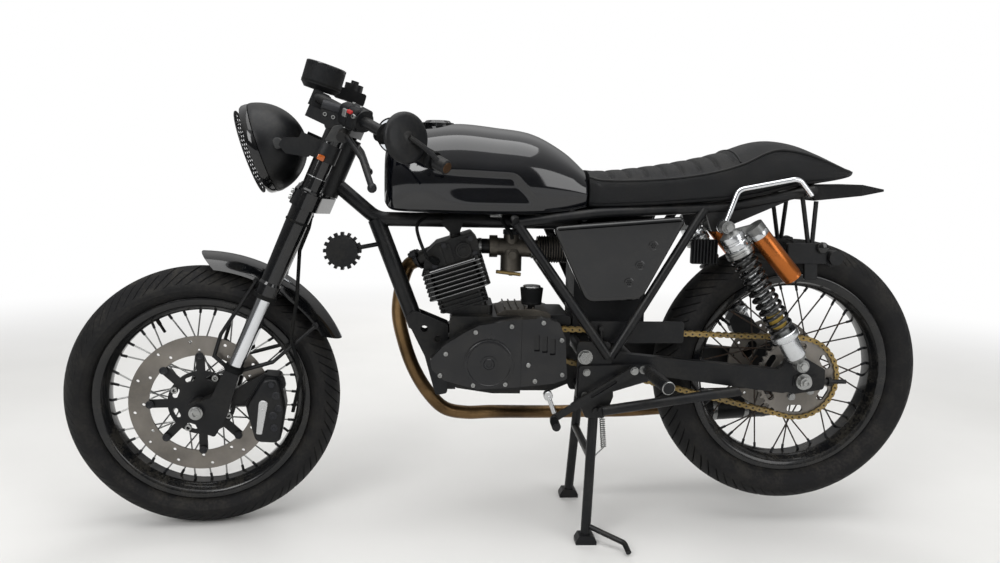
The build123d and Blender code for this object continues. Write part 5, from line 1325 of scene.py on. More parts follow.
@dataclass(frozen=True)
class Cockpit:
    """Gauge, grips, mirrors, switch boxes, lever blades and the left perch."""

    machine: Machine
    gauge_base: Point = (1.0740, 0.0, 0.9774)
    gauge_tilt: float = radians(17)
    bar_corner: Point = (1.0720, 0.072, 0.9600)
    bar_elbow: Point = (0.9675, 0.200, 0.9065)
    bar_end: Point = (0.8480, 0.330, 0.8420)
    mirror_centre: Point = (0.9032, 0.350, 0.8846)
    mirror_radius: float = 0.0474
    mirror_turn: float = radians(58)
    lever: Route = (
        (1.018, 0.158, 0.890), (1.002, 0.196, 0.869), (0.983, 0.240, 0.842), (0.972, 0.275, 0.815),
        (0.965, 0.303, 0.792),
    )

    def point(self, place: Sequence[float], hand: int) -> Array:
        """A straight-ahead place on the left or right half of the bars, swung to the parked angle."""
        return self.machine.parked(place[0], hand * place[1], place[2])

    def inner(self, share: float, hand: int) -> Array:
        """Along the bar's inner run, from its corner at nought to the elbow at one."""
        return self.point(np.array(self.bar_corner) * (1 - share) + np.array(self.bar_elbow) * share, hand)

    def outer(self, share: float, hand: int) -> Array:
        """Along the bar's outer run, from the elbow at nought to its end at one."""
        return self.point(np.array(self.bar_elbow) * (1 - share) + np.array(self.bar_end) * share, hand)

    def gauge(self) -> None:
        """The gauge's bezel, face, marks with the hand, and seam."""
        machine = self.machine
        up = cos(self.gauge_tilt) * machine.upward - sin(self.gauge_tilt) * machine.forward
        face = Place.facing(machine.parked(*self.gauge_base), up, machine.forward)
        bezel = (
            (0.0434, 0.046), (0.0443, 0.048), (0.0443, 0.0555), (0.0425, 0.0565), (0.0385, 0.0565), (0.0375, 0.0545),
            (0.0375, 0.046),
        )
        bezel = np.array(bezel) * (0.982, 1)
        make_piece("gauge_bezel", spun(bezel, face, 72, closed=True), Finish.GLOSS_BLACK, Body.STEERING)
        glass = ((0.0372, 0.0535), (0.0372, 0.0545), (TIP, 0.0552))
        make_piece("gauge_glass", spun(glass, face, 48), Finish.DIAL, Body.STEERING)
        turns = np.arange(11) * radians(27) - radians(45)
        mark = rectangle(0.027, -0.0006, 0.0335, 0.0006)
        marks = [plate(mark, face.twisted(turn), 0.0549, 0.0554) for turn in turns]
        needle = ((-0.006, -0.0012), (0.026, -0.0004), (0.026, 0.0004), (-0.006, 0.0012))
        marks.append(plate(needle, face.twisted(radians(225)), 0.0556, 0.0562))
        make_piece("gauge_ticks", marks, Finish.PALE, Body.STEERING)
        seam = ((0.0437, 0.012), (0.0440, 0.0135), (0.0440, 0.0155), (0.0437, 0.017), (0.0425, 0.017), (0.0425, 0.012))
        seam = np.array(seam) * (0.994, 1)
        make_piece("gauge_seam", spun(seam, face, 72, closed=True), Finish.RUBBER, Body.STEERING)

    def grips(self) -> None:
        """Each grip: a barrel with rounded ribs along most of its length, and a flange at its inner end."""
        for hand, name in ((1, "left"), (-1, "right")):
            place, length = between(self.outer(0.22, hand), self.outer(0.98, hand), self.machine.upward)
            along = np.linspace(0, length, 170)
            ribs = 0.0155 + 0.0009 * np.cos(along / 0.0058 * 2 * pi) * ((along > 0.014) & (along < length - 0.012))
            flange = 0.0072 * np.exp(-(((along - 0.004) / 0.0026) ** 2))
            lip = 0.0022 * np.exp(-(((along - length + 0.004) / 0.005) ** 2))
            profile = np.column_stack((ribs + flange + lip, along))
            profile = np.concatenate(([[0.0114, 0]], profile, [[0.0114, length]]))
            replaced = ("grips",) if hand > 0 else ()
            make_piece(f"{name}_grip", spun(profile, place, 40), Finish.RUBBER, Body.STEERING, replaced)

    def mirrors(self) -> None:
        """Round bar-end mirrors: a dished housing with a rolled rim, the glass, a stem and an end clamp."""
        housings, glasses, stems, ends = [], [], [], []
        steering, forward, upward = self.machine.steering, self.machine.forward, self.machine.upward
        r = self.mirror_radius
        for hand in (1, -1):
            beside = hand * sin(self.mirror_turn) * steering.up
            back = unit(-cos(self.mirror_turn) * forward + beside + 0.1 * upward)
            middle = self.point(self.mirror_centre, hand)
            face = Place.facing(middle + back * 0.006, -back, upward)
            shell = (
                (TIP, -0.0002), (r * 0.45, 0.0), (r * 0.8, 0.0015), (r - 0.003, 0.0038), (r - 0.0004, 0.0070),
                (r - 0.0002, 0.0105), (r - 0.0014, 0.0119), (r - 0.0032, 0.0119), (r - 0.0042, 0.0105), (TIP, 0.0102),
            )
            housings.append(spun(shell, face, 72))
            glass = ((r - 0.0044, 0.0100), (r - 0.0046, 0.0108), (r * 0.5, 0.0111), (TIP, 0.0112))
            glasses.append(spun(glass, face, 72))
            foot, tip = self.outer(1.09, hand), middle + back * 0.009
            bend = (foot + tip) / 2 + upward * 0.004
            stems.append(tube(curve_through((foot, bend, tip), 8), 0.0048, 16, tuple(steering.right)))
            stems.append(rod(self.outer(1.0, hand), self.outer(1.155, hand), 0.0139, 32, 0.0022))
            ends.append(rod(self.outer(1.15, hand), self.outer(1.16, hand), 0.0105, 32, 0.001))
            knob = Place.facing(middle + back * 0.0062, back, upward).shifted(out=-0.002)
            stems.append(spun(((0.013, -0.002), (0.013, 0.001), (0.010, 0.003), (TIP, 0.0035)), knob, 24))
        make_piece("mirror_housings", housings, Finish.SATIN_BLACK, Body.STEERING, ("mirrors",), sharp=40)
        make_piece("mirror_glasses", glasses, Finish.MIRROR, Body.STEERING)
        make_piece("mirror_stems", stems, Finish.SATIN_BLACK, Body.STEERING)
        make_piece("bar_ends", ends, Finish.BRONZED, Body.STEERING)

    def switches(self) -> None:
        """Split switch boxes with their buttons and screws."""
        boxes, buttons, red, screws = [], [], [], []
        for hand in (1, -1):
            place, length = between(self.inner(0.57, hand), self.inner(0.88, hand), self.machine.upward)
            outline = rounded(((-0.021, -0.0225), (0.021, -0.0225), (0.0225, 0.021), (-0.0225, 0.021)), 0.010)
            seam = ((0, length * 0.48), (0.0012, length * 0.49), (0.0012, length * 0.51), (0, length * 0.52))
            levels = ((0.003, 0), (0, 0.003), *seam, (0, length - 0.003), (0.003, length))
            boxes.append(domed(outline * 1.03, place, levels))
            rear = place.shifted(out=length * 0.5)
            toggle = Place.facing(rear.row(np.array([-hand * 0.0225, 0.004, 0])), -hand * rear.right, rear.up)
            slab = rounded(rectangle(-0.006, -0.008, 0.006, 0.008), 0.002)
            button = toggle.shifted(right=-0.004, up=0.003)
            buttons.append(domed(slab, button, ((0, -0.002), (0, 0.004), (0.0012, 0.005))))
            buttons.append(socket_screw(toggle.shifted(right=0.022, up=0.004, out=-0.002), 0.0048, 0.0055))
            bar = rounded(rectangle(-0.007, -0.0036, 0.007, 0.0036), 0.003)
            red.append(domed(bar, toggle.shifted(right=0.010, up=0.009), ((0, -0.002), (0, 0.004), (0.001, 0.005))))
            top = Place.facing(rear.row(np.array([0, 0.0232, 0])), rear.up, rear.out)
            for shift in (-0.012, 0.012):
                screws.append(socket_screw(top.shifted(up=shift), 0.0036, 0.003))
        make_piece("switch_boxes", boxes, Finish.PLASTIC, Body.STEERING, sharp=40)
        make_piece("switch_buttons", buttons, Finish.GREY_ALLOY, Body.STEERING)
        make_piece("stop_buttons", red, Finish.RED_PLASTIC, Body.STEERING)
        make_piece("switch_screws", screws, Finish.STEEL, Body.STEERING)

    def levers(self) -> None:
        """Blade levers: a flat section that narrows to the ball at the tip, swept along the pull's bend."""
        blades, pivots = [], []
        for hand in (1, -1):
            route = curve_through([self.point(place, hand) for place in self.lever], 8)
            width = 0.0058 - 0.0018 * np.linspace(0, 1, len(route))
            blades.append(tube(route, width, 14, tuple(self.machine.steering.right)))
            tip = Place.facing(route[-1], route[-1] - route[-3], self.machine.upward)
            ball = arc_through((TIP, -0.008), (0.0085, 0.0005), (TIP, 0.009), 14)
            blades.append(spun(ball, tip, 24))
            pivot = self.point((1.016, 0.158, 0.896), hand)
            knuckle = Place.facing(pivot, self.machine.upward, self.machine.steering.right)
            pivots.append(hex_bolt(knuckle.shifted(out=0.004), 0.011, 0.005))
        make_piece("lever_blades", blades, Finish.SATIN_BLACK, Body.STEERING)
        make_piece("lever_pivots", pivots, Finish.STEEL, Body.STEERING)

    def perch(self) -> None:
        """The left perch: its bare cylinder, two bright caps, grey shield, clamp and two screws."""
        machine, plane = self.machine, self.machine.plane(0.146)
        start, end = machine.parked(1.0616, 0.150, 0.9453), machine.parked(1.0166, 0.150, 0.9310)
        make_piece("perch_cylinder", rod(start, end, 0.0098, 32, 0.001), Finish.DARK_ALLOY, Body.STEERING)
        ball = arc_through((TIP, -0.008), (0.0082, 0.0), (TIP, 0.0082), 14)
        spots = ((1.0195, 0.153, 0.9330), (1.0165, 0.157, 0.9240))
        caps = [spun(ball, Place.facing(machine.parked(*spot), machine.upward), 24) for spot in spots]
        make_piece("perch_caps", caps, Finish.PALE_METAL, Body.STEERING)
        corners = (
            (1.0575, 0.8732), (1.0395, 0.9032), (1.0168, 0.9074), (1.0149, 0.8876), (1.0270, 0.8694), (1.0329, 0.8692)
        )
        outline = rounded([machine.face(*corner) for corner in corners], 0.004)
        shield = domed(outline, plane, ((0.0005, 0.0), (0, 0.001), (0, 0.014), (0.002, 0.016)))
        make_piece("perch_shield", shield, Finish.GREY_RUBBER, Body.STEERING, sharp=40)
        clamp_corners = ((1.0640, 0.9370), (1.0220, 0.9260), (1.0180, 0.9010), (1.0560, 0.8960))
        clamp_outline = rounded([machine.face(*corner) for corner in clamp_corners], 0.006)
        clamp = domed(clamp_outline, plane, ((0.0005, -0.012), (0, -0.011), (0, 0.010), (0.001, 0.011)))
        make_piece("perch_clamp", clamp, Finish.SATIN_BLACK, Body.STEERING, sharp=40)
        screws = []
        for x, height in ((1.0560, 0.9255), (1.0400, 0.9200)):
            right, up = machine.face(x, height)
            screws.append(socket_screw(plane.shifted(right=right, up=up, out=0.010), 0.0042, 0.004))
        make_piece("perch_screws", screws, Finish.STEEL, Body.STEERING)

    def build(self) -> None:
        """Makes all of it."""
        self.perch()
        self.gauge()
        self.grips()
        self.mirrors()
        self.switches()
        self.levers()


# Tank, seat and tail


def smooth_step(value: Array) -> Array:
    """A climb from nought to one without corners: three squares of the value less two cubes of it."""
    share = np.clip(value, 0, 1)
    return share * share * (3 - 2 * share)


@dataclass(frozen=True)
class Tank:
    """The long tank with a knee recess on each side, its seam and its filler cap."""

    machine: Machine
    # Columns: x, half width, lowest and highest height
    sections: tuple[tuple[float, float, float, float], ...] = (
        (0.490, 0.090, 0.7415, 0.817), (0.540, 0.106, 0.732, 0.860), (0.610, 0.122, 0.726, 0.896),
        (0.690, 0.134, 0.724, 0.908), (0.773, 0.1375, 0.724, 0.9145), (0.850, 0.130, 0.725, 0.905),
        (0.905, 0.108, 0.727, 0.889), (0.929, 0.078, 0.736, 0.868),
    )
    # Where the tank closes in at either end, how far along it does so
    nose_reach: float = 0.016
    tail_reach: float = 0.006
    recess_depth: float = 0.0085
    # Top and rear edge of the recess: x and height of a point on it, its slope, and how softly it sinks
    recess_top: tuple[float, float, float, float] = (0.6515, 0.8104, 0.034, 0.012)
    recess_rear: tuple[float, float, float, float] = (0.608, 0.755, 0.78, 0.014)
    # The x of its front end and the height of its foot, each with how softly it sinks
    recess_front: Pair = (0.852, 0.12)
    recess_foot: Pair = (0.730, 0.050)
    cap: Pair = (0.817, 0.904)
    cap_radius: float = 0.036

    def spine(self, rows: int) -> Array:
        """Half width, foot and top along the tank: a cubic through the sections, closing in a quarter
        circle over its first and last centimetres.

        Args:
            rows: How many sections the surface gets.

        Returns:
            Columns of x, half width, foot and top.
        """
        table = curve_through(self.sections, 24)
        start, end = self.sections[0][0], self.sections[-1][0]
        share = (1 - np.cos(np.linspace(0, pi, rows))) / 2
        x = start + (end - start) * share
        values = np.column_stack([np.interp(x, table[:, 0], table[:, i]) for i in range(4)])
        nose = np.sqrt(1 - np.clip((x - end + self.nose_reach) / self.nose_reach, 0, 1) ** 2)
        tail = np.sqrt(1 - np.clip((start + self.tail_reach - x) / self.tail_reach, 0, 1) ** 2)
        shrink = 0.80 + 0.20 * nose * (0.2 + 0.8 * tail)
        middle = values[:, 2] + (values[:, 3] - values[:, 2]) * 0.45
        values[:, 1] *= shrink
        values[:, 2] = middle + (values[:, 2] - middle) * shrink
        values[:, 3] = middle + (values[:, 3] - middle) * shrink
        return values

    def recess(self, x: Array, height: Array) -> Array:
        """How far the knee recess is sunk: products of smooth steps across its top crease, its slanted
        rear edge, its front end and its foot.
        """
        top_x, top_height, top_slope, top_soft = self.recess_top
        rear_x, rear_height, rear_slope, rear_soft = self.recess_rear
        (front, front_soft), (foot, foot_soft) = self.recess_front, self.recess_foot
        crease = top_height + (x - top_x) * top_slope
        rear = rear_x + (height - rear_height) * rear_slope
        edges = smooth_step((crease - height) / top_soft) * smooth_step((x - rear) / rear_soft)
        return edges * smooth_step((front - x) / front_soft) * smooth_step((height - foot) / foot_soft)

    def surface(self) -> Shape:
        """The skin: each section is a flat foot, a full belly low down and a crowned top, as a closed
        curve through eleven places in shares of its half width and height.
        """
        right = (
            (0, 0), (0.5, 0), (0.84, 0.0), (0.93, 0.05), (0.985, 0.20), (1.0, 0.38), (0.965, 0.58), (0.86, 0.76),
            (0.62, 0.90), (0.32, 0.975),
        )
        left = [(-y, h) for y, h in right[1:]][::-1]
        ring = curve_through([*right, (0, 1.0), *left], 12, closed=True)
        spine = self.spine(110)
        x = np.broadcast_to(spine[:, 0, None], (len(spine), len(ring)))
        y = spine[:, 1, None] * ring[None, :, 0]
        height = spine[:, 2, None] + (spine[:, 3] - spine[:, 2])[:, None] * ring[None, :, 1]
        flank = np.clip((np.abs(ring[None, :, 0]) - 0.55) / 0.2, 0, 1)
        y = y - np.sign(y) * self.recess_depth * self.recess(x, height) * flank
        return grid(np.stack((x, y, height + self.machine.floor), -1))

    def build(self) -> None:
        """Makes the skin, the seam, the filler cap, its lock and its screws."""
        machine = self.machine
        make_piece("tank_skin", self.surface(), Finish.TANK_BLACK, replaces=("fuel_tank",), sharp=50)
        spine = self.spine(40)
        edge = np.concatenate((spine[:, :2] * (1, 0.93), spine[::-1, :2] * (1, -0.93)))
        foot = np.concatenate((spine[:, 2], spine[::-1, 2]))
        lips = ((0.9, -0.0005), (1, -0.0005), (1.012, 0.0008), (1, 0.002), (0.9, 0.003))
        levels = [np.column_stack((edge[:, 0], edge[:, 1] * wide, machine.floor + foot + up)) for wide, up in lips]
        make_piece("tank_seam", grid(np.stack(levels)), Finish.TANK_BLACK, sharp=60)
        top = Place.facing(machine.at(self.cap[0], 0, self.cap[1] + 0.006), (0, 0, 1), (0, 1, 0))
        r = self.cap_radius
        cap = (
            (r * 0.9, -0.012), (r - 0.001, -0.012), (r, 0.0045), (r - 0.0015, 0.006), (r - 0.006, 0.0065),
            (r - 0.008, 0.0085), (r - 0.010, 0.0105), (r - 0.013, 0.0110), (TIP, 0.0110),
        )
        make_piece("filler_cap", spun(cap, top, 72), Finish.GLOSS_BLACK, replaces=("fuel_cap",), sharp=25)
        lock = ((0.0085, 0.0105), (0.0085, 0.0108), (0.0075, 0.0109), (TIP, 0.0109))
        make_piece("cap_lock", spun(lock, top.shifted(right=-0.012), 24), Finish.STEEL)
        screws = [socket_screw(spot, 0.0022, 0.0015) for spot in top.around(6, r - 0.0045, 0.0055, 0.3)]
        make_piece("cap_screws", screws, Finish.STEEL)


@dataclass(frozen=True)
class Saddle:
    """The padded single seat: cross ribs on its flat, a hump behind, piping along its upper edges."""

    machine: Machine
    # Columns: x, half width, lowest and highest height, height of the piping
    sections: tuple[tuple[float, float, float, float, float], ...] = (
        (0.4885, 0.086, 0.7415, 0.820, 0.806), (0.465, 0.099, 0.742, 0.819, 0.800),
        (0.420, 0.108, 0.7445, 0.822, 0.799), (0.350, 0.114, 0.749, 0.831, 0.803), (0.280, 0.118, 0.755, 0.843, 0.811),
        (0.215, 0.1195, 0.761, 0.857, 0.824), (0.160, 0.118, 0.767, 0.873, 0.842),
        (0.115, 0.1155, 0.776, 0.8885, 0.864), (0.080, 0.113, 0.785, 0.8935, 0.872),
        (0.031, 0.107, 0.797, 0.887, 0.866), (-0.020, 0.095, 0.804, 0.870, 0.852), (-0.065, 0.078, 0.811, 0.852, 0.838),
        (-0.100, 0.056, 0.818, 0.838, 0.830), (-0.119, 0.030, 0.824, 0.833, 0.829),
    )
    rib_pitch: float = 0.0375
    rib_span: Pair = (0.178, 0.468)
    rib_depth: float = 0.0055
    rib_width: float = 0.0042
    # Share of the depth by which the pads stand out between the ribs' channels
    pad_rise: float = 0.175
    crown_power: float = 2.6
    top_share: float = 0.955
    seam_x: float = 0.168

    def table(self, rows: int) -> Array:
        """The sections along the seat, by a cubic through them."""
        dense = curve_through(self.sections, 16)[::-1]
        x = np.linspace(self.sections[-1][0], self.sections[0][0], rows)
        return np.column_stack([np.interp(x, dense[:, 0], dense[:, i]) for i in range(5)])

    def ribs(self, x: Array, across: Array) -> Array:
        """Depth of the sewn channels: a narrow bell about every rib line, fading out near the piping."""
        low, high = self.rib_span
        phase = (x - low) / self.rib_pitch
        distance = np.abs(phase - np.round(phase)) * self.rib_pitch
        pads = self.pad_rise * np.clip(distance / self.rib_pitch * 2 - 0.5, 0, 1)
        channel = np.exp(-((distance / self.rib_width) ** 2)) - pads
        inside = np.clip((x - low + 0.006) / 0.01, 0, 1) * np.clip((high + 0.006 - x) / 0.01, 0, 1)
        fade = np.clip((0.96 - np.abs(across)) / 0.14, 0, 1)
        return self.rib_depth * channel * inside * fade

    def surface(self) -> Shape:
        """The cover: a flat foot, sides that pull in under the piping, and a crowned top with ribs.

        Each section is a closed curve through shares of its half width and its heights; the crown falls
        from the middle to the piping as a power of the distance across.
        """
        table = self.table(230)
        x, half, low, high, pipe = (table[:, i, None] for i in range(5))
        across = np.linspace(1, -1, 61)[None, :]
        top_y = half * self.top_share * across
        top_h = pipe + (high - pipe) * (1 - np.abs(across) ** self.crown_power) - self.ribs(x, across)
        side = np.array(((0.992, 0.93), (1.003, 0.72), (0.998, 0.45), (0.985, 0.2), (0.955, 0.03), (0.90, 0.0)))
        left_y, left_h = half * side[None, :, 0][:, ::-1][0], low + (pipe - low) * side[None, ::-1, 1][0]
        right_y, right_h = -half * side[None, :, 0][0], low + (pipe - low) * side[None, :, 1][0]
        y = np.concatenate((left_y, top_y + 0 * x, right_y), axis=1)
        height = np.concatenate((left_h, top_h, right_h), axis=1)
        xs = np.broadcast_to(x, y.shape)
        return grid(np.stack((xs, y, height + self.machine.floor), -1))

    def build(self) -> None:
        """Makes the padded cover, its piping, the seam before its hump, and its pan."""
        machine = self.machine
        cover = make_piece("seat_cover", self.surface(), Finish.LEATHER, replaces=("seat",), sharp=60)
        table = self.table(90)[3:]
        lines = []
        for flank in (1, -1):
            path = np.column_stack((table[:, 0], flank * table[:, 1] * 0.972, machine.floor + table[:, 4] - 0.0006))
            lines.append(tube(path, 0.0026, 10, (0, 0, 1)))
        make_piece("seat_piping", lines, Finish.PIPING)
        dense = self.table(400)
        _, half, _, high, pipe = dense[np.argmin(np.abs(dense[:, 0] - self.seam_x))]
        across = np.linspace(-0.95, 0.95, 40)
        height = machine.floor + pipe + (high - pipe) * (1 - np.abs(across) ** self.crown_power) + 0.0002
        path = np.column_stack((np.full(40, self.seam_x), half * self.top_share * across, height))
        make_piece("seat_seam", tube(path, 0.0020, 8, (1, 0, 0)), Finish.PIPING)
        pan = self.table(60)
        rim = np.concatenate((pan[:, :3], pan[::-1, :3] * (1, -1, 1)))
        lips = ((0.9, 0.0), (0.968, 0.0), (0.99, 0.0025), (0.992, 0.0055), (0.9, 0.006))
        levels = [np.column_stack((rim[:, 0], rim[:, 1] * wide, machine.floor + rim[:, 2] + up)) for wide, up in lips]
        make_piece("seat_pan", grid(np.stack(levels)), Finish.PLASTIC, sharp=60)


@dataclass(frozen=True)
class SidePanels:
    """Glossy side covers with rounded corners and three vents, whose holes are dark discs of painted shade."""

    machine: Machine
    outline: Pairs = ((0.572, 0.700), (0.282, 0.727), (0.376, 0.545), (0.494, 0.539))
    vents: Pairs = ((0.356, 0.6635), (0.383, 0.621), (0.405, 0.584))
    vent_radius: float = 0.0105
    back_y: float = 0.118
    face_y: float = 0.134
    rim: Pairs = (
        (0.001, 0.0), (0.0, 0.001), (0.0, 0.0085), (0.0006, 0.0115), (0.002, 0.0137), (0.0042, 0.0152),
        (0.007, 0.0159), (0.0095, 0.0160),
    )
    pegs: Pairs = ((0.500, 0.680), (0.370, 0.690), (0.440, 0.570))

    def build(self) -> None:
        """Makes the covers, the rings of their vents with dark discs of painted shade in place of their holes, and the
        pegs that hold them.
        """
        at = self.machine.at
        outline = rounded(self.outline, (0.016, 0.024, 0.022, 0.020), 9)
        r = self.vent_radius
        lip = ((r, -0.0012), (r, 0.0), (r - 0.0012, 0.0004), (r - 0.0024, -0.0006), (r - 0.0024, -0.0012))
        # pit is a dark disc a hair proud of the face: painted shade standing in for the dark inside of a vent hole
        shade_disc = ((0.0015, -0.001), (0.0015, 0.00015), (TIP, 0.0001))
        for flank, name in ((1, "left"), (-1, "right")):
            place = self.machine.side(flank * self.back_y, flank)
            panel = domed(outline, place, self.rim)
            replaced = ("side_covers",) if flank > 0 else ()
            make_piece(f"{name}_side_cover", panel, Finish.GLOSS_BLACK, replaces=replaced, sharp=50)
            rings, hole_shade_discs = [], []
            for x, height in self.vents:
                spot = Place(at(x, flank * self.face_y, height), place.right, place.up, place.out)
                rings.append(spun(lip, spot, 36, closed=True))
                # Seven dark discs in each vent ring, painted shade where its holes would be
                hole_shade_discs += [spun(shade_disc, hole, 12) for hole in [spot, *spot.around(6, 0.0042)]]
            make_piece(f"{name}_vent_rings", rings, Finish.GLOSS_BLACK)
            make_piece(f"{name}_vent_holes", hole_shade_discs, Finish.RUBBER)
            pegs = [
                rod(at(x, flank * 0.065, height), at(x, flank * 0.1188, height), 0.006, 16) for x, height in self.pegs
            ]
            make_piece(f"{name}_cover_pegs", pegs, Finish.RUBBER)


@dataclass(frozen=True)
class Tail:
    """The side lamps, the brackets' boxes and the finned regulator under the seat."""

    machine: Machine
    lamp: Point = (-0.0306, 0.0905, 0.6618)
    box_y: float = 0.083
    regulator_y: float = 0.088

    def build(self) -> None:
        """Makes the round side lamps, the brackets' boxes and the regulator."""
        machine = self.machine
        shell = ((0.006, 0), (0.011, 0.001), (0.0125, 0.004), (0.0125, 0.010), (0.011, 0.0115))
        lens = ((0.0108, 0.0102), (0.0108, 0.0118), (0.006, 0.0135), (TIP, 0.014))
        spots = [machine.spot(*self.lamp, hand) for hand in (1, -1)]
        make_piece("side_lamp_shells", [spun(shell, spot, 32) for spot in spots], Finish.SATIN_BLACK)
        make_piece("side_lamp_lenses", [spun(lens, spot, 28) for spot in spots], Finish.GLOSS_BLACK)
        box = rounded(((0.047, 0.671), (-0.041, 0.672), (-0.045, 0.626), (0.044, 0.625)), 0.005)
        block = rounded(((0.0056, 0.6295), (-0.0239, 0.6299), (-0.0269, 0.5898), (0.0027, 0.5894)), 0.004)
        boxes = []
        for hand in (1, -1):
            plane = machine.side(hand * self.box_y, hand)
            boxes.append(domed(box, plane, ((0.001, 0), (0, 0.001), (0, 0.010), (0.0015, 0.0115))))
            boxes.append(domed(block, plane, ((0.001, 0), (0, 0.001), (0, 0.008), (0.001, 0.009))))
        make_piece("bracket_boxes", boxes, Finish.SATIN_BLACK, sharp=40)
        self.regulator()

    def regulator(self) -> None:
        """A finned box on the left rail: a block with eight thin fins across it."""
        place = self.machine.side(self.regulator_y, 1)
        block = rounded(rectangle(0.204, 0.622, 0.262, 0.676), 0.004)
        parts = [domed(block, place, ((0.001, 0), (0, 0.001), (0, 0.010)))]
        for x in np.linspace(0.208, 0.258, 8):
            parts.append(plate(rectangle(x - 0.0011, 0.6235, x + 0.0011, 0.6745), place, 0.0095, 0.0185))
        make_piece("regulator", parts, Finish.SATIN_BLACK)


# Engine and exhaust


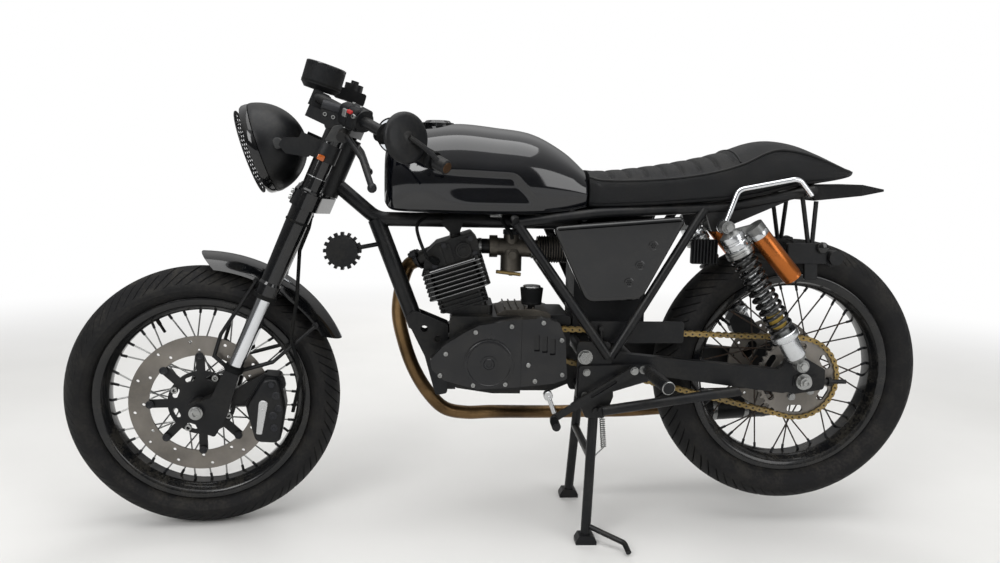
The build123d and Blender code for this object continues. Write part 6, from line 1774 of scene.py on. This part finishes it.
@dataclass(frozen=True)
class Engine:
    """Bright fin edges, cover screws, rings, plug lead, filters, deck and pipes on the engine's castings."""

    machine: Machine
    base: Pair = (0.747, 0.499)
    lean: float = radians(18)
    head_up: float = 0.112
    fin_pitch: float = 0.00975
    cover_face: float = 0.128
    pleat_pitch: float = 0.0058
    cone_pitch: float = 0.0046
    shaft: Pair = (0.700, 0.403)
    # First fin's height up the barrel, how many, length ahead, width across and corner
    fins: tuple[float, int, float, float, float] = (0.050, 7, 0.140, 0.148, 0.022)
    plug: Pair = (0.030, 0.058)
    fuel_route: Route = (
        (0.676, 0.045, 0.716), (0.672, 0.045, 0.704), (0.664, 0.040, 0.692), (0.652, 0.028, 0.678),
        (0.648, 0.024, 0.664),
    )
    # Beyond the plug's boot
    lead: Route = ((0.858, 0.086, 0.690), (0.836, 0.050, 0.710), (0.800, 0.010, 0.706))
    cover_screws: Pairs = (
        (0.7296, 0.4715), (0.6525, 0.4850), (0.5843, 0.4935), (0.7925, 0.424), (0.8045, 0.3769), (0.7332, 0.3560),
        (0.6639, 0.3585), (0.5999, 0.3655), (0.6150, 0.4010), (0.5440, 0.4560), (0.5410, 0.3800),
    )

    def barrel(self, up: float = 0.0) -> Place:
        """The barrel at a height up it: right is ahead, up is to the left, out is along the barrel."""
        axis = np.array([sin(self.lean), 0, cos(self.lean)])
        ahead = np.array([cos(self.lean), 0, -sin(self.lean)])
        return Place(self.machine.at(self.base[0], 0, self.base[1]) + axis * up, ahead, np.array([0, 1.0, 0]), axis)

    def fin_edges(self) -> None:
        """A bare rim round every fin, where the paint is worn off: a little plate inside each fin that stands
        a hair out of it.
        """
        first, count, ahead, wide, corner = self.fins
        half, side = ahead / 2 + 0.0004, wide / 2 + 0.0004
        outline = rounded(rectangle(-half, -side, half, side), corner * 0.95, 7)
        spots = [self.barrel(first + self.fin_pitch * fin) for fin in range(count)]
        make_piece("fin_edges", [plate(outline, spot, 0.0012, 0.0024) for spot in spots], Finish.WORN_EDGE)
        gasket = rounded(rectangle(-0.0634, -0.0704, 0.0634, 0.0704), 0.021, 7)
        make_piece("head_gasket", plate(gasket, self.barrel(self.head_up), 0.0008, 0.0026), Finish.BRIGHT_ALLOY)

    def head(self) -> None:
        """Inspection caps with their rings, the head's bolts, the barrel's studs and the plug's lead."""
        ring = ((0.0172, -0.003), (0.0178, -0.001), (0.0172, 0.0008), (0.0135, 0.0012), (0.0125, 0.0002), (TIP, 0.0002))
        caps, bolts, posts = [], [], []
        for hand in (1, -1):
            spot = self.barrel(self.head_up + 0.026).row(np.array([-0.034, hand * 0.066, 0]))
            face = Place.facing(spot, (0, hand, 0))
            caps.append(spun(ring, face, 36))
            caps.append(plate(hexagon(0.0125), face, 0.0, 0.0042))
            for ahead, up in ((0.036, 0.010), (-0.056, 0.012), (-0.056, 0.046), (0.004, 0.048)):
                spot = self.barrel(self.head_up + up).row(np.array([ahead, hand * 0.0581, 0]))
                bolts.append(hex_bolt(Place.facing(spot, (0, hand, 0)), 0.010, 0.0055))
            for ahead in (-0.060, 0.058):
                foot = self.barrel(0.052).row(np.array([ahead, hand * 0.0655, 0]))
                top = self.barrel(self.head_up + 0.008).row(np.array([ahead * 0.94, hand * 0.0655, 0]))
                posts.append(rod(foot, top, 0.0058, 18))
        make_piece("inspection_caps", caps, Finish.ENGINE_BLACK)
        make_piece("head_bolts", bolts, Finish.DARK_ALLOY)
        make_piece("barrel_studs", posts, Finish.ENGINE_BLACK)
        self.plug_lead()

    def plug_lead(self) -> None:
        """The plug's boot on the left of the head, and the lead from its tip to under the tank."""
        foot = self.barrel(self.head_up + 0.018).row(np.array([*self.plug, 0]))
        way = unit((0.45, 0.75, 0.35))
        boot = (
            (0.0085, 0), (0.0085, 0.010), (0.0075, 0.012), (0.0075, 0.022), (0.0060, 0.026), (0.0045, 0.030),
            (TIP, 0.031),
        )
        make_piece("plug_boot", spun(boot, Place.facing(foot, way), 24), Finish.RUBBER)
        tip = foot + way * 0.028
        lead = curve_through((tip, tip + way * 0.018, *(self.machine.at(*spot) for spot in self.lead)), 10)
        make_piece("plug_lead", tube(lead, 0.0036, 12, (1, 0, 0)), Finish.RUBBER)

    def covers(self) -> None:
        """Screws round both side covers, the shaft's ring and cap, the boss screws and the oil filler."""
        side, sunk = self.machine.side, self.cover_face - 0.0003
        screws = []
        for hand in (1, -1):
            spots = [side(hand * sunk, hand).shifted(right=x, up=height) for x, height in self.cover_screws]
            screws += [socket_screw(spot, 0.0050, 0.0040) for spot in spots]
        make_piece("cover_screws", screws, Finish.STEEL)
        shaft = side(0.132, 1).shifted(right=self.shaft[0], up=self.shaft[1])
        ring = (
            (0.0515, -0.001), (0.0515, 0.0004), (0.0500, 0.0012), (0.0470, 0.0012), (0.0460, 0.0003), (0.0460, -0.001)
        )
        cap = ((0.0118, -0.006), (0.0118, 0.0018), (0.0105, 0.0032), (0.0062, 0.0032), (0.0058, 0.0012), (TIP, 0.0012))
        make_piece("shaft_ring", spun(ring, shaft, 72, closed=True), Finish.COVER_BLACK)
        make_piece("shaft_cap", spun(cap, shaft, 32), Finish.COVER_BLACK)
        clutch = side(-0.136, -1).shifted(right=0.640, up=0.412)
        studs = [socket_screw(spot, 0.0045, 0.003) for spot in clutch.around(6, 0.054)]
        make_piece("boss_screws", studs, Finish.STEEL)
        filler = side(-0.128, -1).shifted(right=0.770, up=0.440)
        plug = ((0.0135, 0), (0.0145, 0.002), (0.0145, 0.007), (0.0125, 0.009), (TIP, 0.009))
        make_piece("oil_filler", spun(plug, filler, 32), Finish.PLASTIC)

    def deck(self) -> None:
        """The bare top of the gearcase behind the barrel, with its ribs."""
        place = self.machine.side(0.070, -1)
        outline = ((0.560, 0.494), (0.682, 0.494), (0.682, 0.502), (0.664, 0.511), (0.596, 0.513), (0.566, 0.505))
        deck = plate(rounded(outline, 0.004), place, 0.0, 0.128)
        inner = place.shifted(out=0.004)
        starts = (0.600, 0.616, 0.632, 0.648, 0.662)
        ribs = [plate(rectangle(x, 0.500, x + 0.003, 0.5165), inner, 0.0, 0.120) for x in starts]
        make_piece("case_deck", [deck, *ribs], Finish.CASE_ALLOY, bevel=0.0006)

    def intake(self) -> None:
        """The pleated filter and its clamps, and the carburettor's drain, cap and choke rod."""
        machine = self.machine
        mouth = Place.facing(machine.at(0.590, 0, 0.640), (-1, 0, 0))
        along = np.linspace(0.004, 0.074, 141)
        radius = 0.0296 + 0.0016 * np.cos(along / self.pleat_pitch * 2 * pi)
        profile = np.concatenate(([[0.024, 0.002]], np.column_stack((radius, along)), [[0.026, 0.0765], [TIP, 0.0768]]))
        make_piece("intake_filter", spun(profile, mouth, 48), Finish.PLEATS)
        wide = ((0.0206, 0), (0.0216, 0.0008), (0.0216, 0.0072), (0.0206, 0.008))
        narrow = ((0.0172, 0), (0.0184, 0.0008), (0.0184, 0.0072), (0.0172, 0.008))
        port = Place.facing(machine.at(0.7235, 0, 0.645), (-1, 0, 0))
        clamps = [spun(wide, mouth.shifted(out=-0.014), 40), spun(narrow, port, 40)]
        make_piece("intake_clamps", clamps, Finish.STEEL)
        bowl = Place.facing(machine.at(0.648, 0, 0.5905), (0, 0, -1), (1, 0, 0))
        nozzle = ((0.0045, 0.005), (0.0045, 0.012), (TIP, 0.012))
        parts = [plate(hexagon(0.014), bowl, 0, 0.006), spun(nozzle, bowl, 16)]
        cap = Place.facing(machine.at(0.648, 0, 0.6828), (0, 0, 1), (1, 0, 0))
        lid = ((0.0188, -0.010), (0.0196, -0.009), (0.0196, -0.001), (0.0180, 0.0006), (TIP, 0.0012))
        parts.append(spun(lid, cap, 36))
        parts += [socket_screw(cap.twisted(turn).shifted(right=0.0135), 0.0028, 0.0032) for turn in (0.8, 3.94)]
        make_piece("carburettor_fittings", parts, Finish.DARK_ALLOY)
        brass = rod(machine.at(0.683, 0.023, 0.590), machine.at(0.627, 0.023, 0.584), 0.0042, 18, 0.001)
        make_piece("choke_rod", brass, Finish.CHAIN)

    def breather(self) -> None:
        """The breather's cone, whose pleats are a cosine along it, and its bright cap."""
        vent = Place.facing(self.machine.at(0.604, 0.050, 0.522), (0, 0, 1), (1, 0, 0))
        rise = np.linspace(0.001, 0.035, 86)
        cone = 0.0228 - 0.0038 * rise / 0.036 + 0.0009 * np.cos(rise / self.cone_pitch * 2 * pi)
        cone_profile = np.concatenate(([[0.018, 0]], np.column_stack((cone, rise)), [[0.0165, 0.0358], [TIP, 0.036]]))
        make_piece("breather_pleats", spun(cone_profile, vent, 48), Finish.PLEATS)
        band = ((0.0192, 0.0345), (0.0198, 0.0355), (0.0198, 0.0405), (0.0185, 0.0418), (TIP, 0.042))
        make_piece("breather_cap", spun(band, vent, 40), Finish.BRIGHT_ALLOY)

    def pipes(self) -> None:
        """The fuel pipe with its tap, and the breather's pipe."""
        machine = self.machine
        fuel = curve_through([machine.at(*spot) for spot in self.fuel_route], 10)
        vent = np.array([machine.at(0.604, 0.050, 0.503), machine.at(0.604, 0.050, 0.497)])
        hoses = [tube(fuel, 0.0042, 12, (0, 1, 0)), tube(vent, 0.0085, 16, (0, 1, 0))]
        make_piece("engine_hoses", hoses, Finish.RUBBER)
        tap = Place.facing(machine.at(0.678, 0.045, 0.7235), (0, 0, -1), (1, 0, 0))
        barrel = spun(((0.009, 0), (0.009, 0.002), (0.006, 0.0025), (0.006, 0.010), (TIP, 0.0102)), tap, 24)
        stub = rod(tap.row((0, 0, 0.007)), tap.row((0, 0.022, 0.007)), 0.0045, 16, 0.001)
        make_piece("fuel_tap", [barrel, stub], Finish.GREY_ALLOY)

    def build(self) -> None:
        """Makes all of it."""
        self.fin_edges()
        self.head()
        self.covers()
        self.deck()
        self.intake()
        self.breather()
        self.pipes()


@dataclass(frozen=True)
class Exhaust:
    """Flange, header pipe, muffler shell, bands and bolts of the exhaust."""

    machine: Machine
    muffler_front: Point = (0.203, -0.196, 0.213)
    muffler_back: Point = (-0.058, -0.196, 0.233)
    muffler_radius: float = 0.040
    pipe_radius: float = 0.016
    header_route: Route = (
        (0.8650, -0.0340, 0.6055), (0.8830, -0.0405, 0.5910), (0.8965, -0.0450, 0.5500), (0.9040, -0.0485, 0.4800),
        (0.8900, -0.0510, 0.4100), (0.8680, -0.0540, 0.3480), (0.8360, -0.0590, 0.2920), (0.7960, -0.0660, 0.2490),
        (0.7450, -0.0770, 0.2340), (0.6800, -0.0930, 0.2310), (0.6000, -0.1400, 0.2170), (0.5300, -0.1740, 0.2070),
        (0.4300, -0.1810, 0.2070), (0.3300, -0.1840, 0.2080), (0.2600, -0.1890, 0.2110), (0.2050, -0.1940, 0.2140),
    )

    def build(self) -> None:
        """Makes the port's flange with its nuts, the header pipe and the muffler."""
        machine = self.machine
        way = unit(machine.at(0.864, -0.034, 0.606) - machine.at(0.826, -0.020, 0.6245))
        port = Place.facing(machine.at(0.853, -0.030, 0.6115), way)
        flange = [spun(((0.020, 0), (0.0235, 0.001), (0.0235, 0.006), (0.020, 0.007), (0.0165, 0.0075)), port, 32)]
        for turn in (0.6, 0.6 + pi):
            ear = port.twisted(turn)
            flange.append(rod(ear.row((0.026, 0, -0.003)), ear.row((0.026, 0, 0.009)), 0.0085, 20))
            flange.append(plate(hexagon(0.010), ear.shifted(right=0.026, out=0.009), 0, 0.007))
        make_piece("exhaust_flange", flange, Finish.DARK_ALLOY)
        route = curve_through([machine.at(*spot) for spot in self.header_route], 12)
        header = tube(route, self.pipe_radius, 40, (0, 1, 0.05))
        make_piece("header_pipe", header, Finish.BRONZE_PIPE, replaces=("exhaust_header",), sharp=60)
        self.muffler()

    def muffler(self) -> None:
        """The muffler's turned shell with two raised seams and a hollow end, its bands and their bolts."""
        place, end = between(self.machine.at(*self.muffler_front), self.machine.at(*self.muffler_back))
        r = self.muffler_radius
        seam = r + 0.0008
        shell = (
            (0.017, -0.0125), (0.0185, -0.012), (0.0185, -0.002), (r * 0.62, 0.002), (r * 0.93, 0.010), (r, 0.020),
            (r, 0.028), (seam, 0.0285), (seam, 0.0335), (r, 0.034),
        )
        tail = (
            (r, end - 0.030), (seam, end - 0.0295), (seam, end - 0.022), (r, end - 0.0215), (r - 0.001, end - 0.006),
            (r - 0.006, end - 0.001), (0.0225, end), (0.0215, end - 0.001), (0.0205, end - 0.060), (TIP, end - 0.060),
        )
        muffler = spun(np.array(shell + tail), place, 72)
        make_piece("muffler_shell", muffler, Finish.SATIN_BLACK, replaces=("muffler",), sharp=40)
        bands, bolts = [], []
        for along, radius in ((-0.010, 0.0198), (0.098, r + 0.0012), (0.180, r + 0.0012)):
            spot = place.shifted(out=along)
            band = ((radius - 0.002, 0), (radius, 0.0004), (radius, 0.0116), (radius - 0.002, 0.012))
            bands.append(spun(band, spot, 56, closed=True))
            lug = spot.shifted(right=radius + 0.003, out=0.006)
            bolts.append(rod(lug.row((0, -0.012, 0)), lug.row((0, 0.012, 0)), 0.0035, 14))
            bolts.append(plate(hexagon(0.010), Place.facing(lug.row((0, 0.010, 0)), lug.up, lug.out), 0, 0.005))
        make_piece("exhaust_bands", bands, Finish.STEEL)
        make_piece("exhaust_bolts", bolts, Finish.STEEL)


# Suspension, drive, footwork and frame


@dataclass(frozen=True)
class Shocks:
    """Collars, sleeves, bump stops, bolts and canisters of the two rear shocks."""

    machine: Machine
    offset: float = 0.150
    top: Pair = (0.2049, 0.7064)
    foot: Pair = (0.0228, 0.4101)
    can_top: Pair = (0.139, 0.698)
    can_foot: Pair = (0.054, 0.601)
    bolt_y: float = 0.1618
    # Turned outlines along each shock from its top, as radius and place, with their number of sides
    collar: Pairs = (
        (0.029, 0.0515), (0.0305, 0.0525), (0.0305, 0.0565), (0.0295, 0.0575), (0.0305, 0.0585), (0.0305, 0.0655),
        (0.029, 0.0668),
    )
    bump_stop: Pairs = (
        (0.0142, 0.214), (0.0168, 0.217), (0.0174, 0.224), (0.0162, 0.230), (0.0174, 0.236), (0.0168, 0.244),
        (0.0142, 0.247),
    )
    sleeves: tuple[tuple[int, Pairs], ...] = (
        (48, (
            (0.0255, 0.0185), (0.0262, 0.020), (0.0262, 0.031), (0.0245, 0.0325), (0.0245, 0.0365), (0.0262, 0.038),
            (0.0262, 0.0485), (0.0255, 0.050),
        )),
        (48, ((0.0252, 0.0502), (0.0268, 0.0506), (0.0268, 0.0522), (0.0252, 0.0524))),
        (36, ((0.0145, 0.100), (0.0152, 0.101), (0.0152, 0.205), (0.0145, 0.206))),
        (44, ((0.0212, 0.279), (0.0226, 0.281), (0.0226, 0.322), (0.0205, 0.326))),
        (52, ((0.0288, 0.2622), (0.0302, 0.2635), (0.0302, 0.2745), (0.0285, 0.2775))),
    )

    def build(self) -> None:
        """Makes the details of both shocks."""
        machine = self.machine
        crown = ((0.018, -0.0015), (0.0208, -0.0003), (0.0216, 0.0025), (0.0216, 0.0105), (0.0205, 0.0135))
        knob = ((0.009, 0), (0.009, -0.005), (0.0075, -0.0065), (TIP, -0.0065))
        collars, bright, gold, bolts, cans = [], [], [], [], []
        for hand in (1, -1):
            ends = (self.top, self.foot, self.can_top, self.can_foot)
            top, foot, can_top, can_foot = (machine.at(x, hand * self.offset, height) for x, height in ends)
            place, _ = between(top, foot, (0, 1, 0))
            collars.append(spun(self.collar, place, 56))
            gold.append(spun(self.bump_stop, place, 36))
            bright += [spun(sleeve, place, sides) for sides, sleeve in self.sleeves]
            for x, height in (self.top, self.foot):
                bolts.append(hex_bolt(machine.spot(x, self.bolt_y, height, hand), 0.014, 0.0095))
            can, length = between(can_top, can_foot, (0, 1, 0))
            wrap = ((0.0204, 0.006), (0.0212, 0.0075), (0.0212, length - 0.0075), (0.0204, length - 0.006))
            cans.append(spun(wrap, can, 48))
            bright += [spun(crown, can, 44), spun(knob, can, 24)]
        make_piece("shock_rings", collars, Finish.STEEL)
        make_piece("shock_sleeves", bright, Finish.PALE_METAL)
        make_piece("bump_stops", gold, Finish.GOLD)
        make_piece("shock_bolts", bolts, Finish.STEEL)
        make_piece("shock_canisters", cans, Finish.ANODISED)


@dataclass(frozen=True)
class Drive:
    """Rear axle nuts and adjusters, sprocket bolts and the chain's rivets."""

    machine: Machine
    pitch_radius: float = 0.09122
    drive_radius: float = 0.030
    drive: Pair = (0.578, 0.443)
    link_pitch: float = 0.0159
    chain_y: float = 0.080

    def rivets(self) -> None:
        """Rivet heads on both sides of the chain, one at each link's pin.

        The pitch line is two circles' outer tangents: its runs slope by the climb between the shafts plus
        or minus the arcsine of the radii's difference over their distance.
        """
        machine = self.machine
        rise = self.drive[1] + machine.floor
        reach, climb = sqrt(self.drive[0] ** 2 + rise**2), atan2(rise, self.drive[0])
        wrap = asin((self.pitch_radius - self.drive_radius) / reach)
        run = reach * cos(wrap)
        drive_arc, rear_arc = self.drive_radius * (pi - 2 * wrap), self.pitch_radius * (pi + 2 * wrap)
        total = 2 * run + drive_arc + rear_arc
        links = 2 * round(total / self.link_pitch / 2)
        along = np.arange(links) * total / links
        lower, upper = climb + wrap - pi / 2, climb - wrap + pi / 2
        stage = np.searchsorted((run, run + drive_arc, 2 * run + drive_arc), along, side="right")
        drive_turn = lower + (along - run) / self.drive_radius
        rear_turn = upper + (along - 2 * run - drive_arc) / self.pitch_radius
        bearing = np.choose(stage, (np.full(links, lower), drive_turn, np.full(links, upper), rear_turn))
        ahead = np.choose(stage, (along, 0 * along, along - run - drive_arc, 0 * along))
        centre = np.array(((0, 0), (self.drive[0], rise), (self.drive[0], rise), (0, 0)))[stage]
        radius = np.array((self.pitch_radius, self.drive_radius, self.drive_radius, self.pitch_radius))[stage]
        x = centre[:, 0] + radius * np.cos(bearing) - ahead * np.sin(bearing)
        z = centre[:, 1] + radius * np.sin(bearing) + ahead * np.cos(bearing)
        heads = []
        for place_x, place_z in zip(x, z):
            for hand in (1, -1):
                spot = Place.facing((place_x, self.chain_y + hand * 0.0079, place_z), (0, hand, 0))
                heads.append(spun(((0.0021, 0), (0.0021, 0.0010), (0.0013, 0.0014)), spot, 10))
        make_piece("chain_rivets", heads, Finish.DARK_ALLOY)

    def build(self) -> None:
        """Makes the rivets, nuts, adjusters and sprocket bolts."""
        machine = self.machine
        self.rivets()
        block = rounded(rectangle(-0.030, -0.0125, 0.022, 0.0125), 0.004)
        nuts, adjusters = [], []
        for hand in (1, -1):
            spot = Place.facing((0, hand * 0.1145, 0), (0, hand, 0))
            nuts.append(spun(((0.0135, 0), (0.0135, 0.0022), (0.0120, 0.0024)), spot, 36))
            nuts.append(plate(hexagon(0.0190), spot, 0.0022, 0.0150))
            nuts.append(spun(((0.0060, 0.0145), (0.0060, 0.0205), (0.0050, 0.0216), (TIP, 0.0216)), spot, 28))
            # The plate's longer end lies behind the axle on both sides
            plane = Place.facing((0, hand * 0.1140, 0), (0, hand, 0))
            adjusters.append(plate(block * (-hand, 1), plane, -0.0002, 0.0022))
            for x in (-0.052, -0.066):
                place = Place.facing(machine.at(x, hand * 0.103, 0.362), (-1, 0, 0))
                adjusters.append(plate(hexagon(0.013), place, 0, 0.006))
        bolts = [hex_bolt(spot, 0.013, 0.0065) for spot in machine.rear_axle.around(6, 0.045, 0.0832, 0.3)]
        make_piece("rear_axle_nuts", nuts, Finish.STEEL, bevel=0.0006)
        make_piece("chain_adjusters", adjusters, Finish.SATIN_BLACK)
        make_piece("sprocket_bolts", bolts, Finish.STEEL, Body.REAR_WHEEL)


@dataclass(frozen=True)
class Footwork:
    """Knurled pegs with their caps, lever rubbers, plate bolts, gear linkage and the stand's spring."""

    machine: Machine
    # Columns: x, y and height of each bolt's foot, width across its flats and its height
    bolts: tuple[tuple[float, float, float, float, float], ...] = (
        (0.3633, 0.1304, 0.393, 0.014, 0.006), (0.4880, 0.1304, 0.386, 0.012, 0.006),
        (0.4905, 0.1304, 0.335, 0.012, 0.006), (0.389, 0.1545, 0.396, 0.013, 0.006),
        (0.491, 0.1222, 0.418, 0.024, 0.010),
    )
    spring_turns: int = 14
    spring_radius: float = 0.0052

    def ribbed(self, start: Sequence[float], end: Sequence[float], radius: float, pitch: float) -> Shape:
        """A knurled peg: its radius swings with the cosine of the way along over the pitch."""
        place, length = between(start, end)
        along = np.linspace(0.002, length - 0.002, 120)
        profile = np.column_stack((radius + 0.0008 * np.sign(np.cos(along / pitch * 2 * pi)), along))
        profile = np.concatenate(([[radius - 0.002, 0]], profile, [[radius - 0.002, length]]))
        return spun(profile, place, 36)

    def build(self) -> None:
        """Makes both sides' footwork."""
        at = self.machine.at
        cap = (
            (0.0115, -0.003), (0.0140, -0.0025), (0.0140, 0.0012), (0.0125, 0.0020), (0.0060, 0.0020),
            (0.0050, 0.0004), (TIP, 0.0004),
        )
        pegs, caps, rubbers, bolts = [], [], [], []
        for hand in (1, -1):
            foot, tip = at(0.355, hand * 0.168, 0.3918), at(0.3405, hand * 0.250, 0.3843)
            pegs.append(self.ribbed(foot, tip, 0.0129, 0.008))
            caps.append(spun(cap, Place.facing(tip, tip - foot), 36))
            rubber = at(0.560, hand * 0.160, 0.2878), at(0.560, hand * 0.2045, 0.2862)
            rubbers.append(self.ribbed(*rubber, 0.0086, 0.005))
            for *place, size, height in self.bolts:
                bolts.append(hex_bolt(self.machine.spot(*place, hand), size, height))
        links = [rod(at(0.5717, 0.128, 0.3368), at(0.5717, 0.146, 0.3368), 0.010, 24, 0.001)]
        links.append(rod(at(0.5717, 0.142, 0.3368), at(0.5573, 0.146, 0.2990), 0.005, 16, 0.001))
        make_piece("peg_sleeves", pegs, Finish.SATIN_BLACK)
        make_piece("peg_caps", caps, Finish.STEEL)
        make_piece("lever_rubbers", rubbers, Finish.RUBBER)
        make_piece("footwork_bolts", bolts, Finish.STEEL)
        make_piece("gear_linkage", links, Finish.BRIGHT_ALLOY)
        self.stand_spring()

    def stand_spring(self) -> None:
        """The stand's spring: a helix about its line, and a straight hook at either end.

        Each point goes its share of the line, and the radius times the turn's cosine and sine aside.
        """
        at = self.machine.at
        start, end = at(0.4430, 0.0930, 0.272), at(0.4370, 0.0930, 0.205)
        share = np.linspace(0, 1, 340)[:, None]
        turn = share * 2 * pi * self.spring_turns
        way, beside = unit(end - start), np.array([0, 1.0, 0])
        aside = np.cos(turn) * unit(np.cross(way, beside)) + np.sin(turn) * beside
        springs = [tube(start + (end - start) * share + self.spring_radius * aside, 0.0013, 7, tuple(way))]
        springs.append(tube(np.stack((at(0.4637, 0.0930, 0.2960), start)), 0.0016, 8, (0, 1, 0)))
        springs.append(tube(np.stack((end, at(0.467, 0.1140, 0.186))), 0.0016, 8, (0, 1, 0)))
        make_piece("stand_spring", springs, Finish.STEEL, Body.STAND)


# Finishes of the nodes that keep their own shape

NODE_FINISHES: dict[Finish, tuple[str, ...]] = {
    Finish.TYRE: ("front_tyre", "rear_tyre"),
    Finish.SATIN_BLACK: (
        "front_wheel", "rear_wheel", "disc_carrier", "top_clamp", "fork_feet", "mudguard_stays",
        "brake_caliper", "headlamp", "headlamp_grille", "rear_caliper", "lamp_brackets", "handlebar",
        "bar_controls", "mirrors", "frame", "swingarm", "muffler", "tail_brackets", "chain_guard", "footrests",
        "foot_controls", "horn", "centre_stand",
    ),
    Finish.DISC_STEEL: ("brake_disc", "rear_sprocket", "rear_disc"),
    Finish.GLOSS_BLACK: (
        "lower_clamp", "fork_tubes", "front_mudguard", "shock_springs", "fuel_cap", "side_covers",
    ),
    Finish.CHROME: ("fork_stanchions", "grab_rails"),
    Finish.STEEL: ("front_spindle", "rear_spindle"),
    Finish.RUBBER: ("brake_hose", "grips", "breather_filter"),
    Finish.LENS: ("headlamp_lens",),
    Finish.PLASTIC: ("gauge", "tail_guard", "battery_box"),
    Finish.GREY_ALLOY: ("shock_bodies",),
    Finish.ANODISED: ("shock_reservoirs",),
    Finish.ENGINE_BLACK: ("crankcase", "cylinder", "cylinder_head"),
    Finish.COVER_BLACK: ("engine_covers",),
    Finish.CASE_ALLOY: ("carburettor",),
    Finish.BRONZE_PIPE: ("exhaust_header",),
    Finish.TANK_BLACK: ("fuel_tank",),
    Finish.LEATHER: ("seat",),
    Finish.CHAIN: ("drive_chain",),
}


def main() -> None:
    """Builds the studio and every sub-assembly in order."""
    logging.basicConfig(level=logging.INFO, format="%(message)s")
    machine = Machine()
    Studio().build(machine)
    for finish, nodes in NODE_FINISHES.items():
        for node in nodes:
            dress(node, finish)
    front = Wheel(
        "front", Body.FRONT_WHEEL, machine.front_axle, tyre_radius=0.2971, tyre_width=0.112, rim_width=0.076,
        barrel_radius=0.024, hub_flange=0.046, hub_flange_y=0.030, hub_half=0.047, pitches=36, groove_sweep=0.9,
        spoke_finish=Finish.STEEL,
    )
    rear = Wheel(
        "rear", Body.REAR_WHEEL, machine.rear_axle, tyre_radius=0.3083, tyre_width=0.128, rim_width=0.088,
        barrel_radius=0.034, hub_flange=0.062, hub_flange_y=0.034, hub_half=0.060, pitches=36, groove_sweep=-0.9,
    )
    assemblies = (
        front, rear, FrontBrake(machine), ForkDress(machine), Headlamp(machine), Cockpit(machine), Tank(machine),
        Saddle(machine), SidePanels(machine), Tail(machine), Engine(machine), Exhaust(machine), Shocks(machine),
        Drive(machine), Footwork(machine),
    )
    for assembly in assemblies:
        log.info("%s", type(assembly).__name__)
        assembly.build()


if __name__ == "__main__":
    main()
